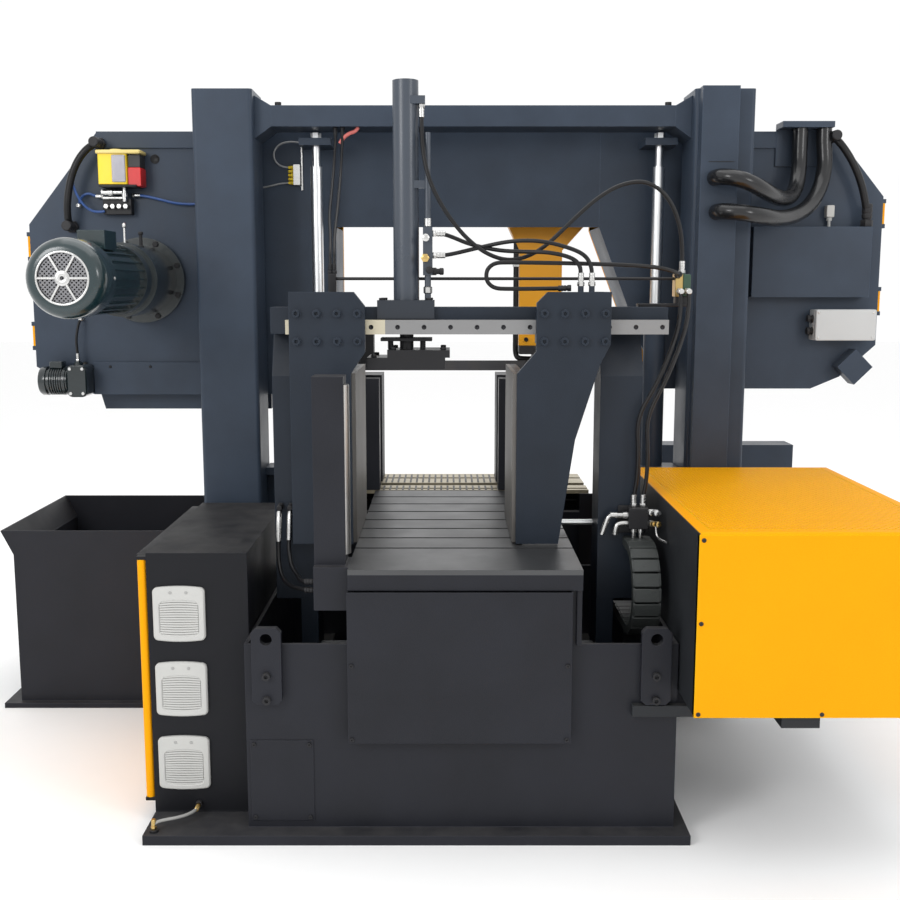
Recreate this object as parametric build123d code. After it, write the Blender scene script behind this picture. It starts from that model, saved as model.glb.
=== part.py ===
from build123d import *
import math
import os

# Twin pillar metal band saw, in millimetres.
# Origin: on the floor, half way between the pillars, in the plane of their centres.
# +X is to the right seen from the infeed side, +Y runs with the feed, +Z is up.

# Fits
PART_GAP = 0.3
SHAFT_FIT = 0.1
SLIDE_GAP = 2.0
SHEET = 3.0
SOCKET_SHARE = 0.55
BEND_SHARE = 0.45

# Main base
PLINTH_TOP = 140.0
PLINTH_PLATE = 20.0
PLINTH_HALF = 1040.0
PLINTH_REAR = 580.0
PEDESTAL_LEFT = 500.0
PEDESTAL_RIGHT = 480.0
PEDESTAL_WALL = 15.0

# Pillars and tie beam
PILLAR_SPAN = 1602.0
PILLAR_WIDTH = 220.0
PILLAR_DEPTH = 220.0
PILLAR_TOP = 2362.0
PILLAR_WALL = 12.0
PILLAR_CORNER = 14.0
DUCT_INSET = 13.0
DUCT_WIDTH = 133.0
DUCT_DEPTH = 60.0
DUCT_FOOT = 300.0
TIE_DROP = 126.0
TIE_HEIGHT = 75.0
TIE_FRONT = 60.0
TIE_DEPTH = 160.0
TIE_WALL = 8.0
TIE_END = 60.0
TIE_END_RISE = 35.0
TIE_END_DROP = 42.0

# Linear rails: width, height and the carriage's stand off over the rail's foot
RAIL_WIDTH = 45.0
RAIL_HEIGHT = 38.0
RUNNER_WIDTH = 100.0
RUNNER_LENGTH = 170.0
RUNNER_LIFT = 8.0
BOW_STANDOFF = 60.0
JAW_STANDOFF = 50.0

# Front floor plate and tub
FLOOR_PLATE = 30.0
PLATE_FRONT = 1140.0
PLATE_RIGHT_LEDGE = 41.0
TUB_LEFT = 698.0
TUB_RIGHT = 591.0
TUB_TOP = 606.0
TUB_WALL = 12.0
TUB_SETBACK = 57.0
TUB_REAR = 130.0
RAIL_BEAM_TOP = 300.0
RAIL_BEAM_WIDTH = 64.0

# Feed bed
BED_LEFT = 386.0
BED_RIGHT = 301.0
BED_TOP = 838.0
BED_PLATE = 15.0
BED_OVERHANG = 27.0
LIP_HEIGHT = 62.0
SLAT = 15.0
SLAT_GAP = 14.0
FIRST_SLAT = 270.0
SLAT_COUNT = 7

# Front covers and lugs
COVER_WIDTH = 660.0
COVER_BOTTOM = 312.0
COVER_GAP = 3.0
COVER_DEPTH = 37.0
COVER_SCREW_SHARE = 0.52
ACCESS_WIDTH = 190.0
ACCESS_HEIGHT = 255.0
ACCESS_INSET = 11.0
ACCESS_SILL = 22.0
LUG_WIDTH = 88.0
LUG_HEIGHT = 234.0
LUG_THICK = 25.0
LUG_RISE = 55.0
LUG_INSET = 69.0
LUG_HOLE = 18.0
LUG_HOLE_DROP = 34.0
LUG_BOLT_DROP = 110.0
LUG_BOLT_PITCH = 74.0
LUG_CORNER = 14.0

# Side guide post on the bed's front left corner
GUIDE_POST_WIDTH = 92.0
GUIDE_POST_DEPTH = 100.0
GUIDE_POST_TOP = 1396.0
GUIDE_POST_SETBACK = 59.0
GUIDE_FOOT_DROP = 130.0
GUIDE_ROLLER = 30.0
GUIDE_ROLLER_PROUD = 13.0
GUIDE_ROLLER_END = 26.0
GUIDE_PIN = 8.0

# Electrical cabinet
CABINET_WIDTH = 306.0
CABINET_REAR_GAP = 80.0
CABINET_TOP = 858.0
CABINET_GAP = 3.0
CABINET_SETBACK = 157.0
DOOR_THICK = 28.0
DOOR_BOTTOM = 76.0
DOOR_TOP = 836.0
DOOR_PIN = 5.0
DOOR_EAR = 10.0
VENT_WIDTH = 156.0
VENT_HEIGHT = 172.0
VENT_THICK = 12.0
VENT_BULGE = 5.0
VENT_INSET = 19.0
VENT_TOP = 756.0
VENT_PITCH = 238.0
VENT_COUNT = 3

# Hydraulic cover and what it hides
HOOD_GAP = 3.0
HOOD_WIDTH = 725.0
HOOD_FRONT = 1290.0
HOOD_REAR = 175.0
HOOD_BOTTOM = 460.0
HOOD_TOP = 990.0
ARM_LAP = 137.0
ARM_DEPTH = 25.0
ARM_HEIGHT = 34.0
TRAY_RAIL_WIDTH = 108.0
TRAY_RAIL_HEIGHT = 38.0
TRAY_RAIL_X = 899.0
TRAY_THICK = 12.0
TANK_HEIGHT = 210.0
TANK_MARGIN = 60.0
TANK_DEPTH = 720.0
PUMP_MOTOR_RADIUS = 95.0
PUMP_MOTOR_LENGTH = 330.0
PUMP_LENGTH = 150.0
PUMP_RADIUS = 60.0
PUMP_FOOT = 25.0

# Chip bin
BIN_LEFT = 1794.0
BIN_RIGHT = 1075.0
BIN_FRONT = 15.0
BIN_REAR = 734.0
BIN_TOP = 712.0
BIN_FLARE_START = 616.0
BIN_FLARE = 47.0
BIN_RIGHT_TOP = 560.0
BIN_WALL = 4.0
BIN_PLATE = 20.0
BIN_PLATE_LEDGE = 57.0
BIN_PLATE_FRONT = 30.0

# Control desk
DESK_LEFT = 798.0
DESK_WIDTH = 630.0
DESK_DEPTH = 300.0
DESK_TOP = 966.0
DESK_FACE_BOTTOM = 766.0
DESK_FACE_RUN = 170.0
BUTTON_RADIUS = 11.0
BUTTON_PROUD = 12.0
STOP_HEAD = 20.0
STOP_HEAD_THICK = 14.0
BUTTON_PITCH = 140.0

# Saw bow
BOW_DROP = 114.0
BOW_PLATE = 12.0
BOW_DEPTH = 300.0
BOW_RIM = 10.0
BOW_LEFT_END = 1732.0
BOW_RIGHT_END = 1607.0
BOW_LEFT_CORNER = 1452.0
BOW_LEFT_SHOULDER = 1896.0
BOW_LEFT_HIP = 1340.0
BOW_LEFT_TOE = 1560.0
BOW_LEFT_BOTTOM = 1230.0
BOW_RIGHT_CORNER = 1404.0
BOW_RIGHT_SHOULDER = 2003.0
BOW_RIGHT_HIP = 1426.0
BOW_RIGHT_KNEE_X = 1469.0
BOW_RIGHT_KNEE = 1300.0
BOW_RIGHT_TOE = 1356.0
BOW_RIGHT_BOTTOM = 1252.0
WINDOW_LEFT = 531.0
WINDOW_RIGHT = 499.0
WINDOW_TOP = 1886.0
BOW_FLOOR_RISE = 45.0
WINDOW_SLANT = 245.0
BAND_DOOR_TOP = 1430.0
TOP_STRIP = 62.0
TOP_STRIP_THICK = 10.0
CHUTE_LEFT = 1503.0
CHUTE_SLANT = 18.0
CHUTE_RIGHT = 811.0
CHUTE_DROP = 66.0
CHUTE_DEPTH = 160.0

# Wheels and band
WHEEL_RADIUS = 345.0
WHEEL_Z = 1680.0
WHEEL_WIDTH = 60.0
WHEEL_RIM = 45.0
WHEEL_WEB = 18.0
WHEEL_HUB = 75.0
WHEEL_HUB_WIDTH = 90.0
DRIVE_X = -1290.0
IDLER_X = 1195.0
AXLE_RADIUS = 35.0
BAND_SETBACK = 150.0
BAND_WIDTH = 41.0
BAND_THICK = 1.3
TWIST_STEPS = 6

# Geared motor
GEAR_FLANGE = 165.0
GEAR_FLANGE_THICK = 30.0
GEAR_RADIUS = 135.0
GEAR_LENGTH = 320.0
ADAPTER_RADIUS = 125.0
ADAPTER_LENGTH = 100.0
MOTOR_RADIUS = 112.0
MOTOR_LENGTH = 400.0
MOTOR_FIN = 16.0
MOTOR_FIN_THICK = 4.0
MOTOR_FIN_COUNT = 24
TERMINAL_WIDTH = 90.0
TERMINAL_SHIFT = 28.0
TERMINAL_HEIGHT = 46.0
TERMINAL_DEPTH = 130.0
TERMINAL_SETBACK = 90.0
COWL_RADIUS = 128.0
COWL_LENGTH = 140.0
COWL_WALL = 3.0
COWL_LAP = 20.0
COWL_SPOKES = 6
COWL_SPOKE_WIDTH = 12.0
COWL_HUB = 32.0
COWL_RING = 18.0
FAN_RADIUS = 108.0
FAN_HUB = 34.0
FAN_WIDTH = 46.0
FAN_BLADES = 7
FAN_BLADE = 4.0
FAN_SHAFT = 14.0

# Covers and boxes on the bow's infeed face
TENSION_LEFT = 1087.0
TENSION_WIDTH = 458.0
TENSION_BOTTOM = 1615.0
TENSION_HEIGHT = 269.0
TENSION_DEPTH = 70.0
CORNER_BRACKET = 98.0
CORNER_BRACKET_SHIFT = 33.0
CORNER_BRACKET_DROP = 20.0
JUNCTION_LEFT = 1340.0
JUNCTION_WIDTH = 236.0
JUNCTION_BOTTOM = 1447.0
JUNCTION_HEIGHT = 120.0
JUNCTION_DEPTH = 80.0
JUNCTION_GLANDS = (0.3, 0.7)
GLAND_HOOD_LEFT = 1176.0
GLAND_HOOD_WIDTH = 196.0
GLAND_HOOD_RISE = 27.0
GLAND_HOOD_THICK = 22.0
GLAND_PANEL_WIDTH = 164.0
GLAND_PANEL_DROP = 131.0
GLAND_HOOD_DEPTH = 95.0
LEDGE_RIGHT = 811.0
LEDGE_HEIGHT = 128.0
LEDGE_THICK = 8.0
LUBE_LEFT = 1428.0
LUBE_WIDTH = 165.0
LUBE_DROP = 216.0
LUBE_HEIGHT = 142.0
LUBE_DEPTH = 90.0
MANIFOLD_HEIGHT = 100.0
MANIFOLD_WIDTH = 110.0
MANIFOLD_DEPTH = 40.0
BRUSH_RADIUS = 70.0
BRUSH_WIDTH = 50.0
BRUSH_X = -1540.0
BRUSH_Z = 1345.0
BRUSH_SHAFT = 12.0
BRUSH_GEAR_WIDTH = 76.0
BRUSH_GEAR_HEIGHT = 150.0
BRUSH_GEAR_DEPTH = 120.0
BRUSH_MOTOR_RADIUS = 59.0
BRUSH_MOTOR_LENGTH = 147.0

# Wheel doors
WHEEL_DOOR_THICK = 25.0
WHEEL_DOOR_GAP = 1.0
HINGE_KNUCKLE = 12.0
HINGE_PIN = 6.0
HINGE_REACH = 13.0
HINGE_SETBACK = 35.0
STRAP_THICK = 8.0
STRAP_HEIGHT = 80.0
STRAP_LEFT_DROP = 84.0
STRAP_LEFT_RISE = 120.0
STRAP_RIGHT_DROP = 63.0
STRAP_RIGHT_RISE = 172.0
HINGE_EAR = 16.0

# Lift cylinders, by the inner faces of the pillars
LIFT_LEFT_GAP = 210.0
LIFT_RIGHT_GAP = 94.0
LIFT_Y = 60.0
LIFT_BASE = 960.0
LIFT_TOP = 1585.0
LIFT_BARREL = 42.0
LIFT_BORE = 32.0
LIFT_ROD = 22.0
LIFT_STEP = 76.0
LIFT_STEP_RADIUS = 15.0
LIFT_CAP = 25.0
LIFT_BRACKET = 30.0
LIFT_BRACKET_HALF = 60.0
LIFT_NECK = 12.0
LIFT_NUT = 20.0
LIFT_NUT_HEIGHT = 22.0
LIFT_EAR_DROP = 42.0
LIFT_EAR = 26.0
LIFT_PISTON = 30.0
LIFT_PISTON_Z = 1500.0

# Band guides
GUIDE_X = 287.0
GUIDE_WIDTH = 174.0
GUIDE_FLARE_LEFT = 48.0
GUIDE_FLARE_RIGHT = 92.0
GUIDE_FLARE_DROP = 85.0
GUIDE_RAIL = 28.0
GUIDE_RAIL_WIDTH = 70.0
GUIDE_DEPTH = 80.0
GUIDE_BOTTOM = 1416.0
HEAD_BOTTOM = 1331.0
HEAD_SHOE = 34.0
HEAD_WIDTH = 70.0
FIXED_GUIDE_X = -430.0
FIXED_GUIDE_TOP = 1470.0

# Main vise, either side of the cutting line
MAIN_DATUM_X = -369.0
MAIN_OPENING = 481.0
MAIN_JAW_THICK = 86.0
MAIN_JAW_TOP = 1290.0
MAIN_JAW_FRONT = 80.0
MAIN_JAW_REAR = 180.0
MAIN_JAW_BAND_GAP = 60.0
WEB_THICK = 16.0
WEB_GAP = 4.0
BLADE_SLOT = 56.0
CARRIAGE_DROP = 35.0
CARRIAGE_THICK = 45.0
CARRIAGE_BEAM = 40.0
VISE_CYLINDER_Z = 650.0
VISE_BARREL = 40.0
VISE_BORE = 30.0
VISE_ROD = 20.0
VISE_LENGTH = 385.0
VISE_CAP = 25.0
VISE_PISTON = 20.0

# Feed shuttle
POST_WIDTH = 135.0
POST_DEPTH = 150.0
POST_FRONT = 710.0
POST_LEFT_X = -588.0
POST_RIGHT_X = 463.0
POST_FOLD = 1372.0
POST_FOLD_BACK = 60.0
POST_NOTCH_TOP = 640.0
POST_FOOT_WIDTH = 55.0
POST_WALL = 10.0
POST_SEAT = 365.0
BEAM_BOTTOM = 1506.0
BEAM_HEIGHT = 84.0
BEAM_BAR = 30.0
BEAM_SLOT = 60.0
BEAM_FRONT = 720.0
BEAM_OVERHANG = 72.0
CLAMP_RAIL_LEFT = 603.0
CLAMP_RAIL_RIGHT = 599.0
LOWER_TIE_BOTTOM = 420.0
LOWER_TIE_HEIGHT = 50.0
LOWER_TIE_DEPTH = 60.0
LOWER_TIE_SETBACK = 20.0
FEED_STROKE = 400.0
FEED_CYLINDER_X = -42.0
FEED_CYLINDER_Z = 340.0
FEED_BARREL = 40.0
FEED_BORE = 30.0
FEED_ROD = 18.0
FEED_CAP = 15.0
FEED_GLAND = 25.0
FEED_PISTON = 20.0
FEED_YOKE = 20.0
FEED_END_PLAY = 1.0

# Feed jaws
DATUM_X = -384.0
JAW_OPENING = 495.0
JAW_PLATE = 24.0
JAW_LINER = 12.0
JAW_BACK = 24.0
JAW_LENGTH = 430.0
JAW_TOP = 1385.0
JAW_LIFT = 4.0
JAW_CAP_TOP = 1638.0
DATUM_CAP_LEFT = -587.0
DATUM_CAP_RIGHT = -351.0
DATUM_CORNER = 34.0
DATUM_CORNER_DROP = 43.0
CLAMP_CAP_LEFT = 182.0
CLAMP_CAP_RIGHT = 413.0
CLAMP_CORNER = 34.0
CLAMP_SHOULDER = 1477.0
CLAMP_HIP = 1413.0
CLAMP_HIP_RIGHT = 381.0
CLAMP_WAIST = 1177.0
CLAMP_WAIST_RIGHT = 307.0
CLAMP_FOOT_RIGHT = 258.0
RIB_SHARES = (0.15, 0.5, 0.85)
JAW_NECK = 1453.0
JAW_RIB = 16.0
JAW_RIB_DEPTH = 80.0
BOLT_HEAD = 12.0
BOLT_HEIGHT = 14.0
BOLT_ROW = 86.0
BOLT_PITCH = 63.0
BOLT_COUNT = 4
BRACKET_THICK = 24.0
JAW_CYLINDER_BACK = 40.0
JAW_BARREL = 40.0
JAW_BORE = 30.0
JAW_ROD = 18.0
JAW_BARREL_LEFT = 560.0
JAW_BARREL_LENGTH = 500.0
JAW_PISTON = 20.0

# Overhead clamp
CLAMP_X = -226.0
CLAMP_BARREL = 41.0
CLAMP_BORE = 30.0
CLAMP_TOP = 2290.0
CLAMP_CAP = 30.0
CLAMP_ROD = 22.0
CLAMP_PISTON = 30.0
SADDLE_WIDTH = 180.0
SADDLE_THICK = 22.0
SADDLE_LIP = 15.0
SADDLE_DROP = 36.0
GUIDE_ROD = 9.0
GUIDE_ROD_SPREAD = 52.0
SIDE_TUBE = 10.0
SIDE_TUBE_X = 69.0
SIDE_TUBE_TOP = 2130.0
SIDE_CLIP = 24.0
SIDE_CLIP_Z = 1960.0
CLAMP_PORT_Z = 2216.0
CLAMP_PORT_REACH = 62.0
UPPER_SHOE_WIDTH = 198.0
UPPER_SHOE_TOP = 1456.0
UPPER_SHOE_THICK = 24.0
LOWER_SHOE_WIDTH = 248.0
LOWER_SHOE_THICK = 36.0
SHOE_DEPTH = 170.0
COLLAR_WIDTH = 164.0
COLLAR_TOP = 1492.0
COLLAR_THICK = 10.0

# Valve block, drag chain, stop rod
VALVE_WIDTH = 92.0
VALVE_HEIGHT = 90.0
VALVE_DEPTH = 60.0
VALVE_BOTTOM = 862.0
VALVE_OVERHANG = 20.0
VALVE_PORT = 11.0
VALVE_PORT_LENGTH = 42.0
VALVE_PORTS = 3
STOP_ROD = 9.0
STOP_ROD_LENGTH = 118.0
STOP_ROD_Z = 868.0
CHAIN_LEFT = 477.0
CHAIN_WIDTH = 87.0
CHAIN_THICK = 30.0
CHAIN_RADIUS = 150.0
CHAIN_TOP = 850.0
CHAIN_BEND_Y = -790.0
CHAIN_LOWER = 230.0
CHAIN_ANCHOR = 30.0

# Line manifold and the rigid pipe behind the overhead clamp
LINE_MANIFOLD_REACH = 40.0
LINE_MANIFOLD_WIDTH = 50.0
LINE_MANIFOLD_BACK = 4.0
LINE_MANIFOLD_HEIGHT = 96.0
LINE_BRACKET = 10.0
PIPE_LEFT = -456.0
PIPE_SUPPORT = 26.0
PIPE_DROP = 16.0

# Small valve on the overhead clamp's side tube, and the jaw's hose fittings
TUBE_VALVE_BOTTOM = 1690.0
TUBE_VALVE_HEIGHT = 150.0
TUBE_VALVE_WIDTH = 30.0
JAW_FITTING = 9.0
JAW_FITTING_HEIGHT = 18.0
JAW_FITTING_X = 318.0
JAW_FITTING_PITCH = 34.0

# Hoses and conduits: radii of their sections
CONDUIT = 29.0
THICK_HOSE = 14.0
HOSE = 6.5
THIN_HOSE = 5.0
LEAD = 5.0
GLAND = 11.0
GLAND_LENGTH = 14.0
LEAD_LUG = 14.0
LEAD_LUG_HEIGHT = 8.0

# Places worked out from the sizes above
PILLAR_INNER = PILLAR_SPAN / 2
PILLAR_X = PILLAR_INNER + PILLAR_WIDTH / 2
PILLAR_FACE = PILLAR_DEPTH / 2
TIE_BOTTOM = PILLAR_TOP - TIE_DROP
BOW_TOP = PILLAR_TOP - BOW_DROP
LIFT_LEFT_X = LIFT_LEFT_GAP - PILLAR_INNER
LIFT_RIGHT_X = PILLAR_INNER - LIFT_RIGHT_GAP
LIFT_EAR_TOP = BOW_TOP - LIFT_EAR_DROP
BOW_FLOOR = WINDOW_TOP + BOW_FLOOR_RISE
GLAND_HOOD_TOP = BOW_TOP + GLAND_HOOD_RISE
GLAND_HOOD_BOTTOM = GLAND_HOOD_TOP - GLAND_HOOD_THICK
LUBE_BOTTOM = BOW_TOP - LUBE_DROP
BOW_Y = PILLAR_FACE + BOW_STANDOFF
BOW_REAR = BOW_Y + BOW_DEPTH
BAND_Y = BOW_Y + BAND_SETBACK
BAND_Z = WHEEL_Z - WHEEL_RADIUS - BAND_THICK / 2
TUB_X = (-TUB_LEFT, TUB_RIGHT)
TUB_Y = (-PLATE_FRONT + TUB_SETBACK, -TUB_REAR)
TUB_INSIDE_Y = (TUB_Y[0] + TUB_WALL, TUB_Y[1] - TUB_WALL)
BED_X = (-BED_LEFT, BED_RIGHT)
BED_FRONT_Y = TUB_Y[0] - BED_OVERHANG
SLAT_Z = (BED_TOP - SLAT, BED_TOP)
CABINET_X = (TUB_X[0] - CABINET_GAP - CABINET_WIDTH, TUB_X[0] - CABINET_GAP)
CABINET_Y = (-PLATE_FRONT + CABINET_SETBACK, -PILLAR_FACE - CABINET_REAR_GAP)
HOOD_X = (TUB_X[1] + HOOD_GAP, TUB_X[1] + HOOD_GAP + HOOD_WIDTH)
HOOD_Y = (-HOOD_FRONT, -HOOD_REAR)
POST_Y = (-POST_FRONT, -POST_FRONT + POST_DEPTH)
BEAM_Y = (-BEAM_FRONT, -BEAM_FRONT + 2 * BEAM_BAR + BEAM_SLOT)
BEAM_SLOT_Y = (BEAM_Y[0] + BEAM_BAR, BEAM_Y[1] - BEAM_BAR)
BEAM_Z = (BEAM_BOTTOM, BEAM_BOTTOM + BEAM_HEIGHT)
BEAM_X = (POST_LEFT_X - POST_WIDTH / 2, POST_RIGHT_X + POST_WIDTH / 2 + BEAM_OVERHANG)
JAW_PLATE_Y = (BEAM_Y[0] - JAW_STANDOFF - JAW_PLATE, BEAM_Y[0] - JAW_STANDOFF)
CLAMP_JAW_X = DATUM_X + JAW_OPENING
CLAMP_Y = (BEAM_SLOT_Y[0] + BEAM_SLOT_Y[1]) / 2
SADDLE_TOP = BEAM_Z[1] + SADDLE_THICK


def block(x, y, z):
    """Box between three pairs of lowest and highest places."""
    size = (x[1] - x[0], y[1] - y[0], z[1] - z[0])
    centre = ((x[0] + x[1]) / 2, (y[0] + y[1]) / 2, (z[0] + z[1]) / 2)
    return Pos(*centre) * Box(*size)


def about(centre, width):
    """Pair of places that lie evenly about a centre."""
    return (centre - width / 2, centre + width / 2)


def rod(start, direction, length, radius):
    """Cylinder from a point along a direction."""
    return extrude(Plane(origin=start, z_dir=direction) * Circle(radius), amount=length)


def tube(start, direction, length, radius, bore):
    """Cylinder with a bore right through it."""
    return rod(start, direction, length, radius) - rod(start, direction, length, bore)


def plate_xz(points, y):
    """Flat plate with an outline of (x, z) corners, between two places along Y."""
    outline = Polyline(*[(x, y[0], z) for x, z in points], close=True)
    return extrude(make_face(outline), amount=y[1] - y[0], dir=(0, 1, 0))


def plate_yz(points, x):
    """Flat plate with an outline of (y, z) corners, between two places along X."""
    outline = Polyline(*[(x[0], y, z) for y, z in points], close=True)
    return extrude(make_face(outline), amount=x[1] - x[0], dir=(1, 0, 0))


def turned_y(profile, x, z):
    """Solid of revolution about a line along Y, from (radius, y) corners."""
    outline = Polyline(*[(x + radius, y, z) for radius, y in profile], close=True)
    return revolve(make_face(outline), axis=Axis((x, 0, z), (0, 1, 0)))


def inset(points, amount):
    """Corners of a convex outline, moved inwards by the same amount on every side."""
    following = points[1:] + points[:1]
    leading = points[-1:] + points[:-1]
    area = sum(a[0] * b[1] - b[0] * a[1] for a, b in zip(points, following))
    moved = []
    for before, here, after in zip(leading, points, following):
        first = Vector(here[0] - before[0], here[1] - before[1]).normalized()
        second = Vector(after[0] - here[0], after[1] - here[1]).normalized()
        middle = (first + second).normalized()
        reach = math.copysign(amount, area) / math.cos(math.radians(first.get_angle(second)) / 2)
        moved.append((here[0] - middle.Y * reach, here[1] + middle.X * reach))
    return moved


def rim(points, y, thickness, leave_out=()):
    """Welded strips along the sides of a convex outline, mitred where they meet."""
    inner = inset(points, thickness)
    count = len(points)
    strips = []
    for side in range(count):
        if side not in leave_out:
            after = (side + 1) % count
            corners = [points[side], points[after], inner[after], inner[side]]
            strips.append(plate_xz(corners, y))
    return strips


def cylinder_barrel(start, direction, length, radius, bore, rod_radius, cap, gland):
    """Closed hydraulic barrel: a cap at its start, a bored gland at its far end."""
    along = Vector(*direction)
    origin = Vector(*start)
    body = rod(origin, direction, length, radius)
    body -= rod(origin + along * cap, direction, length - cap - gland, bore)
    return body - rod(origin + along * cap, direction, length, rod_radius + SHAFT_FIT)


def piston_rod(start, direction, rod_length, radius, piston_length, piston_radius):
    """Hydraulic rod with its piston at its start."""
    piston = rod(start, direction, piston_length, piston_radius - PART_GAP)
    return piston + rod(start, direction, rod_length, radius)


def bolt_head(place, direction, radius, height):
    """Head of a socket screw, with its hexagon socket."""
    head = rod(place, direction, height, radius)
    top = Vector(*place) + Vector(*direction) * height
    socket = Plane(origin=top, z_dir=direction) * RegularPolygon(radius * SOCKET_SHARE, 6)
    return head - extrude(socket, amount=-height / 2)


def hose(points, radius):
    """Round hose along a route, with arcs as large as the runs leave room for."""
    corners = [Vector(*point) for point in points]
    radii = []
    for before, here, after in zip(corners, corners[1:], corners[2:]):
        turn = math.radians((here - before).get_angle(after - here))
        shorter = min((here - before).length, (after - here).length)
        radii.append(BEND_SHARE * shorter / math.tan(turn / 2))
    path = FilletPolyline(*points, radius=radii)
    section = Plane(origin=corners[0], z_dir=corners[1] - corners[0]) * Circle(radius)
    solid = sweep(section, path=path)
    expected = math.pi * radius ** 2 * path.length
    print("hose", round(path.length), "mm, least radius", round(min(radii)), "for diameter", 2 * radius,
          "volume ratio", round(solid.volume / expected, 4))
    return solid


def save(name, solids):
    """Write one node, a solid or a group of separate solids, as a STEP file."""
    flat = []
    for solid in solids:
        flat.extend(solid.solids())
    whole = flat[0] if len(flat) == 1 else Compound(children=flat)
    whole.label = name
    export_step(whole, f"parts/{name}.step")


# Main base, pillars and tie beam

def main_base():
    """Plinth of welded plates and the pedestal under the cutting line."""
    x = (-PLINTH_HALF, PLINTH_HALF)
    y = (-PILLAR_FACE, PLINTH_REAR)
    skirt_z = (0, PLINTH_TOP - PLINTH_PLATE)
    inner_y = (y[0] + PLINTH_PLATE, y[1] - PLINTH_PLATE)
    solids = [
        block(x, y, (PLINTH_TOP - PLINTH_PLATE, PLINTH_TOP)),
        block(x, (y[0], inner_y[0]), skirt_z),
        block(x, (inner_y[1], y[1]), skirt_z),
        block((x[0], x[0] + PLINTH_PLATE), inner_y, skirt_z),
        block((x[1] - PLINTH_PLATE, x[1]), inner_y, skirt_z),
        block((x[0] + PLINTH_PLATE, x[1] - PLINTH_PLATE), about(0, PLINTH_PLATE), skirt_z),
    ]
    wall_z = (PLINTH_TOP, SLAT_Z[0])
    wall_x = (-PEDESTAL_LEFT, PEDESTAL_RIGHT)
    wall_y = (BOW_Y, main_bed_rear())
    side_y = (wall_y[0] + PEDESTAL_WALL, wall_y[1] - PEDESTAL_WALL)
    solids.append(block(wall_x, (wall_y[0], side_y[0]), (PLINTH_TOP, carriage_z()[0] - CARRIAGE_BEAM)))
    solids.append(block(wall_x, (side_y[1], wall_y[1]), wall_z))
    solids.append(block((wall_x[0], wall_x[0] + PEDESTAL_WALL), side_y, wall_z))
    right = block((wall_x[1] - PEDESTAL_WALL, wall_x[1]), side_y, wall_z)
    way_start = (wall_x[0], vise_y(), VISE_CYLINDER_Z)
    rod_way = rod(way_start, (1, 0, 0), wall_x[1] - wall_x[0], VISE_ROD + SLIDE_GAP)
    solids.append(right - rod_way)
    for centre in web_places():
        beam_y = about(centre, CARRIAGE_BEAM)
        beam_z = (carriage_z()[0] - CARRIAGE_BEAM, carriage_z()[0])
        solids.append(block((wall_x[0] + PEDESTAL_WALL, wall_x[1] - PEDESTAL_WALL), beam_y, beam_z))
    return solids


def main_bed_rear():
    """Place along Y where the far bed ends."""
    return BAND_Y + MAIN_JAW_BAND_GAP + MAIN_JAW_REAR + WEB_GAP + SLAT_GAP


def web_places():
    """Places along Y of the two webs that carry the moving main jaw."""
    front = BAND_Y - MAIN_JAW_BAND_GAP - MAIN_JAW_FRONT / 2
    rear = BAND_Y + MAIN_JAW_BAND_GAP + MAIN_JAW_REAR / 2
    return (front, rear)


def carriage_z():
    """Heights of the moving main jaw's carriage, under the slats."""
    top = SLAT_Z[0] - CARRIAGE_DROP
    return (top - CARRIAGE_THICK, top)


def vise_y():
    """Place along Y of the main vise cylinder."""
    return sum(web_places()) / 2


def pillar(side):
    """Box section pillar with a closed top; side is -1 for the left one."""
    outer = extrude(RectangleRounded(PILLAR_WIDTH, PILLAR_DEPTH, PILLAR_CORNER), PILLAR_TOP - PLINTH_TOP)
    inner_width = PILLAR_WIDTH - 2 * PILLAR_WALL
    inner_depth = PILLAR_DEPTH - 2 * PILLAR_WALL
    inner = extrude(Rectangle(inner_width, inner_depth), PILLAR_TOP - PLINTH_TOP - PILLAR_WALL)
    return Pos(side * PILLAR_X, 0, PLINTH_TOP) * (outer - inner)


def duct_x():
    """Places along X of the cable duct's two sides."""
    left = PILLAR_INNER + DUCT_INSET
    return (left, left + DUCT_WIDTH)


def cable_duct():
    """Folded cable duct on the infeed face of the right pillar."""
    x = duct_x()
    y = (-PILLAR_FACE - DUCT_DEPTH, -PILLAR_FACE)
    whole = block(x, y, (DUCT_FOOT, PILLAR_TOP))
    hollow = block((x[0] + SHEET, x[1] - SHEET), (y[0] + SHEET, y[1]), (DUCT_FOOT, PILLAR_TOP - SHEET))
    return whole - hollow


def tie_beam():
    """Hollow tie beam between the pillars, with a gusseted bracket at each end."""
    reach = PILLAR_INNER - TIE_END
    y = (-TIE_FRONT, -TIE_FRONT + TIE_DEPTH)
    z = (TIE_BOTTOM, TIE_BOTTOM + TIE_HEIGHT)
    hollow = block((-reach, reach), (y[0] + TIE_WALL, y[1] - TIE_WALL), (z[0] + TIE_WALL, z[1] - TIE_WALL))
    solids = [block((-reach, reach), y, z) - hollow]
    for side in (-1, 1):
        corners = [
            (side * reach, z[0]),
            (side * PILLAR_INNER, z[0] - TIE_END_DROP),
            (side * PILLAR_INNER, z[1] + TIE_END_RISE),
            (side * reach, z[1]),
        ]
        solids.append(plate_xz(corners, y))
    return solids


def guide_rails():
    """Linear rails: two on the rear of the pillars, two on the tub's rail beams."""
    rails = []
    rail_z = (PLINTH_TOP + RAIL_WIDTH, PILLAR_TOP - RAIL_WIDTH)
    for side in (-1, 1):
        x = about(side * PILLAR_X, RAIL_WIDTH)
        rails.append(block(x, (PILLAR_FACE, PILLAR_FACE + RAIL_HEIGHT), rail_z))
    for x in feed_rail_places():
        z = (RAIL_BEAM_TOP, RAIL_BEAM_TOP + RAIL_HEIGHT)
        rails.append(block(about(x, RAIL_WIDTH), TUB_INSIDE_Y, z))
    return rails


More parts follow.
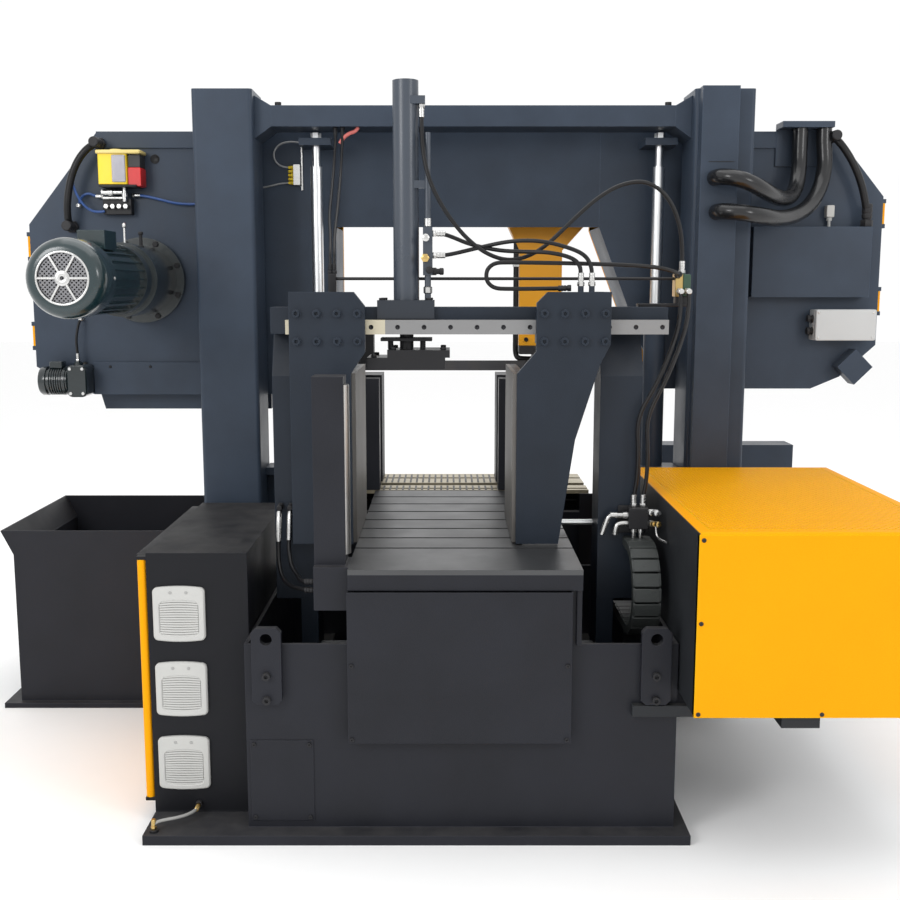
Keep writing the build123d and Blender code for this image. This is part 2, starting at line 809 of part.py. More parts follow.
def feed_rail_places():
    """Places along X of the two feed rails, under the posts' feet."""
    left = POST_LEFT_X + POST_WIDTH / 2 - POST_FOOT_WIDTH / 2
    right = POST_RIGHT_X - POST_WIDTH / 2 + POST_FOOT_WIDTH / 2
    return (left, right)


def lift_cylinders():
    """Two upright barrels, each on a bracket on its pillar's inner face."""
    solids = []
    y = (LIFT_Y - LIFT_BRACKET_HALF, LIFT_Y + LIFT_BRACKET_HALF)
    shelf_z = (LIFT_BASE - LIFT_BRACKET, LIFT_BASE)
    for side, x in ((-1, LIFT_LEFT_X), (1, LIFT_RIGHT_X)):
        barrel = cylinder_barrel((x, LIFT_Y, LIFT_BASE), (0, 0, 1), LIFT_TOP - LIFT_BASE,
                                 LIFT_BARREL, LIFT_BORE, LIFT_ROD, LIFT_CAP, LIFT_CAP)
        solids.append(barrel)
        near = x - side * LIFT_BRACKET_HALF
        wall = side * PILLAR_INNER
        solids.append(block((min(near, wall), max(near, wall)), y, shelf_z))
        gusset = [
            (wall, shelf_z[0]),
            (x, shelf_z[0]),
            (wall, shelf_z[0] - abs(wall - x)),
        ]
        solids.append(plate_xz(gusset, about(LIFT_Y, LIFT_BRACKET)))
    return solids


# Front base

def base_tub():
    """Floor plate, tub walls, the beams that carry the feed rails, the chain's anchor."""
    plate_x = (CABINET_X[0], TUB_X[1] + PLATE_RIGHT_LEDGE)
    wall_z = (FLOOR_PLATE, TUB_TOP)
    solids = [
        block(plate_x, (-PLATE_FRONT, -PILLAR_FACE), (0, FLOOR_PLATE)),
        block(TUB_X, (TUB_Y[0], TUB_INSIDE_Y[0]), wall_z),
        block(TUB_X, (TUB_INSIDE_Y[1], TUB_Y[1]), wall_z),
        block((TUB_X[0], TUB_X[0] + TUB_WALL), TUB_INSIDE_Y, wall_z),
        block((TUB_X[1] - TUB_WALL, TUB_X[1]), TUB_INSIDE_Y, wall_z),
    ]
    for x in feed_rail_places():
        solids.append(block(about(x, RAIL_BEAM_WIDTH), TUB_INSIDE_Y, (FLOOR_PLATE, RAIL_BEAM_TOP)))
    anchor_y = (chain_lower_end(), chain_lower_end() + CHAIN_ANCHOR)
    solids.append(block((CHAIN_LEFT, TUB_X[1] - TUB_WALL), anchor_y, chain_lower_z()))
    return solids


def cover_x():
    """Places along X of the bed cover's sides; it laps the bed's left side plate."""
    return (BED_X[0] - SHEET, BED_X[0] - SHEET + COVER_WIDTH)


def cover_z():
    """Heights of the bed cover, which ends just under the bed's front lip."""
    return (COVER_BOTTOM, BED_TOP - LIP_HEIGHT - COVER_GAP)


def access_x():
    """Places along X of the access panel's sides."""
    return (TUB_X[0] + ACCESS_INSET, TUB_X[0] + ACCESS_INSET + ACCESS_WIDTH)


def access_z():
    """Heights of the access panel."""
    return (FLOOR_PLATE + ACCESS_SILL, FLOOR_PLATE + ACCESS_SILL + ACCESS_HEIGHT)


def lug_places():
    """Places along X of the two lifting lugs."""
    return (TUB_X[0] + LUG_INSET, TUB_X[1] - LUG_INSET)


def front_covers():
    """Bed cover pan, access panel and the two lifting lugs on the tub's front wall."""
    front = TUB_Y[0]
    x = cover_x()
    z = cover_z()
    face_y = (front - COVER_DEPTH, front - COVER_DEPTH + SHEET)
    side_y = (face_y[1], front)
    side_z = (z[0] + SHEET, z[1])
    solids = [
        block(x, face_y, z),
        block((x[0], x[0] + SHEET), side_y, side_z),
        block((x[1] - SHEET, x[1]), side_y, side_z),
        block(x, side_y, (z[0], side_z[0])),
        block(access_x(), (front - SHEET, front), access_z()),
    ]
    top = TUB_TOP + LUG_RISE
    for place in lug_places():
        lug = block(about(place, LUG_WIDTH), (front - LUG_THICK, front), (top - LUG_HEIGHT, top))
        lug = chamfer(lug.edges().filter_by(Axis.Y), LUG_CORNER)
        hole_start = (place, front - LUG_THICK, top - LUG_HOLE_DROP)
        solids.append(lug - rod(hole_start, (0, 1, 0), LUG_THICK, LUG_HOLE))
    return solids


def lug_bolt_heights():
    """Heights of the two bolts in each lifting lug."""
    upper = TUB_TOP + LUG_RISE - LUG_HOLE_DROP - LUG_BOLT_DROP
    return (upper, upper - LUG_BOLT_PITCH)


def base_fasteners():
    """Screws of the covers, lugs and tie beam, the lead's gland and its lug on the floor plate."""
    front = TUB_Y[0]
    out = (0, -1, 0)
    heads = []
    for place in lug_places():
        for height in lug_bolt_heights():
            heads.append(bolt_head((place, front - LUG_THICK, height), out, BOLT_HEAD, BOLT_HEIGHT))
    small = BOLT_HEAD / 2
    z = cover_z()
    middle = z[0] + COVER_SCREW_SHARE * (z[1] - z[0])
    panels = (
        (cover_x(), (z[0] + BOLT_HEAD, middle), front - COVER_DEPTH),
        (access_x(), (access_z()[0] + BOLT_HEAD, access_z()[1] - BOLT_HEAD), front - SHEET),
    )
    for x, heights, face in panels:
        for side in (x[0] + BOLT_HEAD, x[1] - BOLT_HEAD):
            for height in heights:
                heads.append(bolt_head((side, face, height), out, small, small))
    reach = PILLAR_INNER - TIE_END
    top = TIE_BOTTOM + TIE_HEIGHT
    for side in (-1, 1):
        for y in (-TIE_FRONT + 2 * BOLT_HEAD, -TIE_FRONT + TIE_DEPTH - 2 * BOLT_HEAD):
            place = (side * (reach - 2 * BOLT_HEAD), y, top)
            heads.append(bolt_head(place, (0, 0, 1), BOLT_HEAD, BOLT_HEIGHT))
    heads.append(rod(lead_gland(), (0, -1, 0), GLAND_LENGTH, GLAND))
    heads.append(rod(lead_lug(), (0, 0, 1), LEAD_LUG_HEIGHT, LEAD_LUG))
    return heads


def lead_gland():
    """Place on the cabinet's front where the bonding lead comes out."""
    return (CABINET_X[0] + 2 * LUG_INSET, CABINET_Y[0], FLOOR_PLATE + 2 * LEAD_LUG)


def lead_lug():
    """Place of the bonding lead's lug, at the floor plate's front left corner."""
    return (CABINET_X[0] + 2 * LEAD_LUG, -PLATE_FRONT + 2 * LEAD_LUG, FLOOR_PLATE)


def feed_bed():
    """Side plates, front lip and rear tie of the bed, and the side guide post with its foot."""
    wall_z = (TUB_TOP, SLAT_Z[0])
    lip_y = (BED_FRONT_Y, BED_FRONT_Y + BED_PLATE)
    side_y = (BED_FRONT_Y + BED_PLATE, BOW_Y)
    inner_x = (BED_X[0] + BED_PLATE, BED_X[1] - BED_PLATE)
    solids = [
        block((BED_X[0], inner_x[0]), side_y, wall_z),
        block((inner_x[1], BED_X[1]), side_y, wall_z),
        block(BED_X, lip_y, (BED_TOP - LIP_HEIGHT, SLAT_Z[0])),
        block(inner_x, (side_y[1] - BED_PLATE, side_y[1]), wall_z),
        block(inner_x, (TUB_Y[0], TUB_Y[0] + BED_PLATE), wall_z),
    ]
    foot_y = (guide_post_y()[0] - GUIDE_POST_SETBACK / 2, guide_post_y()[1])
    foot_x = (guide_post_x()[0], BED_X[0])
    solids.append(block(foot_x, foot_y, (BED_TOP - GUIDE_FOOT_DROP, BED_TOP)))
    post = block(guide_post_x(), guide_post_y(), (BED_TOP, GUIDE_POST_TOP))
    way_z = (BED_TOP + GUIDE_ROLLER_END - PART_GAP, GUIDE_POST_TOP - GUIDE_ROLLER_END + PART_GAP)
    axis = guide_roller_axis()
    way = rod((axis[0], axis[1], way_z[0]), (0, 0, 1), way_z[1] - way_z[0], GUIDE_ROLLER + SLIDE_GAP)
    pin_z = (BED_TOP + GUIDE_ROLLER_END / 2, GUIDE_POST_TOP - GUIDE_ROLLER_END / 2)
    pin_way = rod((axis[0], axis[1], pin_z[0]), (0, 0, 1), pin_z[1] - pin_z[0], GUIDE_PIN + SHAFT_FIT)
    solids.append(post - way - pin_way)
    return solids


def guide_post_x():
    """Places along X of the side guide post's sides; its roller meets the datum line."""
    right = DATUM_X - GUIDE_ROLLER_PROUD
    return (right - GUIDE_POST_WIDTH, right)


def guide_post_y():
    """Places along Y of the side guide post's faces."""
    front = BED_FRONT_Y + GUIDE_POST_SETBACK
    return (front, front + GUIDE_POST_DEPTH)


def guide_roller_axis():
    """Axis of the side guide's upright roller, as a place in X and Y."""
    return (DATUM_X - GUIDE_ROLLER, sum(guide_post_y()) / 2)


def guide_roller():
    """Upright steel roller with a pin at each end."""
    axis = guide_roller_axis()
    z = (BED_TOP + GUIDE_ROLLER_END, GUIDE_POST_TOP - GUIDE_ROLLER_END)
    body = rod((axis[0], axis[1], z[0]), (0, 0, 1), z[1] - z[0], GUIDE_ROLLER)
    pin = GUIDE_ROLLER_END / 2 - PART_GAP
    return body + rod((axis[0], axis[1], z[0] - pin), (0, 0, 1), z[1] - z[0] + 2 * pin, GUIDE_PIN)


def bed_slats():
    """Cross slats of the feed bed and, past the pillars, of the bed at the cutting line."""
    slats = [block(BED_X, (BED_FRONT_Y, BED_FRONT_Y + FIRST_SLAT), SLAT_Z)]
    start = BED_FRONT_Y + FIRST_SLAT + SLAT_GAP
    pitch = (BOW_Y - start + SLAT_GAP) / SLAT_COUNT
    for number in range(SLAT_COUNT):
        front = start + number * pitch
        slats.append(block(BED_X, (front, front + pitch - SLAT_GAP), SLAT_Z))
    far_x = (-PEDESTAL_LEFT, PEDESTAL_RIGHT)
    half_web = WEB_THICK / 2 + WEB_GAP
    front_web, rear_web = web_places()
    slot = about(BAND_Y, BLADE_SLOT)
    edges = (
        (BOW_Y + SLAT_GAP, front_web - half_web),
        (front_web + half_web, slot[0]),
        (slot[1], rear_web - half_web),
        (rear_web + half_web, main_bed_rear()),
    )
    slats.extend(block(far_x, y, SLAT_Z) for y in edges)
    return slats


# Electrical cabinet

def door_axis():
    """Upright axis of the cabinet door, as a place in X and Y."""
    return (CABINET_X[0] - SLIDE_GAP - DOOR_THICK / 2, CABINET_Y[0] + DOOR_THICK / 2 + SLIDE_GAP)


def cabinet_shell():
    """Sheet metal cabinet, open on its left, with the ears and pins of its door."""
    x = CABINET_X
    y = CABINET_Y
    z = (FLOOR_PLATE, CABINET_TOP)
    inner_y = (y[0] + SHEET, y[1] - SHEET)
    inner_z = (z[0] + SHEET, z[1] - SHEET)
    solids = [
        block(x, y, (z[0], inner_z[0])),
        block(x, y, (inner_z[1], z[1])),
        block(x, (y[0], inner_y[0]), inner_z),
        block(x, (inner_y[1], y[1]), inner_z),
        block((x[1] - SHEET, x[1]), inner_y, inner_z),
    ]
    axis = door_axis()
    ear_x = (axis[0] - DOOR_THICK / 2, x[0])
    ear_y = about(axis[1], DOOR_THICK)
    for face, way in ((DOOR_BOTTOM, -1), (DOOR_TOP, 1)):
        seat = face + way * PART_GAP
        ear_z = (min(seat, seat + way * DOOR_EAR), max(seat, seat + way * DOOR_EAR))
        ear = block(ear_x, ear_y, ear_z)
        pin = rod((axis[0], axis[1], seat), (0, 0, -way), 2 * DOOR_EAR, DOOR_PIN)
        solids.append(ear + pin)
    return solids


def cabinet_door():
    """Door on the cabinet's left side, with a rounded hinge edge and a turn lock."""
    axis = door_axis()
    x = about(axis[0], DOOR_THICK)
    y = (axis[1] - DOOR_THICK / 2, CABINET_Y[1] - SLIDE_GAP)
    panel = block(x, y, (DOOR_BOTTOM, DOOR_TOP))
    hinge_edges = panel.edges().filter_by(Axis.Z).sort_by(Axis.Y)[:2]
    panel = fillet(hinge_edges, DOOR_THICK / 2 - SHAFT_FIT)
    for face, way in ((DOOR_BOTTOM, 1), (DOOR_TOP, -1)):
        panel -= rod((axis[0], axis[1], face), (0, 0, way), 2 * DOOR_EAR, DOOR_PIN + SHAFT_FIT)
    panel -= block((x[0] + SHEET, x[1] - SHEET), (y[0] + 2 * DOOR_THICK, y[1] - SHEET),
                   (DOOR_BOTTOM + SHEET, DOOR_TOP - SHEET))
    lock_place = (x[0], y[1] - 2 * DOOR_THICK, (DOOR_BOTTOM + DOOR_TOP) / 2)
    return panel + rod(lock_place, (-1, 0, 0), DOOR_EAR, DOOR_THICK / 2)


def filter_vents():
    """Three filter vents with bowed sides on the cabinet's front."""
    left = CABINET_X[0] + VENT_INSET
    right = left + VENT_WIDTH
    middle = (left + right) / 2
    face = CABINET_Y[0]
    vents = []
    for number in range(VENT_COUNT):
        top = VENT_TOP - number * VENT_PITCH
        bottom = top - VENT_HEIGHT
        centre = (top + bottom) / 2
        sides = [
            ThreePointArc((left, face, bottom), (middle, face, bottom - VENT_BULGE), (right, face, bottom)),
            ThreePointArc((right, face, bottom), (right + VENT_BULGE, face, centre), (right, face, top)),
            ThreePointArc((right, face, top), (middle, face, top + VENT_BULGE), (left, face, top)),
            ThreePointArc((left, face, top), (left - VENT_BULGE, face, centre), (left, face, bottom)),
        ]
        vents.append(extrude(make_face(sides), amount=VENT_THICK, dir=(0, -1, 0)))
    return vents


def earth_lead_route():
    """Points of the bonding lead, from its gland to its lug."""
    gland = lead_gland()
    lug = lead_lug()
    start = (gland[0], gland[1] - GLAND_LENGTH, gland[2])
    end = (lug[0], lug[1], lug[2] + LEAD_LUG_HEIGHT)
    return [
        start,
        (start[0], start[1] - 30, start[2]),
        (start[0] - 14, start[1] - 62, start[2] + 4),
        (start[0] - 44, start[1] - 86, start[2] + 14),
        (start[0] - 78, start[1] - 96, start[2] + 16),
        (end[0] + 10, end[1] - 2, end[2] + 34),
        (end[0], end[1], end[2] + 14),
        end,
    ]


# Hydraulic cover, chip bin and control desk

def tray_z():
    """Heights of the hydraulic tray."""
    return (HOOD_BOTTOM + SLIDE_GAP, HOOD_BOTTOM + SLIDE_GAP + TRAY_THICK)


def hydraulic_cover():
    """Sheet cover over the hydraulic unit, open below and towards the tub."""
    x = HOOD_X
    y = HOOD_Y
    z = (HOOD_BOTTOM, HOOD_TOP)
    side_z = (z[0], z[1] - SHEET)
    return [
        block(x, y, (side_z[1], z[1])),
        block(x, (y[0], y[0] + SHEET), side_z),
        block(x, (y[1] - SHEET, y[1]), side_z),
        block((x[1] - SHEET, x[1]), (y[0] + SHEET, y[1] - SHEET), side_z),
    ]


def hydraulic_unit():
    """Support arms, tray rails, tray with its side panel, tank, and the motor and pump on the tank."""
    tray = tray_z()
    rail_z = (tray[0] - TRAY_RAIL_HEIGHT, tray[0])
    arm_z = (rail_z[0] - ARM_HEIGHT, rail_z[0])
    arm_right = HOOD_X[1] - SHEET
    solids = [
        block((TUB_X[1] - ARM_LAP, arm_right), (TUB_Y[0] - ARM_DEPTH, TUB_Y[0]), arm_z),
        block((TUB_X[1], arm_right), (TUB_Y[1] - ARM_LAP, TUB_Y[1] - ARM_LAP + ARM_DEPTH), arm_z),
    ]
    tray_x = (HOOD_X[0] + SHEET, HOOD_X[1] - SHEET)
    tray_y = (HOOD_Y[0] + SHEET, HOOD_Y[1] - SHEET)
    solids.append(block((HOOD_X[0], tray_x[0]), tray_y, (tray[0], HOOD_TOP - SHEET)))
    rail_y = (tray_y[0] + TRAY_THICK, tray_y[1] - TRAY_THICK)
    for x in (about(TRAY_RAIL_X, TRAY_RAIL_WIDTH), (tray_x[1] - TRAY_RAIL_WIDTH, tray_x[1])):
        solids.append(block(x, rail_y, rail_z))
    solids.append(block(tray_x, tray_y, tray))
    tank_x = (tray_x[0] + TANK_MARGIN, tray_x[1] - TANK_MARGIN)
    tank_y = (tray_y[1] - TANK_MARGIN - TANK_DEPTH, tray_y[1] - TANK_MARGIN)
    tank_z = (tray[1], tray[1] + TANK_HEIGHT)
    tank = block(tank_x, tank_y, tank_z)
    tank -= block((tank_x[0] + SHEET, tank_x[1] - SHEET), (tank_y[0] + SHEET, tank_y[1] - SHEET),
                  (tank_z[0] + SHEET, tank_z[1] - SHEET))
    solids.append(tank)
    motor_x = (tank_x[0] + tank_x[1]) / 2
    motor_y = tank_y[0] + TANK_MARGIN
    axis_z = tank_z[1] + PUMP_FOOT + PUMP_MOTOR_RADIUS
    foot_y = (motor_y + TANK_MARGIN, motor_y + PUMP_MOTOR_LENGTH - TANK_MARGIN)
    foot = block(about(motor_x, PUMP_MOTOR_RADIUS), foot_y, (tank_z[1], axis_z))
    motor = rod((motor_x, motor_y, axis_z), (0, 1, 0), PUMP_MOTOR_LENGTH, PUMP_MOTOR_RADIUS)
    pump = rod((motor_x, motor_y + PUMP_MOTOR_LENGTH, axis_z), (0, 1, 0), PUMP_LENGTH, PUMP_RADIUS)
    solids.append(motor + foot + pump)
    return solids


def chip_bin():
    """Open bin under the drive wheel, with a flared left rim and a foot plate."""
    left = -BIN_LEFT
    right = -BIN_RIGHT
    rim_left = left - BIN_FLARE
    y = (-BIN_FRONT, BIN_REAR)
    floor = BIN_PLATE
    inner_y = (y[0] + BIN_WALL, y[1] - BIN_WALL)
    end_outline = [
        (left, floor),
        (right, floor),
        (right, BIN_TOP),
        (rim_left, BIN_TOP),
        (left, BIN_FLARE_START),
    ]
    flare = [
        (left, BIN_FLARE_START),
        (rim_left, BIN_TOP),
        (rim_left + BIN_WALL, BIN_TOP),
        (left + BIN_WALL, BIN_FLARE_START),
    ]
    plate_x = (left - BIN_PLATE_LEDGE, -PLINTH_HALF)
    return [
        block(plate_x, (y[0] - BIN_PLATE_FRONT, y[1] + BIN_PLATE_FRONT), (0, floor)),
        plate_xz(end_outline, (y[0], inner_y[0])),
        plate_xz(end_outline, (inner_y[1], y[1])),
        block((left, left + BIN_WALL), inner_y, (floor, BIN_FLARE_START)),
        plate_xz(flare, inner_y),
        block((right - BIN_WALL, right), inner_y, (floor, BIN_RIGHT_TOP)),
    ]


def desk_outline(wall):
    """Outline of the desk's section in Y and Z, drawn in by a wall."""
    front = PLINTH_REAR
    rear = PLINTH_REAR + DESK_DEPTH
    outer = [
        (front, 0),
        (rear, 0),
        (rear, DESK_FACE_BOTTOM),
        (rear - DESK_FACE_RUN, DESK_TOP),
        (front, DESK_TOP),
    ]
    return inset(outer, wall) if wall else outer


def desk_face():
    """Middle of the desk's sloped face, and the direction it faces, as (y, z) pairs."""
    rear = PLINTH_REAR + DESK_DEPTH
    rise = DESK_TOP - DESK_FACE_BOTTOM
    middle = (rear - DESK_FACE_RUN / 2, DESK_FACE_BOTTOM + rise / 2)
    length = math.hypot(rise, DESK_FACE_RUN)
    return middle, (rise / length, DESK_FACE_RUN / length)


def button_place(number):
    """Point on the desk's face where a button stands, counted from its middle."""
    middle, _ = desk_face()
    return (DESK_LEFT + DESK_WIDTH / 2 + number * BUTTON_PITCH, middle[0], middle[1])


def button_way():
    """Direction in which the buttons stand out of the desk's face."""
    _, way = desk_face()
    return (0, way[0], way[1])


def control_desk():
    """Sheet metal desk with a sloped face, bored for its two buttons."""
    x = (DESK_LEFT, DESK_LEFT + DESK_WIDTH)
    desk = plate_yz(desk_outline(0), x) - plate_yz(desk_outline(SHEET), (x[0] + SHEET, x[1] - SHEET))
    for number in (0, 1):
        start = Vector(*button_place(number)) - Vector(*button_way()) * 2 * SHEET
        desk -= rod(start, button_way(), 4 * SHEET, BUTTON_RADIUS + SHAFT_FIT)
    return desk


def start_button():
    """Flush start button, on the middle of the desk's face."""
    way = Vector(*button_way())
    base = Vector(*button_place(0)) - way * BUTTON_PROUD
    return rod(base, way, 2 * BUTTON_PROUD, BUTTON_RADIUS)


def emergency_stop():
    """Mushroom button with a wide head."""
    way = Vector(*button_way())
    base = Vector(*button_place(1)) - way * BUTTON_PROUD
    stem_length = 2 * BUTTON_PROUD
    stem = rod(base, way, stem_length, BUTTON_RADIUS)
    return stem + rod(base + way * stem_length, way, STOP_HEAD_THICK, STOP_HEAD)


# Saw bow

def left_outline():
    """Outline of the drive side housing as (x, z) corners, from the beam round to the band."""
    inner = -WINDOW_LEFT
    return [
        (inner, BOW_TOP),
        (inner, WINDOW_TOP),
        (inner, BAND_DOOR_TOP),
        (inner, BOW_LEFT_BOTTOM),
        (-BOW_LEFT_TOE, BOW_LEFT_BOTTOM),
        (-BOW_LEFT_END, BOW_LEFT_HIP),
        (-BOW_LEFT_END, BOW_LEFT_SHOULDER),
        (-BOW_LEFT_CORNER, BOW_TOP),
    ]


def window_edge(height):
    """Place along X of the window's slanted right edge at a height."""
    share = (WINDOW_TOP - height) / (WINDOW_TOP - BOW_RIGHT_BOTTOM)
    return WINDOW_RIGHT + WINDOW_SLANT * share


def right_outline():
    """Outline of the idler side housing as (x, z) corners, from the beam round to the band."""
    return [
        (WINDOW_RIGHT, BOW_TOP),
        (WINDOW_RIGHT, WINDOW_TOP),
        (window_edge(BAND_DOOR_TOP), BAND_DOOR_TOP),
        (window_edge(BOW_RIGHT_BOTTOM), BOW_RIGHT_BOTTOM),
        (BOW_RIGHT_TOE, BOW_RIGHT_BOTTOM),
        (BOW_RIGHT_KNEE_X, BOW_RIGHT_KNEE),
        (BOW_RIGHT_END, BOW_RIGHT_HIP),
        (BOW_RIGHT_END, BOW_RIGHT_SHOULDER),
        (BOW_RIGHT_CORNER, BOW_TOP),
    ]


def without(points, *numbers):
    """Corners of an outline, less those that lie along a straight side."""
    return [point for number, point in enumerate(points) if number not in numbers]


def bow_frame():
    """Welded bow: back plates, rims, the hollow beam, the chip chute, the idler's axle, hinge ears."""
    plate_y = (BOW_Y, BOW_Y + BOW_PLATE)
    rim_y = (plate_y[1], BOW_REAR)
    back_left = plate_xz(without(left_outline(), 1, 2), plate_y)
    back_left -= rod((DRIVE_X, BOW_Y, WHEEL_Z), (0, 1, 0), BOW_PLATE, AXLE_RADIUS + SLIDE_GAP)
    back_left -= rod((BRUSH_X, BOW_Y, BRUSH_Z), (0, 1, 0), BOW_PLATE, BRUSH_SHAFT + SLIDE_GAP)
    solids = [back_left, plate_xz(without(right_outline(), 2), plate_y)]
    solids.extend(rim(left_outline(), rim_y, BOW_RIM, leave_out=(0, 2)))
    solids.extend(rim(right_outline(), rim_y, BOW_RIM, leave_out=(0, 2)))
    beam_x = (-WINDOW_LEFT, WINDOW_RIGHT)
    front_y = (BOW_REAR - BOW_PLATE, BOW_REAR)
    beam_y = (plate_y[1], front_y[0])
    solids.append(block(beam_x, plate_y, (WINDOW_TOP, BOW_TOP)))
    solids.append(block(beam_x, front_y, (BOW_FLOOR, BOW_TOP)))
    solids.append(block(beam_x, beam_y, (BOW_TOP - BOW_RIM, BOW_TOP)))
    solids.append(block(beam_x, beam_y, (BOW_FLOOR, BOW_FLOOR + BOW_RIM)))
    rail_y = about(arm_y(), GUIDE_RAIL_WIDTH)
    solids.append(block(beam_x, rail_y, (BOW_FLOOR - GUIDE_RAIL, BOW_FLOOR)))
    chute_y = about(BAND_Y, CHUTE_DEPTH)
    chute_low = BOW_LEFT_BOTTOM - CHUTE_DROP
    chute = [
        (-CHUTE_LEFT, BOW_LEFT_BOTTOM),
        (-CHUTE_LEFT + CHUTE_SLANT, chute_low),
        (-CHUTE_RIGHT, chute_low),
        (-CHUTE_RIGHT, BOW_LEFT_BOTTOM),
    ]
    solids.append(plate_xz(chute, chute_y))
    strip_y = (BOW_Y - TOP_STRIP_THICK, BOW_Y)
    strip_z = (BOW_TOP - TOP_STRIP, BOW_TOP)
    solids.append(block((-BOW_LEFT_CORNER, -PILLAR_X - RUNNER_WIDTH), strip_y, strip_z))
    solids.append(block((PILLAR_X + RUNNER_WIDTH, GLAND_HOOD_LEFT), strip_y, strip_z))
    axle_end = BAND_Y + WHEEL_HUB_WIDTH / 2
    solids.append(rod((IDLER_X, plate_y[1], WHEEL_Z), (0, 1, 0), axle_end - plate_y[1], AXLE_RADIUS))
    for side in (-1, 1):
        solids.extend(hinge_ears(side))
    return solids


def wheel_door_axis(side):
    """Upright hinge axis of a wheel door, as a place in X and Y; side is -1 for the left one."""
    end = BOW_LEFT_END if side < 0 else BOW_RIGHT_END
    return (side * (end + HINGE_REACH), BOW_Y + BOW_PLATE + HINGE_SETBACK)


def strap_heights(side):
    """Heights of a wheel door's two straps, from the housing's shoulder and hip."""
    if side < 0:
        return (BOW_LEFT_SHOULDER - STRAP_LEFT_DROP, BOW_LEFT_HIP + STRAP_LEFT_RISE)
    return (BOW_RIGHT_SHOULDER - STRAP_RIGHT_DROP, BOW_RIGHT_HIP + STRAP_RIGHT_RISE)


def hinge_ears(side):
    """Ears and pins on the housing's outer side, above and below each strap's knuckle."""
    axis = wheel_door_axis(side)
    wall = side * (BOW_LEFT_END if side < 0 else BOW_RIGHT_END)
    outer = axis[0] + side * HINGE_KNUCKLE
    ear_x = (min(wall, outer), max(wall, outer))
    solids = []
    for centre in strap_heights(side):
        low = centre - STRAP_HEIGHT / 2 - PART_GAP
        high = centre + STRAP_HEIGHT / 2 + PART_GAP
        pin = rod((axis[0], axis[1], low - HINGE_EAR), (0, 0, 1), high - low + 2 * HINGE_EAR, HINGE_PIN)
        for z in ((low - HINGE_EAR, low), (high, high + HINGE_EAR)):
            pin += block(ear_x, about(axis[1], 2 * HINGE_KNUCKLE), z)
        solids.append(pin)
    return solids


def wheel_door(side):
    """Sheet door over a wheel housing, with two straps that reach round to its hinges."""
    outline = without(left_outline(), 1, 2) if side < 0 else without(right_outline(), 2)
    face = BOW_REAR + WHEEL_DOOR_GAP
    sheet_y = (face + WHEEL_DOOR_THICK - SHEET, face + WHEEL_DOOR_THICK)
    solids = [plate_xz(outline, sheet_y)]
    solids.extend(rim(outline, (face, sheet_y[0]), SHEET))
    axis = wheel_door_axis(side)
    wall = side * (BOW_LEFT_END if side < 0 else BOW_RIGHT_END)
    strap_x = about(axis[0], STRAP_THICK)
    lap_x = (min(wall, axis[0]), max(wall, axis[0]))
    for centre in strap_heights(side):
        z = about(centre, STRAP_HEIGHT)
        strap = block(strap_x, (axis[1], face), z)
        strap += rod((axis[0], axis[1], z[0]), (0, 0, 1), STRAP_HEIGHT, HINGE_KNUCKLE)
        strap -= rod((axis[0], axis[1], z[0]), (0, 0, 1), STRAP_HEIGHT, HINGE_PIN + SHAFT_FIT)
        solids.append(strap)
        lap = block((min(lap_x[0], strap_x[0]), max(lap_x[1], strap_x[1])), (face, sheet_y[1]), z)
        solids.append(lap)
    return solids


def bow_brackets():
    """Runner blocks on the pillar rails, and the ears that the lift rods push."""
    solids = []
    rail_gap = RAIL_WIDTH + 2 * SHAFT_FIT
    for side in (-1, 1):
        x = about(side * PILLAR_X, RUNNER_WIDTH)
        for top in (BOW_TOP - BOW_PLATE, BAND_DOOR_TOP + RUNNER_LENGTH):
            z = (top - RUNNER_LENGTH, top)
            runner = block(x, (PILLAR_FACE + RUNNER_LIFT, BOW_Y), z)
            way_y = (PILLAR_FACE, PILLAR_FACE + RAIL_HEIGHT + SHAFT_FIT)
            solids.append(runner - block(about(side * PILLAR_X, rail_gap), way_y, z))
    for x in (LIFT_LEFT_X, LIFT_RIGHT_X):
        ear_x = about(x, 2 * LIFT_BRACKET_HALF)
        ear = block(ear_x, (LIFT_Y - LIFT_BARREL, BOW_Y), (LIFT_EAR_TOP - LIFT_EAR, LIFT_EAR_TOP))
        ear -= rod((x, LIFT_Y, LIFT_EAR_TOP - LIFT_EAR), (0, 0, 1), LIFT_EAR, LIFT_NECK + PART_GAP)
        solids.append(ear)
    return solids


def lift_rods():
    """Chromed lift rods with pistons in the barrels, stepped ends, and nuts over the bow's ears."""
    shoulder = LIFT_EAR_TOP - LIFT_EAR
    rods = []
    for x in (LIFT_LEFT_X, LIFT_RIGHT_X):
        start = (x, LIFT_Y, LIFT_PISTON_Z)
        length = shoulder - LIFT_STEP - LIFT_PISTON_Z
        shaft = piston_rod(start, (0, 0, 1), length, LIFT_ROD, LIFT_PISTON, LIFT_BORE)
        shaft += rod((x, LIFT_Y, shoulder - LIFT_STEP), (0, 0, 1), LIFT_STEP, LIFT_STEP_RADIUS)
        shaft += rod((x, LIFT_Y, shoulder), (0, 0, 1), LIFT_EAR, LIFT_NECK)
        nut = Plane(origin=(x, LIFT_Y, LIFT_EAR_TOP), z_dir=(0, 0, 1)) * RegularPolygon(LIFT_NUT, 6)
        rods.append(shaft + extrude(nut, amount=LIFT_NUT_HEIGHT))
    return rods


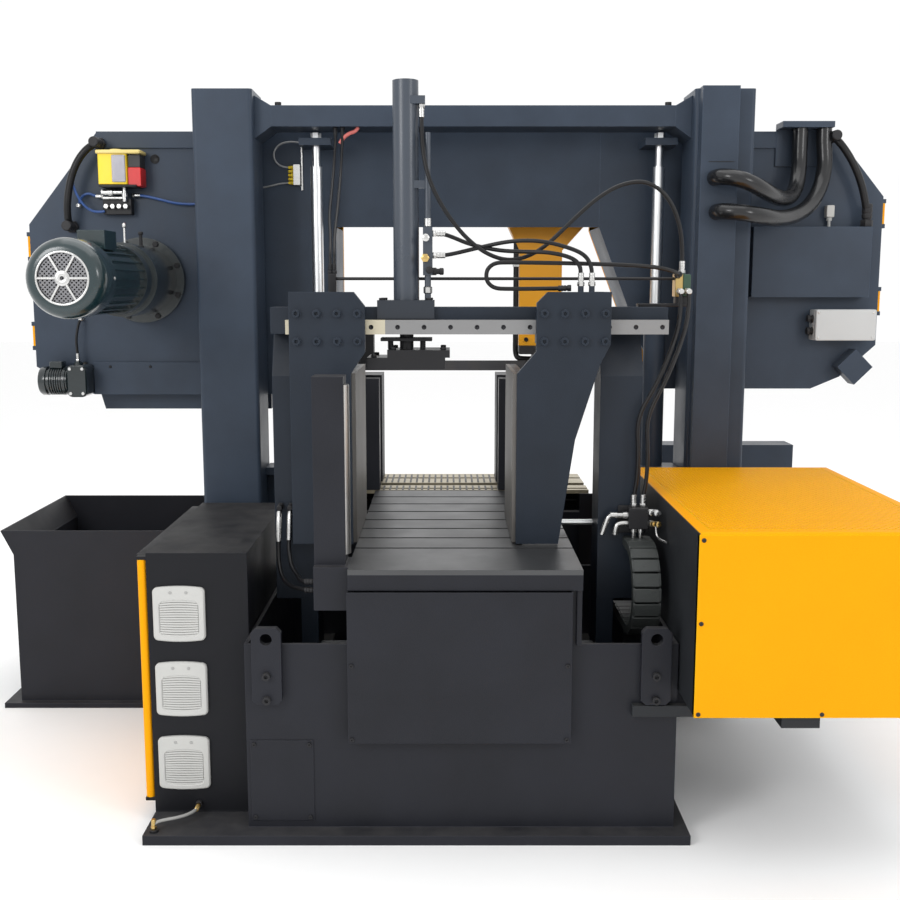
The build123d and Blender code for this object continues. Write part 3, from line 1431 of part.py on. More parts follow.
def gearbox():
    """Gear unit on the bow's back plate, with its flange and the adapter to the motor."""
    face = BOW_Y
    neck = face - GEAR_FLANGE_THICK
    end = face - GEAR_LENGTH
    front = end - ADAPTER_LENGTH
    profile = [
        (0, face),
        (GEAR_FLANGE, face),
        (GEAR_FLANGE, neck),
        (GEAR_RADIUS, neck),
        (GEAR_RADIUS, end),
        (ADAPTER_RADIUS, end),
        (ADAPTER_RADIUS, front),
        (0, front),
    ]
    body = turned_y(profile, DRIVE_X, WHEEL_Z)
    return body - rod((DRIVE_X, face, WHEEL_Z), (0, -1, 0), GEAR_FLANGE_THICK, AXLE_RADIUS + SHAFT_FIT)


def motor_y():
    """Places along Y of the motor's front and rear ends."""
    rear = BOW_Y - GEAR_LENGTH - ADAPTER_LENGTH
    return (rear - MOTOR_LENGTH, rear)


def drive_motor():
    """Finned motor with a terminal box on top and a bore for its fan shaft."""
    front, rear = motor_y()
    body = rod((DRIVE_X, front, WHEEL_Z), (0, 1, 0), MOTOR_LENGTH, MOTOR_RADIUS)
    fin_y = (front + COWL_LAP + SLIDE_GAP, rear - COWL_LAP)
    fin = block((MOTOR_RADIUS - MOTOR_FIN, MOTOR_RADIUS + MOTOR_FIN / 2), fin_y, about(0, MOTOR_FIN_THICK))
    place = Pos(DRIVE_X, 0, WHEEL_Z)
    fins = [place * Rot(0, 360 / MOTOR_FIN_COUNT * number, 0) * fin for number in range(MOTOR_FIN_COUNT)]
    box_y = (front + TERMINAL_SETBACK, front + TERMINAL_SETBACK + TERMINAL_DEPTH)
    box_z = (WHEEL_Z + MOTOR_RADIUS - MOTOR_FIN, WHEEL_Z + MOTOR_RADIUS + TERMINAL_HEIGHT)
    terminal = block(about(DRIVE_X + TERMINAL_SHIFT, TERMINAL_WIDTH), box_y, box_z)
    whole = body.fuse(*fins, terminal)
    return whole - rod((DRIVE_X, front, WHEEL_Z), (0, 1, 0), COWL_LAP, FAN_SHAFT + SHAFT_FIT)


def cowl_front():
    """Place along Y of the fan cowl's front face."""
    return motor_y()[0] - COWL_LENGTH + COWL_LAP


def fan_cowl():
    """Fan cowl with a grille of six spokes between a hub and a ring."""
    front = cowl_front()
    back = front + COWL_LENGTH
    inner = COWL_RADIUS - COWL_WALL
    cup = tube((DRIVE_X, front, WHEEL_Z), (0, 1, 0), COWL_LENGTH, COWL_RADIUS, inner)
    seat = tube((DRIVE_X, back - COWL_LAP, WHEEL_Z), (0, 1, 0), COWL_LAP, inner, MOTOR_RADIUS)
    ring = tube((DRIVE_X, front, WHEEL_Z), (0, 1, 0), COWL_WALL, inner, inner - COWL_RING)
    hub = rod((DRIVE_X, front, WHEEL_Z), (0, 1, 0), COWL_WALL, COWL_HUB)
    place = Pos(DRIVE_X, 0, WHEEL_Z)
    spoke = block((0, inner - COWL_RING / 2), (front, front + COWL_WALL), about(0, COWL_SPOKE_WIDTH))
    spokes = [place * Rot(0, 360 / COWL_SPOKES * number, 0) * spoke for number in range(COWL_SPOKES)]
    return cup.fuse(seat, ring, hub, *spokes)


def motor_fan():
    """Fan in the cowl: a hub with straight blades on the motor's shaft."""
    middle = (cowl_front() + COWL_WALL + motor_y()[0]) / 2
    y = about(middle, FAN_WIDTH)
    hub = rod((DRIVE_X, y[0], WHEEL_Z), (0, 1, 0), FAN_WIDTH, FAN_HUB)
    blade = block((FAN_HUB / 2, FAN_RADIUS), y, about(0, FAN_BLADE))
    place = Pos(DRIVE_X, 0, WHEEL_Z)
    blades = [place * Rot(0, 360 / FAN_BLADES * number, 0) * blade for number in range(FAN_BLADES)]
    shaft_end = motor_y()[0] + COWL_LAP - PART_GAP
    shaft = rod((DRIVE_X, y[0], WHEEL_Z), (0, 1, 0), shaft_end - y[0], FAN_SHAFT)
    return hub.fuse(shaft, *blades)


def wheel_profile(bore):
    """Half section of a band wheel as (radius, y) corners."""
    tread = WHEEL_RADIUS - PART_GAP
    rim_y = about(BAND_Y, WHEEL_WIDTH)
    web_y = about(BAND_Y, WHEEL_WEB)
    hub_y = about(BAND_Y, WHEEL_HUB_WIDTH)
    return [
        (bore, hub_y[0]),
        (WHEEL_HUB, hub_y[0]),
        (WHEEL_HUB, web_y[0]),
        (tread - WHEEL_RIM, web_y[0]),
        (tread - WHEEL_RIM, rim_y[0]),
        (tread, rim_y[0]),
        (tread, rim_y[1]),
        (tread - WHEEL_RIM, rim_y[1]),
        (tread - WHEEL_RIM, web_y[1]),
        (WHEEL_HUB, web_y[1]),
        (WHEEL_HUB, hub_y[1]),
        (bore, hub_y[1]),
    ]


def drive_wheel():
    """Drive wheel with its shaft, which reaches into the gear unit's flange."""
    wheel = turned_y(wheel_profile(0), DRIVE_X, WHEEL_Z)
    start = BOW_Y - GEAR_FLANGE_THICK + PART_GAP
    return wheel + rod((DRIVE_X, start, WHEEL_Z), (0, 1, 0), BAND_Y - start, AXLE_RADIUS)


def idler_wheel():
    """Idler wheel, bored to run on the bow's axle."""
    return turned_y(wheel_profile(AXLE_RADIUS + SHAFT_FIT), IDLER_X, WHEEL_Z)


def band_section(x, angle):
    """Section of the lower run; at 0 degrees it lies flat, at 90 it stands on edge."""
    turn = math.radians(angle)
    plane = Plane(origin=(x, BAND_Y, BAND_Z), x_dir=(0, math.cos(turn), math.sin(turn)), z_dir=(1, 0, 0))
    return plane * Rectangle(BAND_WIDTH, BAND_THICK)


def band_wrap(x, side):
    """Half turn of the band round a wheel."""
    outer = WHEEL_RADIUS + BAND_THICK
    y = about(BAND_Y, BAND_WIDTH)
    ring = tube((x, y[0], WHEEL_Z), (0, 1, 0), BAND_WIDTH, outer, WHEEL_RADIUS)
    keep = (min(x, x + side * 2 * outer), max(x, x + side * 2 * outer))
    return ring & block(keep, y, about(WHEEL_Z, 4 * outer))


def saw_band():
    """Band loop: flat on the wheels and along the top, twisted on edge between the guides."""
    left_end = FIXED_GUIDE_X - HEAD_WIDTH
    right_end = GUIDE_X + HEAD_WIDTH
    steps = [90 * step / TWIST_STEPS for step in range(TWIST_STEPS + 1)]
    left_run = loft([band_section(DRIVE_X + (left_end - DRIVE_X) * angle / 90, angle) for angle in steps],
                    ruled=True)
    right_run = loft([band_section(IDLER_X + (right_end - IDLER_X) * angle / 90, angle) for angle in steps],
                     ruled=True)
    cut = block((left_end, right_end), about(BAND_Y, BAND_THICK), about(BAND_Z, BAND_WIDTH))
    top_z = (WHEEL_Z + WHEEL_RADIUS, WHEEL_Z + WHEEL_RADIUS + BAND_THICK)
    top = block((DRIVE_X, IDLER_X), about(BAND_Y, BAND_WIDTH), top_z)
    return top.fuse(band_wrap(DRIVE_X, -1), band_wrap(IDLER_X, 1), left_run, right_run, cut)


def arm_y():
    """Place along Y of the guide arm's centre line, behind the band."""
    return BAND_Y + GUIDE_DEPTH / 2 + BAND_WIDTH / 2


def guide_head(x, top):
    """Guide shoes either side of the band, joined over its back."""
    gap = BAND_THICK / 2 + PART_GAP
    head = block(about(x, HEAD_WIDTH), (BAND_Y - HEAD_SHOE, BAND_Y + HEAD_SHOE), (HEAD_BOTTOM, top))
    slot_top = BAND_Z + BAND_WIDTH / 2 + PART_GAP
    return head - block(about(x, 2 * HEAD_WIDTH), (BAND_Y - gap, BAND_Y + gap), (HEAD_BOTTOM, slot_top))


def guide_arm():
    """Moving guide arm: a flared top under the beam's rail, the arm, and its guide head."""
    top = BOW_FLOOR - GUIDE_RAIL
    low_y = (BAND_Y + BAND_WIDTH / 2, BAND_Y + BAND_WIDTH / 2 + GUIDE_DEPTH)
    left, right = about(GUIDE_X, GUIDE_WIDTH)
    corners = [
        (left - GUIDE_FLARE_LEFT, top),
        (right + GUIDE_FLARE_RIGHT, top),
        (right, WINDOW_TOP - GUIDE_FLARE_DROP),
        (right, GUIDE_BOTTOM),
        (left, GUIDE_BOTTOM),
        (left, WINDOW_TOP - GUIDE_FLARE_DROP),
    ]
    arm = plate_xz(corners, low_y)
    neck_y = (BAND_Y - HEAD_SHOE, low_y[1])
    neck = block(about(GUIDE_X, GUIDE_WIDTH), neck_y, (GUIDE_BOTTOM - HEAD_SHOE, GUIDE_BOTTOM))
    return [arm, neck, guide_head(GUIDE_X, GUIDE_BOTTOM - HEAD_SHOE)]


def guide_arm_fixed():
    """Fixed guide: a bracket from the drive housing's inner wall, and its guide head."""
    head = guide_head(FIXED_GUIDE_X, BAND_DOOR_TOP)
    bracket_x = (-WINDOW_LEFT, FIXED_GUIDE_X + HEAD_WIDTH / 2)
    bracket = block(bracket_x, (BAND_Y - HEAD_SHOE, BAND_Y + HEAD_SHOE), (BAND_DOOR_TOP, FIXED_GUIDE_TOP))
    return head + bracket


def bow_covers():
    """Covers on the bow's infeed face: tension unit, cable shelf, ledge panel, corner bracket."""
    face = BOW_Y
    tension_x = (TENSION_LEFT, TENSION_LEFT + TENSION_WIDTH)
    tension_z = (TENSION_BOTTOM, TENSION_BOTTOM + TENSION_HEIGHT)
    hood_x = (GLAND_HOOD_LEFT, GLAND_HOOD_LEFT + GLAND_HOOD_WIDTH)
    hood_z = (GLAND_HOOD_BOTTOM, GLAND_HOOD_TOP)
    ledge_z = (BOW_LEFT_BOTTOM, BOW_LEFT_BOTTOM + LEDGE_HEIGHT)
    tension = block(tension_x, (face - TENSION_DEPTH, face), tension_z)
    tension -= block((tension_x[0] + SHEET, tension_x[1] - SHEET), (face - TENSION_DEPTH + SHEET, face),
                     (tension_z[0] + SHEET, tension_z[1] - SHEET))
    hood = block(hood_x, (face - GLAND_HOOD_DEPTH, face), hood_z)
    panel_x = (GLAND_HOOD_LEFT, GLAND_HOOD_LEFT + GLAND_PANEL_WIDTH)
    hood += block(panel_x, (face - LEDGE_THICK, face), (BOW_TOP - GLAND_PANEL_DROP, hood_z[0]))
    ledge_left = BRUSH_X + BRUSH_GEAR_WIDTH / 2 + PART_GAP
    ledge = block((ledge_left, -LEDGE_RIGHT), (face - LEDGE_THICK, face), ledge_z)
    corner_z = (BOW_RIGHT_KNEE + BOW_RIGHT_HIP) / 2 - CORNER_BRACKET_DROP
    corner_x = (BOW_RIGHT_KNEE_X + BOW_RIGHT_END) / 2 - CORNER_BRACKET_SHIFT
    turned = Rot(0, 45, 0) * Box(CORNER_BRACKET, TENSION_DEPTH, CORNER_BRACKET)
    bracket = Pos(corner_x, face - TENSION_DEPTH / 2, corner_z) * turned
    return [tension, hood, ledge, bracket]


def junction_box():
    """Junction box with two cable glands on its left side."""
    x = (JUNCTION_LEFT, JUNCTION_LEFT + JUNCTION_WIDTH)
    z = (JUNCTION_BOTTOM, JUNCTION_BOTTOM + JUNCTION_HEIGHT)
    box = block(x, (BOW_Y - JUNCTION_DEPTH, BOW_Y), z)
    for share in JUNCTION_GLANDS:
        height = JUNCTION_BOTTOM + JUNCTION_HEIGHT * share
        box += rod((x[0], BOW_Y - JUNCTION_DEPTH / 2, height), (-1, 0, 0), 2 * GLAND_LENGTH, GLAND)
    return box


def lubricator():
    """Lubricant container with its lid, and the manifold under it."""
    x = (-LUBE_LEFT, -LUBE_LEFT + LUBE_WIDTH)
    z = (LUBE_BOTTOM, LUBE_BOTTOM + LUBE_HEIGHT)
    box = block(x, (BOW_Y - LUBE_DEPTH, BOW_Y), z)
    lid = rod(((x[0] + x[1]) / 2, BOW_Y - LUBE_DEPTH / 2, z[1]), (0, 0, 1), LEAD_LUG, LUBE_DEPTH / 3)
    manifold_z = (LUBE_BOTTOM - MANIFOLD_HEIGHT, LUBE_BOTTOM)
    manifold = block((x[0], x[0] + MANIFOLD_WIDTH), (BOW_Y - MANIFOLD_DEPTH, BOW_Y), manifold_z)
    return [box + lid, manifold]


def brush_motor():
    """Small geared motor that turns the chip brush through the back plate."""
    gear_x = about(BRUSH_X, BRUSH_GEAR_WIDTH)
    gear_y = (BOW_Y - BRUSH_GEAR_DEPTH, BOW_Y)
    gear_top = BRUSH_Z + BRUSH_GEAR_WIDTH / 4
    gear = block(gear_x, gear_y, (gear_top - BRUSH_GEAR_HEIGHT, gear_top))
    gear -= rod((BRUSH_X, BOW_Y, BRUSH_Z), (0, -1, 0), GEAR_FLANGE_THICK, BRUSH_SHAFT + SHAFT_FIT)
    motor_z = gear_top - BRUSH_GEAR_HEIGHT / 2
    motor_start = (gear_x[0], BOW_Y - BRUSH_MOTOR_RADIUS - SLIDE_GAP, motor_z)
    return gear + rod(motor_start, (-1, 0, 0), BRUSH_MOTOR_LENGTH, BRUSH_MOTOR_RADIUS)


def chip_brush():
    """Round wire brush beside the drive wheel, on a shaft from its gear."""
    y = about(BAND_Y, BRUSH_WIDTH)
    start = BOW_Y - GEAR_FLANGE_THICK + PART_GAP
    shaft = rod((BRUSH_X, start, BRUSH_Z), (0, 1, 0), y[1] - start, BRUSH_SHAFT)
    return shaft + rod((BRUSH_X, y[0], BRUSH_Z), (0, 1, 0), BRUSH_WIDTH, BRUSH_RADIUS)


# Main vise

def main_jaw_blocks(face, way):
    """Jaw blocks before and behind the band; way points from the face into the jaw."""
    x = (min(face, face + way * MAIN_JAW_THICK), max(face, face + way * MAIN_JAW_THICK))
    front_y = (BAND_Y - MAIN_JAW_BAND_GAP - MAIN_JAW_FRONT, BAND_Y - MAIN_JAW_BAND_GAP)
    rear_y = (BAND_Y + MAIN_JAW_BAND_GAP, BAND_Y + MAIN_JAW_BAND_GAP + MAIN_JAW_REAR)
    return [block(x, y, (BED_TOP, MAIN_JAW_TOP)) for y in (front_y, rear_y)]


def main_jaw_fixed():
    """Fixed jaw blocks of the main vise."""
    return main_jaw_blocks(MAIN_DATUM_X, -1)


def main_jaw_moving():
    """Moving jaw blocks on a carriage under the slats, pushed by the vise rod."""
    face = MAIN_DATUM_X + MAIN_OPENING
    x = (face, face + MAIN_JAW_THICK)
    front, rear = main_jaw_blocks(face, 1)
    web_z = (carriage_z()[1], BED_TOP)
    front_web, rear_web = web_places()
    web_x = (x[0] + WEB_THICK, x[1] - WEB_THICK)
    carriage = block(x, (front_web - WEB_THICK, rear_web + WEB_THICK), carriage_z())
    drop_x = (x[1] - WEB_THICK, x[1])
    drop = block(drop_x, about(vise_y(), 2 * VISE_BARREL), (VISE_CYLINDER_Z - VISE_BARREL, carriage_z()[0]))
    piston_x = PEDESTAL_RIGHT + VISE_LENGTH - VISE_CAP - FEED_END_PLAY
    shaft = piston_rod((piston_x, vise_y(), VISE_CYLINDER_Z), (-1, 0, 0), piston_x - x[1], VISE_ROD,
                       VISE_PISTON, VISE_BORE)
    webs = [block(web_x, about(place, WEB_THICK), web_z) for place in (front_web, rear_web)]
    return [Pos(0, 0, PART_GAP) * solid for solid in [front, rear, carriage, drop, shaft] + webs]


def base_cylinders():
    """Barrels fixed to the base: the feed cylinder in the tub, the vise cylinder by the pedestal."""
    feed_start = (FEED_CYLINDER_X, TUB_INSIDE_Y[0], FEED_CYLINDER_Z)
    feed = cylinder_barrel(feed_start, (0, 1, 0), feed_barrel_length(), FEED_BARREL, FEED_BORE,
                           FEED_ROD, FEED_CAP, FEED_GLAND)
    vise_start = (PEDESTAL_RIGHT + VISE_LENGTH, vise_y(), VISE_CYLINDER_Z + PART_GAP)
    vise = cylinder_barrel(vise_start, (-1, 0, 0), VISE_LENGTH, VISE_BARREL, VISE_BORE,
                           VISE_ROD, VISE_CAP, VISE_CAP)
    return [feed, vise]


def feed_barrel_length():
    """Length of the feed cylinder's barrel, worked out from its stroke."""
    return FEED_CAP + FEED_STROKE + FEED_PISTON + 2 * FEED_END_PLAY + FEED_GLAND


# Feed shuttle

def feed_yoke_y():
    """Places along Y of the yoke plate that the feed rod pushes."""
    front = TUB_INSIDE_Y[0] + feed_barrel_length() + FEED_END_PLAY
    return (front, front + FEED_YOKE)


def post(x, outer):
    """Box section post, notched at its foot, with a top that leans back; outer is -1 or 1."""
    y = POST_Y
    side = [
        (y[0], POST_NOTCH_TOP),
        (y[1], POST_NOTCH_TOP),
        (y[1], BEAM_BOTTOM),
        (y[0] + POST_FOLD_BACK, BEAM_BOTTOM),
        (y[0], POST_FOLD),
    ]
    body = plate_yz(side, about(x, POST_WIDTH))
    hollow_y = (y[0] + POST_FOLD_BACK + POST_WALL, y[1] - POST_WALL)
    hollow_x = about(x, POST_WIDTH - 2 * POST_WALL)
    body -= block(hollow_x, hollow_y, (POST_NOTCH_TOP + POST_WALL, BEAM_BOTTOM - POST_WALL))
    inner = x - outer * POST_WIDTH / 2
    foot_x = (min(inner, inner + outer * POST_FOOT_WIDTH), max(inner, inner + outer * POST_FOOT_WIDTH))
    return [body, block(foot_x, y, (POST_SEAT, POST_NOTCH_TOP))]


def feed_runner(x):
    """Runner block on a feed rail, under a post's foot."""
    whole = block(about(x, RUNNER_WIDTH), POST_Y, (RAIL_BEAM_TOP + RUNNER_LIFT, POST_SEAT))
    way_z = (RAIL_BEAM_TOP, RAIL_BEAM_TOP + RAIL_HEIGHT + SHAFT_FIT)
    return whole - block(about(x, RAIL_WIDTH + 2 * SHAFT_FIT), POST_Y, way_z)


def shuttle_posts():
    """Both posts with their runner blocks, the lower tie under the bed, its yoke and the feed rod."""
    left_rail, right_rail = feed_rail_places()
    tie_y = (POST_Y[0] + LOWER_TIE_SETBACK, POST_Y[0] + LOWER_TIE_SETBACK + LOWER_TIE_DEPTH)
    tie_z = (LOWER_TIE_BOTTOM, LOWER_TIE_BOTTOM + LOWER_TIE_HEIGHT)
    tie_x = (POST_LEFT_X + POST_WIDTH / 2, POST_RIGHT_X - POST_WIDTH / 2)
    yoke_x = about(FEED_CYLINDER_X, 2 * FEED_BARREL)
    yoke_y = feed_yoke_y()
    yoke = block(yoke_x, (tie_y[1], yoke_y[1]), tie_z)
    yoke += block(yoke_x, yoke_y, (FEED_CYLINDER_Z - FEED_BARREL, tie_z[1]))
    piston_y = TUB_INSIDE_Y[0] + FEED_CAP + FEED_END_PLAY
    shaft = piston_rod((FEED_CYLINDER_X, piston_y, FEED_CYLINDER_Z), (0, 1, 0), yoke_y[0] - piston_y,
                       FEED_ROD, FEED_PISTON, FEED_BORE)
    solids = [feed_runner(left_rail), feed_runner(right_rail), block(tie_x, tie_y, tie_z), yoke, shaft]
    return post(POST_LEFT_X, -1) + post(POST_RIGHT_X, 1) + solids


def crossbeam():
    """Two parallel bars over the posts, with a slot between them for the clamp's rod."""
    post_reach = POST_WIDTH / 2
    left_pack = (BEAM_X[0], POST_LEFT_X + post_reach)
    right_pack = (POST_RIGHT_X - post_reach, BEAM_X[1])
    return [
        block(BEAM_X, (BEAM_Y[0], BEAM_SLOT_Y[0]), BEAM_Z),
        block(BEAM_X, (BEAM_SLOT_Y[1], BEAM_Y[1]), BEAM_Z),
        block(left_pack, BEAM_SLOT_Y, BEAM_Z),
        block(right_pack, BEAM_SLOT_Y, BEAM_Z),
    ]


def clamp_rail():
    """Linear rail along the lower half of the crossbeam's front bar."""
    y = (BEAM_Y[0] - RAIL_HEIGHT, BEAM_Y[0])
    return block((-CLAMP_RAIL_LEFT, CLAMP_RAIL_RIGHT), y, (BEAM_BOTTOM, BEAM_BOTTOM + RAIL_WIDTH))


def jaw_runner(x):
    """Runner block on the crossbeam's rail, behind a jaw plate."""
    middle = BEAM_BOTTOM + RAIL_WIDTH / 2
    y = (JAW_PLATE_Y[1], BEAM_Y[0] - RUNNER_LIFT)
    whole = block(x, y, about(middle, RUNNER_WIDTH))
    way_y = (BEAM_Y[0] - RAIL_HEIGHT - SHAFT_FIT, BEAM_Y[0])
    return whole - block(x, way_y, about(middle, RAIL_WIDTH + 2 * SHAFT_FIT))


def jaw_bolts(left):
    """Two rows of screws that hold a jaw plate to its runner block."""
    middle = BEAM_BOTTOM + RAIL_WIDTH / 2
    heads = []
    for row in (-1, 1):
        for number in range(BOLT_COUNT):
            place = (left + number * BOLT_PITCH, JAW_PLATE_Y[0], middle + row * BOLT_ROW / 2)
            heads.append(bolt_head(place, (0, -1, 0), BOLT_HEAD, BOLT_HEIGHT))
    return heads


def jaw_back(face, way):
    """Upright plate behind a liner, and three ribs from it to the jaw's front plate."""
    start = face + way * JAW_LINER
    end = start + way * JAW_BACK
    x = (min(start, end), max(start, end))
    y = (JAW_PLATE_Y[1], JAW_PLATE_Y[1] + JAW_LENGTH)
    solids = [block(x, y, (BED_TOP + JAW_LIFT, JAW_TOP))]
    span = JAW_TOP - BED_TOP
    for share in RIB_SHARES:
        low = BED_TOP + share * span - JAW_RIB / 2
        corners = [(end, y[0], low), (end + way * JAW_RIB_DEPTH, y[0], low), (end, y[1], low)]
        rib = make_face(Polyline(*corners, close=True))
        solids.append(extrude(rib, amount=JAW_RIB, dir=(0, 0, 1)))
    return solids


def jaw_liner(face, way):
    """Bright steel liner on a jaw's gripping face."""
    end = face + way * JAW_LINER
    y = (JAW_PLATE_Y[1], JAW_PLATE_Y[1] + JAW_LENGTH)
    return block((min(face, end), max(face, end)), y, (BED_TOP + JAW_LIFT, JAW_TOP))


def datum_jaw():
    """Left jaw: front plate with a cut corner, back plate, runner block and screws."""
    left = DATUM_CAP_LEFT
    right = DATUM_CAP_RIGHT
    foot_right = DATUM_X - JAW_LINER
    neck_right = foot_right - JAW_BACK
    low = BED_TOP + JAW_LIFT
    corners = [
        (left, low),
        (foot_right, low),
        (foot_right, JAW_TOP),
        (right, JAW_NECK),
        (right, JAW_CAP_TOP - DATUM_CORNER_DROP),
        (right - DATUM_CORNER, JAW_CAP_TOP),
        (left, JAW_CAP_TOP),
    ]
    plate = plate_xz(corners, JAW_PLATE_Y)
    runner_x = (left, neck_right + 2 * JAW_BACK)
    bolts = jaw_bolts(left + BOLT_HEAD * 2)
    return [plate, jaw_runner(runner_x)] + jaw_back(DATUM_X, -1) + bolts


def clamp_jaw():
    """Right jaw: tapering front plate, back plate, runner block, screws, and the rod's bracket."""
    face = CLAMP_JAW_X
    low = BED_TOP + JAW_LIFT
    corners = [
        (face + JAW_LINER, low),
        (CLAMP_FOOT_RIGHT, low),
        (CLAMP_WAIST_RIGHT, CLAMP_WAIST),
        (CLAMP_HIP_RIGHT, CLAMP_HIP),
        (CLAMP_CAP_RIGHT, CLAMP_SHOULDER),
        (CLAMP_CAP_RIGHT, JAW_CAP_TOP),
        (CLAMP_CAP_LEFT + CLAMP_CORNER, JAW_CAP_TOP),
        (CLAMP_CAP_LEFT, JAW_CAP_TOP - CLAMP_CORNER),
        (CLAMP_CAP_LEFT, JAW_NECK),
        (face + JAW_LINER, JAW_TOP),
    ]
    plate = plate_xz(corners, JAW_PLATE_Y)
    bolts = jaw_bolts(CLAMP_CAP_LEFT + BOLT_HEAD * 2)
    bracket_x = (CLAMP_CAP_RIGHT - BRACKET_THICK, CLAMP_CAP_RIGHT)
    top_z = (SADDLE_TOP, JAW_CAP_TOP)
    over = block(bracket_x, (JAW_PLATE_Y[1], jaw_cylinder_y() + JAW_BARREL), top_z)
    down_z = (jaw_cylinder_z() - JAW_BARREL, top_z[0])
    down = block(bracket_x, about(jaw_cylinder_y(), 2 * JAW_BARREL), down_z)
    piston_x = -JAW_BARREL_LEFT + JAW_BARREL_LENGTH - VISE_CAP - JAW_PISTON - FEED_END_PLAY
    start = (piston_x, jaw_cylinder_y(), jaw_cylinder_z())
    shaft = piston_rod(start, (1, 0, 0), bracket_x[0] - piston_x, JAW_ROD, JAW_PISTON, JAW_BORE)
    fittings = [rod(place, (0, 0, 1), JAW_FITTING_HEIGHT, JAW_FITTING) for place in jaw_fittings()]
    runner = jaw_runner((CLAMP_CAP_LEFT, CLAMP_CAP_RIGHT))
    return [plate, over, down, shaft, runner] + jaw_back(face, 1) + fittings + bolts


def jaw_fittings():
    """Places of the two hose fittings on top of the right jaw's front plate."""
    y = sum(JAW_PLATE_Y) / 2
    return [(JAW_FITTING_X + number * JAW_FITTING_PITCH, y, JAW_CAP_TOP) for number in (0, 1)]


def jaw_cylinder_y():
    """Place along Y of the jaw cylinder's axis, behind the crossbeam."""
    return BEAM_Y[1] + JAW_CYLINDER_BACK


def jaw_cylinder_z():
    """Height of the jaw cylinder's axis."""
    return (BEAM_Z[0] + BEAM_Z[1]) / 2


def jaw_cylinder():
    """Barrel of the right jaw's cylinder, on the rear of the crossbeam."""
    start = (-JAW_BARREL_LEFT, jaw_cylinder_y(), jaw_cylinder_z())
    return cylinder_barrel(start, (1, 0, 0), JAW_BARREL_LENGTH, JAW_BARREL, JAW_BORE, JAW_ROD,
                           VISE_CAP, VISE_CAP)


def clamp_cylinders():
    """Overhead clamp's barrel with its port, saddle and side tube, and the barrel of the right jaw."""
    saddle_x = about(CLAMP_X, SADDLE_WIDTH)
    lip_y = (BEAM_Y[0] - SADDLE_LIP, BEAM_Y[0])
    saddle = block(saddle_x, (lip_y[0], BEAM_Y[1]), (BEAM_Z[1], SADDLE_TOP))
    saddle += block(saddle_x, lip_y, (BEAM_Z[1] - SADDLE_DROP, BEAM_Z[1]))
    saddle -= rod((CLAMP_X, CLAMP_Y, BEAM_Z[1]), (0, 0, 1), SADDLE_THICK, CLAMP_ROD + SHAFT_FIT)
    barrel = cylinder_barrel((CLAMP_X, CLAMP_Y, CLAMP_TOP), (0, 0, -1), CLAMP_TOP - SADDLE_TOP,
                             CLAMP_BARREL, CLAMP_BORE, CLAMP_ROD, CLAMP_CAP, CLAMP_CAP)
    tube_x = CLAMP_X + SIDE_TUBE_X
    tube_y = CLAMP_Y - GUIDE_ROD_SPREAD / 2
    side_tube = rod((tube_x, tube_y, SADDLE_TOP), (0, 0, 1), SIDE_TUBE_TOP - SADDLE_TOP, SIDE_TUBE)
    valve_z = (TUBE_VALVE_BOTTOM, TUBE_VALVE_BOTTOM + TUBE_VALVE_HEIGHT)
    side_tube += block(about(tube_x, TUBE_VALVE_WIDTH), about(tube_y, TUBE_VALVE_WIDTH), valve_z)
    clip_x = (CLAMP_X, tube_x)
    clip = block(clip_x, about(tube_y, SIDE_TUBE), (SIDE_CLIP_Z, SIDE_CLIP_Z + SIDE_CLIP))
    clip -= rod((CLAMP_X, CLAMP_Y, SIDE_CLIP_Z), (0, 0, 1), SIDE_CLIP, CLAMP_BARREL)
    port_x = (CLAMP_X, CLAMP_X + CLAMP_PORT_REACH)
    port = block(port_x, about(tube_y, SIDE_CLIP), (CLAMP_PORT_Z, CLAMP_PORT_Z + SIDE_CLIP))
    port -= rod((CLAMP_X, CLAMP_Y, CLAMP_PORT_Z), (0, 0, 1), SIDE_CLIP, CLAMP_BARREL)
    return [saddle, barrel, side_tube + clip, port, jaw_cylinder()]


def clamp_ram():
    """Clamp rod and guide rods, the collar under the rail, and the two level pressing plates."""
    shoe_y = about(CLAMP_Y, SHOE_DEPTH)
    upper_z = (UPPER_SHOE_TOP - UPPER_SHOE_THICK, UPPER_SHOE_TOP)
    lower_z = (upper_z[0] - LOWER_SHOE_THICK, upper_z[0])
    piston_z = CLAMP_TOP - CLAMP_CAP - FEED_END_PLAY
    shaft = piston_rod((CLAMP_X, CLAMP_Y, piston_z), (0, 0, -1), piston_z - UPPER_SHOE_TOP, CLAMP_ROD,
                       CLAMP_PISTON, CLAMP_BORE)
    collar_y = about(CLAMP_Y, SHOE_DEPTH / 2)
    collar = block(about(CLAMP_X, COLLAR_WIDTH), collar_y, (COLLAR_TOP - COLLAR_THICK, COLLAR_TOP))
    upper = block(about(CLAMP_X + COLLAR_THICK * 4, UPPER_SHOE_WIDTH), shoe_y, upper_z)
    lower = block(about(CLAMP_X, LOWER_SHOE_WIDTH), shoe_y, lower_z)
    collar -= rod((CLAMP_X, CLAMP_Y, UPPER_SHOE_TOP), (0, 0, 1), COLLAR_TOP - UPPER_SHOE_TOP, CLAMP_ROD)
    solids = [shaft, collar, upper, lower]
    for side in (-1, 1):
        place = (CLAMP_X + side * GUIDE_ROD_SPREAD, CLAMP_Y, UPPER_SHOE_TOP)
        solids.append(rod(place, (0, 0, 1), COLLAR_TOP - COLLAR_THICK - UPPER_SHOE_TOP, GUIDE_ROD))
    return solids


def valve_x():
    """Places along X of the valve block's sides; it overhangs the right post."""
    right = POST_RIGHT_X + POST_WIDTH / 2 + VALVE_OVERHANG
    return (right - VALVE_WIDTH, right)


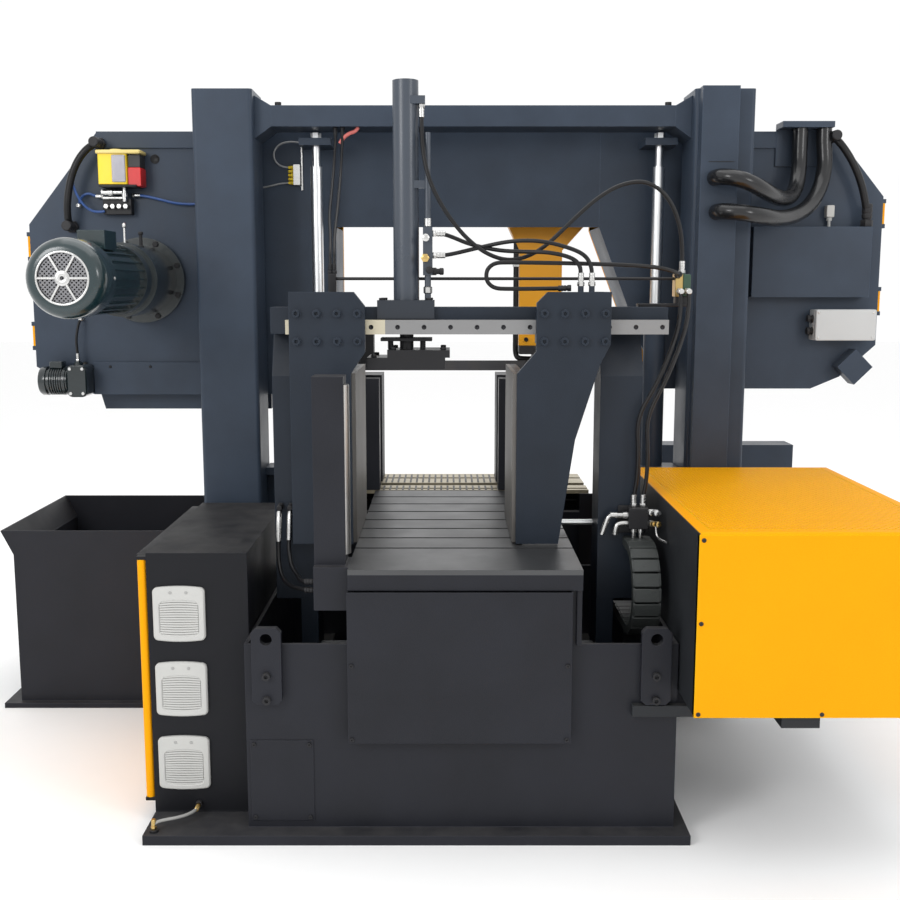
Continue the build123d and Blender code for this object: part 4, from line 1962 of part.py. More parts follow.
def line_manifold_x():
    """Places along X of the line manifold, out past the crossbeam's right end."""
    left = BEAM_X[1] + LINE_MANIFOLD_REACH
    return (left, left + LINE_MANIFOLD_WIDTH)


def line_manifold_y():
    """Places along Y of the line manifold, over the crossbeam's rear bar."""
    front = BEAM_Y[1] - BEAM_BAR + LINE_MANIFOLD_BACK
    return (front, front + LINE_MANIFOLD_WIDTH)


def line_manifold_z():
    """Heights of the line manifold, on its bracket plate."""
    low = BEAM_Z[1] + LINE_BRACKET
    return (low, low + LINE_MANIFOLD_HEIGHT)


def valve_block():
    """Valve block and stop rod on the right post, line manifold and pipe support on the crossbeam."""
    x = valve_x()
    y = (POST_Y[0] - VALVE_DEPTH, POST_Y[0])
    z = (VALVE_BOTTOM, VALVE_BOTTOM + VALVE_HEIGHT)
    valve = block(x, y, z)
    for number in range(VALVE_PORTS):
        height = z[0] + VALVE_HEIGHT * (number + 0.5) / VALVE_PORTS
        place = (x[1], y[0] + VALVE_DEPTH / 2, height)
        valve += rod(place, (1, 0, 0), VALVE_PORT_LENGTH, VALVE_PORT)
    inner = POST_RIGHT_X - POST_WIDTH / 2
    stop = rod((inner, POST_Y[1] - STOP_ROD * 2, STOP_ROD_Z), (-1, 0, 0), STOP_ROD_LENGTH, STOP_ROD)
    manifold_x = line_manifold_x()
    manifold_y = line_manifold_y()
    bracket_x = (BEAM_X[1] - BEAM_OVERHANG, manifold_x[1])
    bracket = block(bracket_x, manifold_y, (BEAM_Z[1], BEAM_Z[1] + LINE_BRACKET))
    manifold = block(manifold_x, manifold_y, line_manifold_z())
    support_x = (PIPE_LEFT - PIPE_SUPPORT, PIPE_LEFT)
    support = block(support_x, about(pipe_y(), PIPE_SUPPORT), (BEAM_Z[1], line_manifold_z()[1]))
    return [valve, stop, bracket, manifold, support]


def pipe_y():
    """Place along Y of the rigid pipe, behind the overhead clamp's barrel."""
    return sum(line_manifold_y()) / 2


# Drag chain

def chain_lower_end():
    """Place along Y where the drag chain's lower run meets its anchor."""
    return CHAIN_BEND_Y + CHAIN_LOWER


def chain_lower_z():
    """Heights of the drag chain's lower run."""
    low = CHAIN_TOP - 2 * CHAIN_RADIUS
    return (low, low + CHAIN_THICK)


def drag_chain():
    """Drag chain: an upper run to the post, a half turn at the front, a lower run to its anchor."""
    x = (CHAIN_LEFT, CHAIN_LEFT + CHAIN_WIDTH)
    axis_z = CHAIN_TOP - CHAIN_RADIUS
    inner = CHAIN_RADIUS - CHAIN_THICK
    bend = tube((x[0], CHAIN_BEND_Y, axis_z), (1, 0, 0), CHAIN_WIDTH, CHAIN_RADIUS, inner)
    front = (CHAIN_BEND_Y - 2 * CHAIN_RADIUS, CHAIN_BEND_Y)
    bend &= block(x, front, about(axis_z, 4 * CHAIN_RADIUS))
    upper = block(x, (CHAIN_BEND_Y, POST_Y[0]), (CHAIN_TOP - CHAIN_THICK, CHAIN_TOP))
    lower = block(x, (CHAIN_BEND_Y, chain_lower_end()), chain_lower_z())
    return bend.fuse(upper, lower)


# Hoses: each route is a list of points, from one flat face to another

def conduits():
    """Two thick conduits from the cable duct, round the right pillar, up to the bow's cable shelf."""
    duct = -PILLAR_FACE - DUCT_DEPTH
    hood = GLAND_HOOD_BOTTOM
    upper = [
        (866, duct, hood - 212),
        (866, duct - 38, hood - 212),
        (885, duct - 71, hood - 214),
        (918, duct - 90, hood - 220),
        (962, duct - 90, hood - 233),
        (1016, duct - 62, hood - 253),
        (1070, duct - 2, hood - 271),
        (1134, 86 + duct, hood - 280),
        (1194, 174 + duct, hood - 267),
        (1236, 244 + duct, hood - 223),
        (1254, 280 + duct, hood - 153),
        (1255, 288 + duct, hood - 75),
        (1255, 288 + duct, hood),
    ]
    lower = [
        (876, duct, hood - 332),
        (876, duct - 38, hood - 332),
        (895, duct - 71, hood - 334),
        (930, duct - 90, hood - 338),
        (978, duct - 86, hood - 344),
        (1042, duct - 46, hood - 351),
        (1120, 38 + duct, hood - 354),
        (1212, 134 + duct, hood - 333),
        (1288, 216 + duct, hood - 287),
        (1336, 266 + duct, hood - 217),
        (1354, 284 + duct, hood - 137),
        (1349, 288 + duct, hood - 72),
        (1346, 288 + duct, hood - 36),
        (1346, 288 + duct, hood),
    ]
    return [hose(upper, CONDUIT), hose(lower, CONDUIT)]


def shuttle_hoses():
    """Lines that stay on the shuttle: the clamp's hose, the rigid pipe and the hoses to the valve block."""
    tube_x = CLAMP_X + SIDE_TUBE_X
    tube_y = CLAMP_Y - GUIDE_ROD_SPREAD / 2
    manifold_x = line_manifold_x()
    manifold_y = line_manifold_y()
    manifold_z = line_manifold_z()
    middle_x = sum(manifold_x) / 2
    clamp_line = [
        (tube_x - 19, tube_y, CLAMP_PORT_Z),
        (tube_x - 19, tube_y, CLAMP_PORT_Z - 32),
        (tube_x - 18, tube_y - 6, 2136),
        (tube_x - 15, tube_y - 18, 2084),
        (tube_x - 7, tube_y - 30, 2030),
        (tube_x + 9, tube_y - 38, 1974),
        (tube_x + 37, tube_y - 41, 1916),
        (-82, tube_y - 42, 1858),
        (-34, tube_y - 42, 1802),
        (26, tube_y - 40, 1756),
        (92, tube_y - 36, 1734),
        (156, tube_y - 28, 1746),
        (214, tube_y - 16, 1780),
        (270, tube_y, 1832),
        (326, tube_y + 12, 1886),
        (388, tube_y + 24, 1938),
        (456, tube_y + 36, 1976),
        (530, tube_y + 46, 1988),
        (592, tube_y + 56, 1958),
        (634, tube_y + 66, 1902),
        (658, tube_y + 76, 1836),
        (middle_x - 1, tube_y + 84, 1772),
        (middle_x, pipe_y(), manifold_z[1] + 30),
        (middle_x, pipe_y(), manifold_z[1]),
    ]
    pipe_z = manifold_z[1] - PIPE_DROP
    pipe = rod((PIPE_LEFT, pipe_y(), pipe_z), (1, 0, 0), manifold_x[0] - PIPE_LEFT, THIN_HOSE)
    valve_top = VALVE_BOTTOM + VALVE_HEIGHT
    valve_y = POST_Y[0] - VALVE_DEPTH / 2
    lines = [hose(clamp_line, HOSE), pipe]
    for number in (0, 1):
        start_x = manifold_x[0] + (2 * number + 1) * LINE_MANIFOLD_WIDTH / 4
        end_x = valve_x()[1] - (3 - 2 * number) * VALVE_WIDTH / 6
        drop = 4 * number
        down_line = [
            (start_x, manifold_y[0], 1640),
            (start_x, manifold_y[0] - 26, 1640),
            (start_x - 2, manifold_y[0] - 48, 1604 + drop),
            (start_x - 10, manifold_y[0] - 64, 1530 + drop),
            (start_x - 44, manifold_y[0] - 92, 1440 + drop),
            (start_x - 84, manifold_y[0] - 110, 1350 + drop),
            (end_x + 4, valve_y, 1240 + drop),
            (end_x + 12, valve_y, 1130),
            (end_x + 10, valve_y, 1040),
            (end_x, valve_y, 984),
            (end_x, valve_y, valve_top),
        ]
        lines.append(hose(down_line, HOSE))
    return lines


def jaw_hoses():
    """Two hoses from the small valve on the clamp's side tube to the right jaw's fittings."""
    start_x = CLAMP_X + SIDE_TUBE_X + TUBE_VALVE_WIDTH / 2
    start_y = CLAMP_Y - GUIDE_ROD_SPREAD / 2
    near, far = jaw_fittings()
    fitting_top = JAW_CAP_TOP + JAW_FITTING_HEIGHT
    high = [
        (start_x, start_y, 1820),
        (start_x + 30, start_y, 1820),
        (start_x + 62, start_y - 1, 1810),
        (-24, start_y - 4, 1786),
        (66, start_y - 20, 1766),
        (150, start_y - 50, 1762),
        (222, start_y - 80, 1760),
        (near[0] - 30, near[1] + 6, 1744),
        (near[0] - 4, near[1], 1722),
        (near[0], near[1], 1690),
        (near[0], near[1], fitting_top),
    ]
    low = [
        (start_x, start_y, 1752),
        (start_x + 30, start_y, 1752),
        (start_x + 62, start_y - 1, 1756),
        (4, start_y - 6, 1776),
        (100, start_y - 40, 1796),
        (192, start_y - 72, 1796),
        (274, start_y - 88, 1776),
        (far[0] - 22, far[1], 1752),
        (far[0] - 2, far[1], 1716),
        (far[0], far[1], 1686),
        (far[0], far[1], fitting_top),
    ]
    return [hose(high, HOSE), hose(low, HOSE)]


def feed_hoses():
    """Hoses from the base to the shuttle: two at its left post, two from the tie beam to the pipe."""
    foot_x = guide_post_x()[0]
    lines = []
    for number in (0, 1):
        start_x = POST_LEFT_X - POST_WIDTH / 2 + 20 + 34 * number
        rise = 26 * number
        route = [
            (start_x, POST_Y[0], 950),
            (start_x, POST_Y[0] - 26, 950),
            (start_x, POST_Y[0] - 48, 914),
            (start_x - 2, POST_Y[0] - 54, 850),
            (start_x - 2, POST_Y[0] - 66, 790 + rise),
            (start_x + 12, POST_Y[0] - 112, 748 + rise),
            (start_x + 44, POST_Y[0] - 180, 732 + rise),
            (foot_x - 56, POST_Y[0] - 236, 736 + rise),
            (foot_x - 24, POST_Y[0] - 262, 740 + rise),
            (foot_x, POST_Y[0] - 262, 740 + rise),
        ]
        lines.append(hose(route, HOSE))
    top = line_manifold_z()[1]
    for number in (0, 1):
        tie_x = PIPE_LEFT - PIPE_SUPPORT * (1 + number)
        end_x = PIPE_LEFT - PIPE_SUPPORT * (1 + 2 * number) / 4
        fall = TIE_BOTTOM - top
        route = [
            (tie_x, -TIE_FRONT + 24, TIE_BOTTOM),
            (tie_x, -TIE_FRONT + 24, TIE_BOTTOM - 0.074 * fall),
            (tie_x, -TIE_FRONT - 8, TIE_BOTTOM - 0.17 * fall),
            (tie_x + 4, -TIE_FRONT - 100, TIE_BOTTOM - 0.315 * fall),
            (tie_x + 8, -TIE_FRONT - 220, TIE_BOTTOM - 0.481 * fall),
            (tie_x + 12, -TIE_FRONT - 350, TIE_BOTTOM - 0.63 * fall),
            (end_x - 6, -TIE_FRONT - 460, TIE_BOTTOM - 0.778 * fall),
            (end_x, pipe_y() + 6, TIE_BOTTOM - 0.87 * fall),
            (end_x, pipe_y(), TIE_BOTTOM - 0.937 * fall),
            (end_x, pipe_y(), top),
        ]
        lines.append(hose(route, THIN_HOSE))
    return lines


def bow_hoses():
    """Hoses and cables that stay on the bow."""
    face = BOW_Y
    tension_top = TENSION_BOTTOM + TENSION_HEIGHT
    manifold_z = LUBE_BOTTOM - MANIFOLD_HEIGHT / 2
    manifold_y = face - MANIFOLD_DEPTH / 2
    manifold_right = -LUBE_LEFT + MANIFOLD_WIDTH
    gear_top = BRUSH_Z + BRUSH_GEAR_WIDTH / 4
    fall = BOW_TOP - 22 - tension_top
    side_line = [
        (1385, face, BOW_TOP - 22),
        (1385, face - 32, BOW_TOP - 22),
        (1396, face - 54, tension_top + 0.959 * fall),
        (1420, face - 62, tension_top + 0.871 * fall),
        (1449, face - 62, tension_top + 0.752 * fall),
        (1477, face - 60, tension_top + 0.608 * fall),
        (1501, face - 56, tension_top + 0.444 * fall),
        (1518, face - 52, tension_top + 0.269 * fall),
        (1529, face - 46, tension_top + 0.117 * fall),
        (1529, face - 46, tension_top),
    ]
    corner = -BOW_LEFT_CORNER
    strip = face - TOP_STRIP_THICK
    corner_line = [
        (corner + 16, strip, BOW_TOP - 48),
        (corner + 16, strip - 32, BOW_TOP - 48),
        (corner + 4, strip - 54, BOW_TOP - 56),
        (corner - 22, strip - 62, BOW_TOP - 76),
        (corner - 54, strip - 62, BOW_TOP - 114),
        (corner - 80, strip - 62, BOW_TOP - 168),
        (corner - 96, strip - 62, BOW_TOP - 230),
        (corner - 104, strip - 60, BOW_TOP - 286),
        (corner - 106, strip - 54, BOW_TOP - 324),
        (corner - 106, strip - 44, BOW_TOP - 348),
        (corner - 106, strip - 22, BOW_TOP - 362),
        (corner - 106, face, BOW_TOP - 362),
    ]
    left_line = [
        (-LUBE_LEFT, manifold_y, manifold_z + 20),
        (-LUBE_LEFT - 30, manifold_y, manifold_z + 20),
        (-LUBE_LEFT - 62, manifold_y, manifold_z + 34),
        (-LUBE_LEFT - 92, manifold_y, manifold_z + 16),
        (-LUBE_LEFT - 100, manifold_y, manifold_z - 16),
        (-LUBE_LEFT - 100, face, manifold_z - 16),
    ]
    right_line = [
        (manifold_right, manifold_y, manifold_z + 24),
        (manifold_right + 40, manifold_y, manifold_z + 24),
        (manifold_right + 100, manifold_y - 4, manifold_z + 10),
        (manifold_right + 170, manifold_y - 4, manifold_z - 8),
        (manifold_right + 226, manifold_y, manifold_z - 10),
        (manifold_right + 252, manifold_y, manifold_z - 8),
        (manifold_right + 252, face, manifold_z - 8),
    ]
    brush_line = [
        (BRUSH_X, face, gear_top + 166),
        (BRUSH_X, face - 26, gear_top + 166),
        (BRUSH_X - 6, face - 44, gear_top + 136),
        (BRUSH_X - 14, face - 48, gear_top + 86),
        (BRUSH_X - 12, face - 48, gear_top + 46),
        (BRUSH_X - 10, face - 48, gear_top + 22),
        (BRUSH_X - 10, face - 48, gear_top),
    ]
    return [
        hose(side_line, THICK_HOSE),
        hose(corner_line, THICK_HOSE),
        hose(left_line, THIN_HOSE),
        hose(right_line, THIN_HOSE),
        hose(brush_line, THIN_HOSE),
    ]


def main():
    """Write every node of the saw."""
    os.makedirs("parts", exist_ok=True)
    nodes = {
        "main_base": main_base(),
        "pillar_left": [pillar(-1)],
        "pillar_right": [pillar(1), cable_duct()],
        "tie_beam": tie_beam(),
        "guide_rails": guide_rails(),
        "lift_cylinders": lift_cylinders(),
        "base_tub": base_tub(),
        "front_covers": front_covers(),
        "base_fasteners": base_fasteners(),
        "feed_bed": feed_bed(),
        "guide_roller": [guide_roller()],
        "bed_slats": bed_slats(),
        "cabinet_shell": cabinet_shell(),
        "cabinet_door": [cabinet_door()],
        "filter_vents": filter_vents(),
        "earth_lead": [hose(earth_lead_route(), LEAD)],
        "hydraulic_cover": hydraulic_cover(),
        "hydraulic_unit": hydraulic_unit(),
        "chip_bin": chip_bin(),
        "control_desk": [control_desk()],
        "start_button": [start_button()],
        "emergency_stop": [emergency_stop()],
        "bow_frame": bow_frame(),
        "left_wheel_door": wheel_door(-1),
        "right_wheel_door": wheel_door(1),
        "bow_brackets": bow_brackets(),
        "lift_rods": lift_rods(),
        "gearbox": [gearbox()],
        "drive_motor": [drive_motor()],
        "fan_cowl": [fan_cowl()],
        "motor_fan": [motor_fan()],
        "drive_wheel": [drive_wheel()],
        "idler_wheel": [idler_wheel()],
        "saw_band": [saw_band()],
        "guide_arm": guide_arm(),
        "guide_arm_fixed": [guide_arm_fixed()],
        "bow_covers": bow_covers(),
        "junction_box": [junction_box()],
        "lubricator": lubricator(),
        "brush_motor": [brush_motor()],
        "chip_brush": [chip_brush()],
        "main_jaw_fixed": main_jaw_fixed(),
        "main_jaw_moving": main_jaw_moving(),
        "base_cylinders": base_cylinders(),
        "shuttle_posts": shuttle_posts(),
        "crossbeam": crossbeam(),
        "clamp_rail": [clamp_rail()],
        "datum_jaw": datum_jaw(),
        "datum_liner": [jaw_liner(DATUM_X, -1)],
        "clamp_jaw": clamp_jaw(),
        "clamp_liner": [jaw_liner(CLAMP_JAW_X, 1)],
        "clamp_cylinders": clamp_cylinders(),
        "clamp_ram": clamp_ram(),
        "valve_block": valve_block(),
        "drag_chain": [drag_chain()],
        "conduits": conduits(),
        "shuttle_hoses": shuttle_hoses(),
        "jaw_hoses": jaw_hoses(),
        "feed_hoses": feed_hoses(),
        "bow_hoses": bow_hoses(),
    }
    for name, solids in nodes.items():
        save(name, solids)


if __name__ == "__main__":
    main()
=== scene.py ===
"""Looks of a twin pillar metal band saw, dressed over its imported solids.

Sizes of the pieces are in millimetres and are turned to metres when a mesh is made.
Routes of the hoses are in metres, as their solids have them.
"""
import logging
import math
from dataclasses import dataclass
from enum import Enum
from functools import reduce
from itertools import product
from operator import add
from typing import Any, Sequence

import bmesh
import bpy
import numpy as np
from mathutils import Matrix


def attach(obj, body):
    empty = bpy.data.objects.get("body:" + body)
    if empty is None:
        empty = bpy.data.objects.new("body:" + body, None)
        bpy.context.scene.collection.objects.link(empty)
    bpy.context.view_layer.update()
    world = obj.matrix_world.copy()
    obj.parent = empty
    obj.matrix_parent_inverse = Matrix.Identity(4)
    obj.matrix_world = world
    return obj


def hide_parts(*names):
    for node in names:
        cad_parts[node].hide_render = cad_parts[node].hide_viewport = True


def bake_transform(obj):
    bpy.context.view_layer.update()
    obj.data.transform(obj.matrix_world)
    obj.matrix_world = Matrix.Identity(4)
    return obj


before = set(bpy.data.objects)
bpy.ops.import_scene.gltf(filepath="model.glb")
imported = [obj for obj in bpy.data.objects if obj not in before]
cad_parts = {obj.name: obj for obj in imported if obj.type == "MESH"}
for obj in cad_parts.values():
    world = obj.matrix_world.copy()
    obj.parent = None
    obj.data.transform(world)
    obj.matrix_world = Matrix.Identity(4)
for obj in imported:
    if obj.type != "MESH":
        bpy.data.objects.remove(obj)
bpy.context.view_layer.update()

Point = tuple[float, float, float]
Colour = tuple[float, float, float]
Profile = Sequence[Sequence[float]]
LOG = logging.getLogger("twin_pillar_saw")
MM = 0.001
NOISE_MEAN = 0.5
MERGE_DISTANCE = 0.00002
STEEP = 0.9
HOSE_SHARP = 60.0
BEVEL_SAMPLES = 4
HEXAGON_SIDES = 6
HEAD_SIDES = 12
SLEEVE_SIDES = 16

# Directions of the machine's frame, seen from its infeed side.
ORIGIN: Point = (0.0, 0.0, 0.0)
RIGHT: Point = (1.0, 0.0, 0.0)
LEFT: Point = (-1.0, 0.0, 0.0)
FAR: Point = (0.0, 1.0, 0.0)
NEAR: Point = (0.0, -1.0, 0.0)
UP: Point = (0.0, 0.0, 1.0)
DOWN: Point = (0.0, 0.0, -1.0)

# Steps of a hose's fitting, as (along, radius) for a hose of radius one.
HOSE_NUT: Profile = ((0.0, 1.6), (0.2, 1.75), (1.7, 1.75), (1.9, 1.6))
HOSE_SLEEVE: Profile = ((0.0, 1.15), (0.4, 1.15), (0.5, 1.4), (1.5, 1.42), (1.6, 1.3), (1.9, 1.3),
                        (2.0, 1.42), (2.9, 1.42), (3.0, 1.3), (3.3, 1.3), (3.4, 1.42), (4.2, 1.4),
                        (4.4, 1.12))


class Axis(Enum):
    """The three axes of the machine's frame."""

    X = 0
    Y = 1
    Z = 2


class Head(Enum):
    """Screw heads, as (along, radius) steps for a radius of one."""

    SOCKET = ((0.0, 0.96), (0.1, 1.0), (0.8, 1.0), (0.98, 0.86), (0.98, 0.56), (0.45, 0.5))
    HEXAGON = ((0.0, 0.96), (0.55, 1.0), (0.66, 0.88))
    DOME = ((0.0, 1.0), (0.18, 1.0), (0.42, 0.8), (0.55, 0.45), (0.5, 0.3), (0.36, 0.26))


class Stiffness(Enum):
    """How a hose bends."""

    MEDIUM = "medium"
    STIFF = "stiff"


class Socket:
    """One output of a shader node, whose sums and products make Math nodes."""

    def __init__(self, tree: "Tree", output: bpy.types.NodeSocket) -> None:
        """Keep the tree and the output."""
        self.tree = tree
        self.output = output

    def math(self, operation: str, first: Any, second: Any) -> "Socket":
        """Make a Math node of two values."""
        return self.tree.node("ShaderNodeMath", {"operation": operation}, {0: first, 1: second})

    def __add__(self, other: Any) -> "Socket":
        """Sum."""
        return self.math("ADD", self, other)

    def __radd__(self, other: Any) -> "Socket":
        """Sum with a number first."""
        return self.math("ADD", other, self)

    def __sub__(self, other: Any) -> "Socket":
        """Difference."""
        return self.math("SUBTRACT", self, other)

    def __rsub__(self, other: Any) -> "Socket":
        """Difference with a number first."""
        return self.math("SUBTRACT", other, self)

    def __mul__(self, other: Any) -> "Socket":
        """Product."""
        return self.math("MULTIPLY", self, other)

    def __rmul__(self, other: Any) -> "Socket":
        """Product with a number first."""
        return self.math("MULTIPLY", other, self)

    def above(self, level: float) -> "Socket":
        """One where the value is over a level, and nought elsewhere."""
        return self.math("GREATER_THAN", self, level)


class Tree:
    """Node tree of one material."""

    def __init__(self, name: str) -> None:
        """Start an empty material.

        Args:
            name: the material's name.
        """
        self.material = bpy.data.materials.new(name)
        self.material.use_nodes = True
        self.nodes = self.material.node_tree.nodes
        self.nodes.clear()

    def add(self, kind: str, settings: dict[str, Any], sockets: dict[Any, Any]) -> bpy.types.Node:
        """Add a node.

        Args:
            kind: the node's type.
            settings: its properties, which are set first.
            sockets: its inputs, by name or number, each a Socket or a constant.

        Returns:
            The node.
        """
        made = self.nodes.new(kind)
        for key, value in settings.items():
            setattr(made, key, value)
        for key, value in sockets.items():
            if isinstance(value, Socket):
                self.material.node_tree.links.new(value.output, made.inputs[key])
            else:
                made.inputs[key].default_value = value
        return made

    def node(self, kind: str, settings: dict[str, Any], sockets: dict[Any, Any], output: Any = 0) -> Socket:
        """Add a node, and give back the output of a name or number."""
        return Socket(self, self.add(kind, settings, sockets).outputs[output])

    def place(self) -> Socket:
        """Object coordinates of the shaded point."""
        return self.node("ShaderNodeTexCoord", {}, {}, "Object")

    def normal(self) -> Socket:
        """Way that the surface faces."""
        return self.node("ShaderNodeNewGeometry", {}, {}, "Normal")

    def part(self, place: Socket, axis: Axis) -> Socket:
        """One coordinate of a place."""
        return self.node("ShaderNodeSeparateXYZ", {}, {0: place}, axis.value)

    def noise(self, place: Socket, scale: float, detail: float, stretch: Point = (1.0, 1.0, 1.0)) -> Socket:
        """Noise from nought to one.

        Args:
            place: coordinates in metres.
            scale: waves in each metre.
            detail: octaves.
            stretch: how much faster it changes along each axis.

        Returns:
            The noise value.
        """
        spot = self.node("ShaderNodeMapping", {}, {"Vector": place, "Scale": stretch})
        return self.node("ShaderNodeTexNoise", {}, {"Vector": spot, "Scale": scale, "Detail": detail})

    def mix(self, factor: Socket, first: Any, second: Any) -> Socket:
        """Blend two colours by a factor."""
        sides = {0: factor, 6: opaque(first), 7: opaque(second)}
        return self.node("ShaderNodeMix", {"data_type": "RGBA", "clamp_factor": True}, sides, 2)

    def bump(self, height: Socket, depth: float, base: Socket | None = None) -> Socket:
        """Normal of a surface whose height varies by a depth in metres, over another normal if one is given.

        Args:
            height: the height, from nought to one.
            depth: what a height of one stands for.
            base: the other normal.

        Returns:
            The normal.
        """
        sockets = {"Height": height, "Distance": depth}
        if base is not None:
            sockets["Normal"] = base
        return self.node("ShaderNodeBump", {}, sockets)

    def eased(self, radius: float) -> Socket:
        """Normal of the surface with its edges rounded by a radius in metres."""
        return self.node("ShaderNodeBevel", {"samples": BEVEL_SAMPLES}, {"Radius": radius})

    def edge(self, eased: Socket) -> Socket:
        """Nought on a flat face, and more by an edge, where the rounded normal leaves the true one."""
        sides = {0: self.normal(), 1: eased}
        return 1.0 - self.node("ShaderNodeVectorMath", {"operation": "DOT_PRODUCT"}, sides, "Value")

    def finish(self, sockets: dict[str, Any]) -> bpy.types.Material:
        """Close the tree with one Principled shader.

        Args:
            sockets: the shader's inputs.

        Returns:
            The material.
        """
        shader = self.node("ShaderNodeBsdfPrincipled", {}, sockets)
        self.add("ShaderNodeOutputMaterial", {}, {"Surface": shader})
        return self.material


def opaque(colour: Any) -> Any:
    """Add the alpha value to a plain colour, and leave a socket as it is."""
    return colour if isinstance(colour, Socket) else (*colour, 1.0)


def tinted(colour: Colour, factor: float) -> Colour:
    """Brighten or darken a colour by a factor."""
    return tuple(min(1.0, part * factor) for part in colour)


def swing(noise: Socket, reach: float) -> Socket:
    """Noise made to swing about nought, by a reach."""
    return (noise - NOISE_MEAN) * reach


@dataclass(frozen=True)
class Finish:
    """Common part of every finish: its name, colour and gloss."""

    name: str
    colour: Colour
    rough: float

    def material(self) -> bpy.types.Material:
        """The finish's material, made the first time it is asked for."""
        label = f"{self.name}_finish"
        return bpy.data.materials.get(label) or self.make(Tree(label))

    def make(self, tree: Tree) -> bpy.types.Material:
        """Build the material in a tree."""
        raise NotImplementedError


@dataclass(frozen=True)
class Paint(Finish):
    """Sprayed paint with a fine grain, faint clouds with painted sheen, settled dust, and edges lightened by
    wear and a painted edge highlight.
    """

    grain: float = 420.0
    depth: float = 0.00035
    coat: float = 0.0
    dust: float = 0.12
    gloss: float = 0.3
    mottle_and_sheen: float = 2.2
    clouds: float = 5.0
    speckle: float = 0.4
    shade: float = 0.74
    tint: float = 1.3
    dust_scale: float = 18.0
    dust_colour: Colour = (0.42, 0.4, 0.37)
    edge: float = 0.004
    rubbed_and_highlit: float = 1.6
    rubbed_and_highlit_tint: float = 3.2
    gloss_drift: float = 0.18
    coat_rough: float = 0.2

    def make(self, tree: Tree) -> bpy.types.Material:
        """Build the paint: grain gives bump and speckle; clouds (random tone and painted sheen), dust and
        edges (wear and a painted highlight) give the colour's drift.

        Args:
            tree: an empty tree.

        Returns:
            The material.
        """
        place = tree.place()
        grain = tree.noise(place, self.grain, detail=2.0)
        # Clouds vary the tone at random and add soft patches of painted sheen.
        cloud = swing(tree.noise(place, self.clouds, detail=4.0), self.mottle_and_sheen) + NOISE_MEAN
        share = grain * self.speckle + cloud * (1.0 - self.speckle)
        sprayed_with_sheen = tree.mix(share, tinted(self.colour, self.shade), tinted(self.colour, self.tint))
        upward = tree.part(tree.normal(), Axis.Z)
        settled = upward * tree.noise(place, self.dust_scale, detail=3.0) * self.dust
        dusty = tree.mix(settled, sprayed_with_sheen, self.dust_colour)
        eased = tree.eased(self.edge)
        # Edges are lightened: partly wear, partly a painted edge highlight.
        colour = tree.mix(tree.edge(eased) * self.rubbed_and_highlit, dusty, tinted(self.colour, self.rubbed_and_highlit_tint))
        return tree.finish({
            "Base Color": colour,
            "Roughness": self.rough + swing(cloud, self.gloss_drift),
            "Specular IOR Level": self.gloss,
            "Coat Weight": self.coat,
            "Coat Roughness": self.coat_rough,
            "Normal": tree.bump(grain, self.depth, eased),
        })


@dataclass(frozen=True)
class Metal(Finish):
    """Bare metal with tool marks drawn out along one axis."""

    stretch: Point = (1.0, 60.0, 60.0)
    scale: float = 6.0
    depth: float = 0.00008
    stain: Colour = (0.2, 0.17, 0.13)
    stained: float = 0.18
    stains: float = 9.0
    stain_gain: float = 4.0
    shade: float = 0.8
    tint: float = 1.12
    mark_gloss: float = 0.2
    stain_gloss: float = 0.12

    def make(self, tree: Tree) -> bpy.types.Material:
        """Build the metal: drawn noise gives the marks, a soft noise the stains.

        Args:
            tree: an empty tree.

        Returns:
            The material.
        """
        place = tree.place()
        mark = tree.noise(place, self.scale, detail=3.0, stretch=self.stretch)
        cloud = tree.noise(place, self.stains, detail=5.0)
        ground = tree.mix(mark, tinted(self.colour, self.shade), tinted(self.colour, self.tint))
        colour = tree.mix(swing(cloud, self.stain_gain) * self.stained, ground, self.stain)
        return tree.finish({
            "Base Color": colour,
            "Metallic": 1.0,
            "Roughness": self.rough + swing(mark, self.mark_gloss) + swing(cloud, self.stain_gloss),
            "Normal": tree.bump(mark, self.depth),
        })


@dataclass(frozen=True)
class Moulded(Finish):
    """Moulded plastic or rubber with a fine skin and handling marks."""

    grain: float = 900.0
    depth: float = 0.0001
    drift: float = 0.14
    gloss: float = 0.5
    clouds: float = 14.0
    gloss_drift: float = 0.2

    def make(self, tree: Tree) -> bpy.types.Material:
        """Build the plastic: a fine skin, and a drift of colour and gloss.

        Args:
            tree: an empty tree.

        Returns:
            The material.
        """
        place = tree.place()
        skin_grain = tree.noise(place, self.grain, detail=2.0)
        cloud = tree.noise(place, self.clouds, detail=4.0)
        dark = tinted(self.colour, 1.0 - self.drift)
        light = tinted(self.colour, 1.0 + self.drift)
        return tree.finish({
            "Base Color": tree.mix(cloud, dark, light),
            "Roughness": self.rough + swing(cloud, self.gloss_drift),
            "Specular IOR Level": self.gloss,
            "Normal": tree.bump(skin_grain, self.depth),
        })


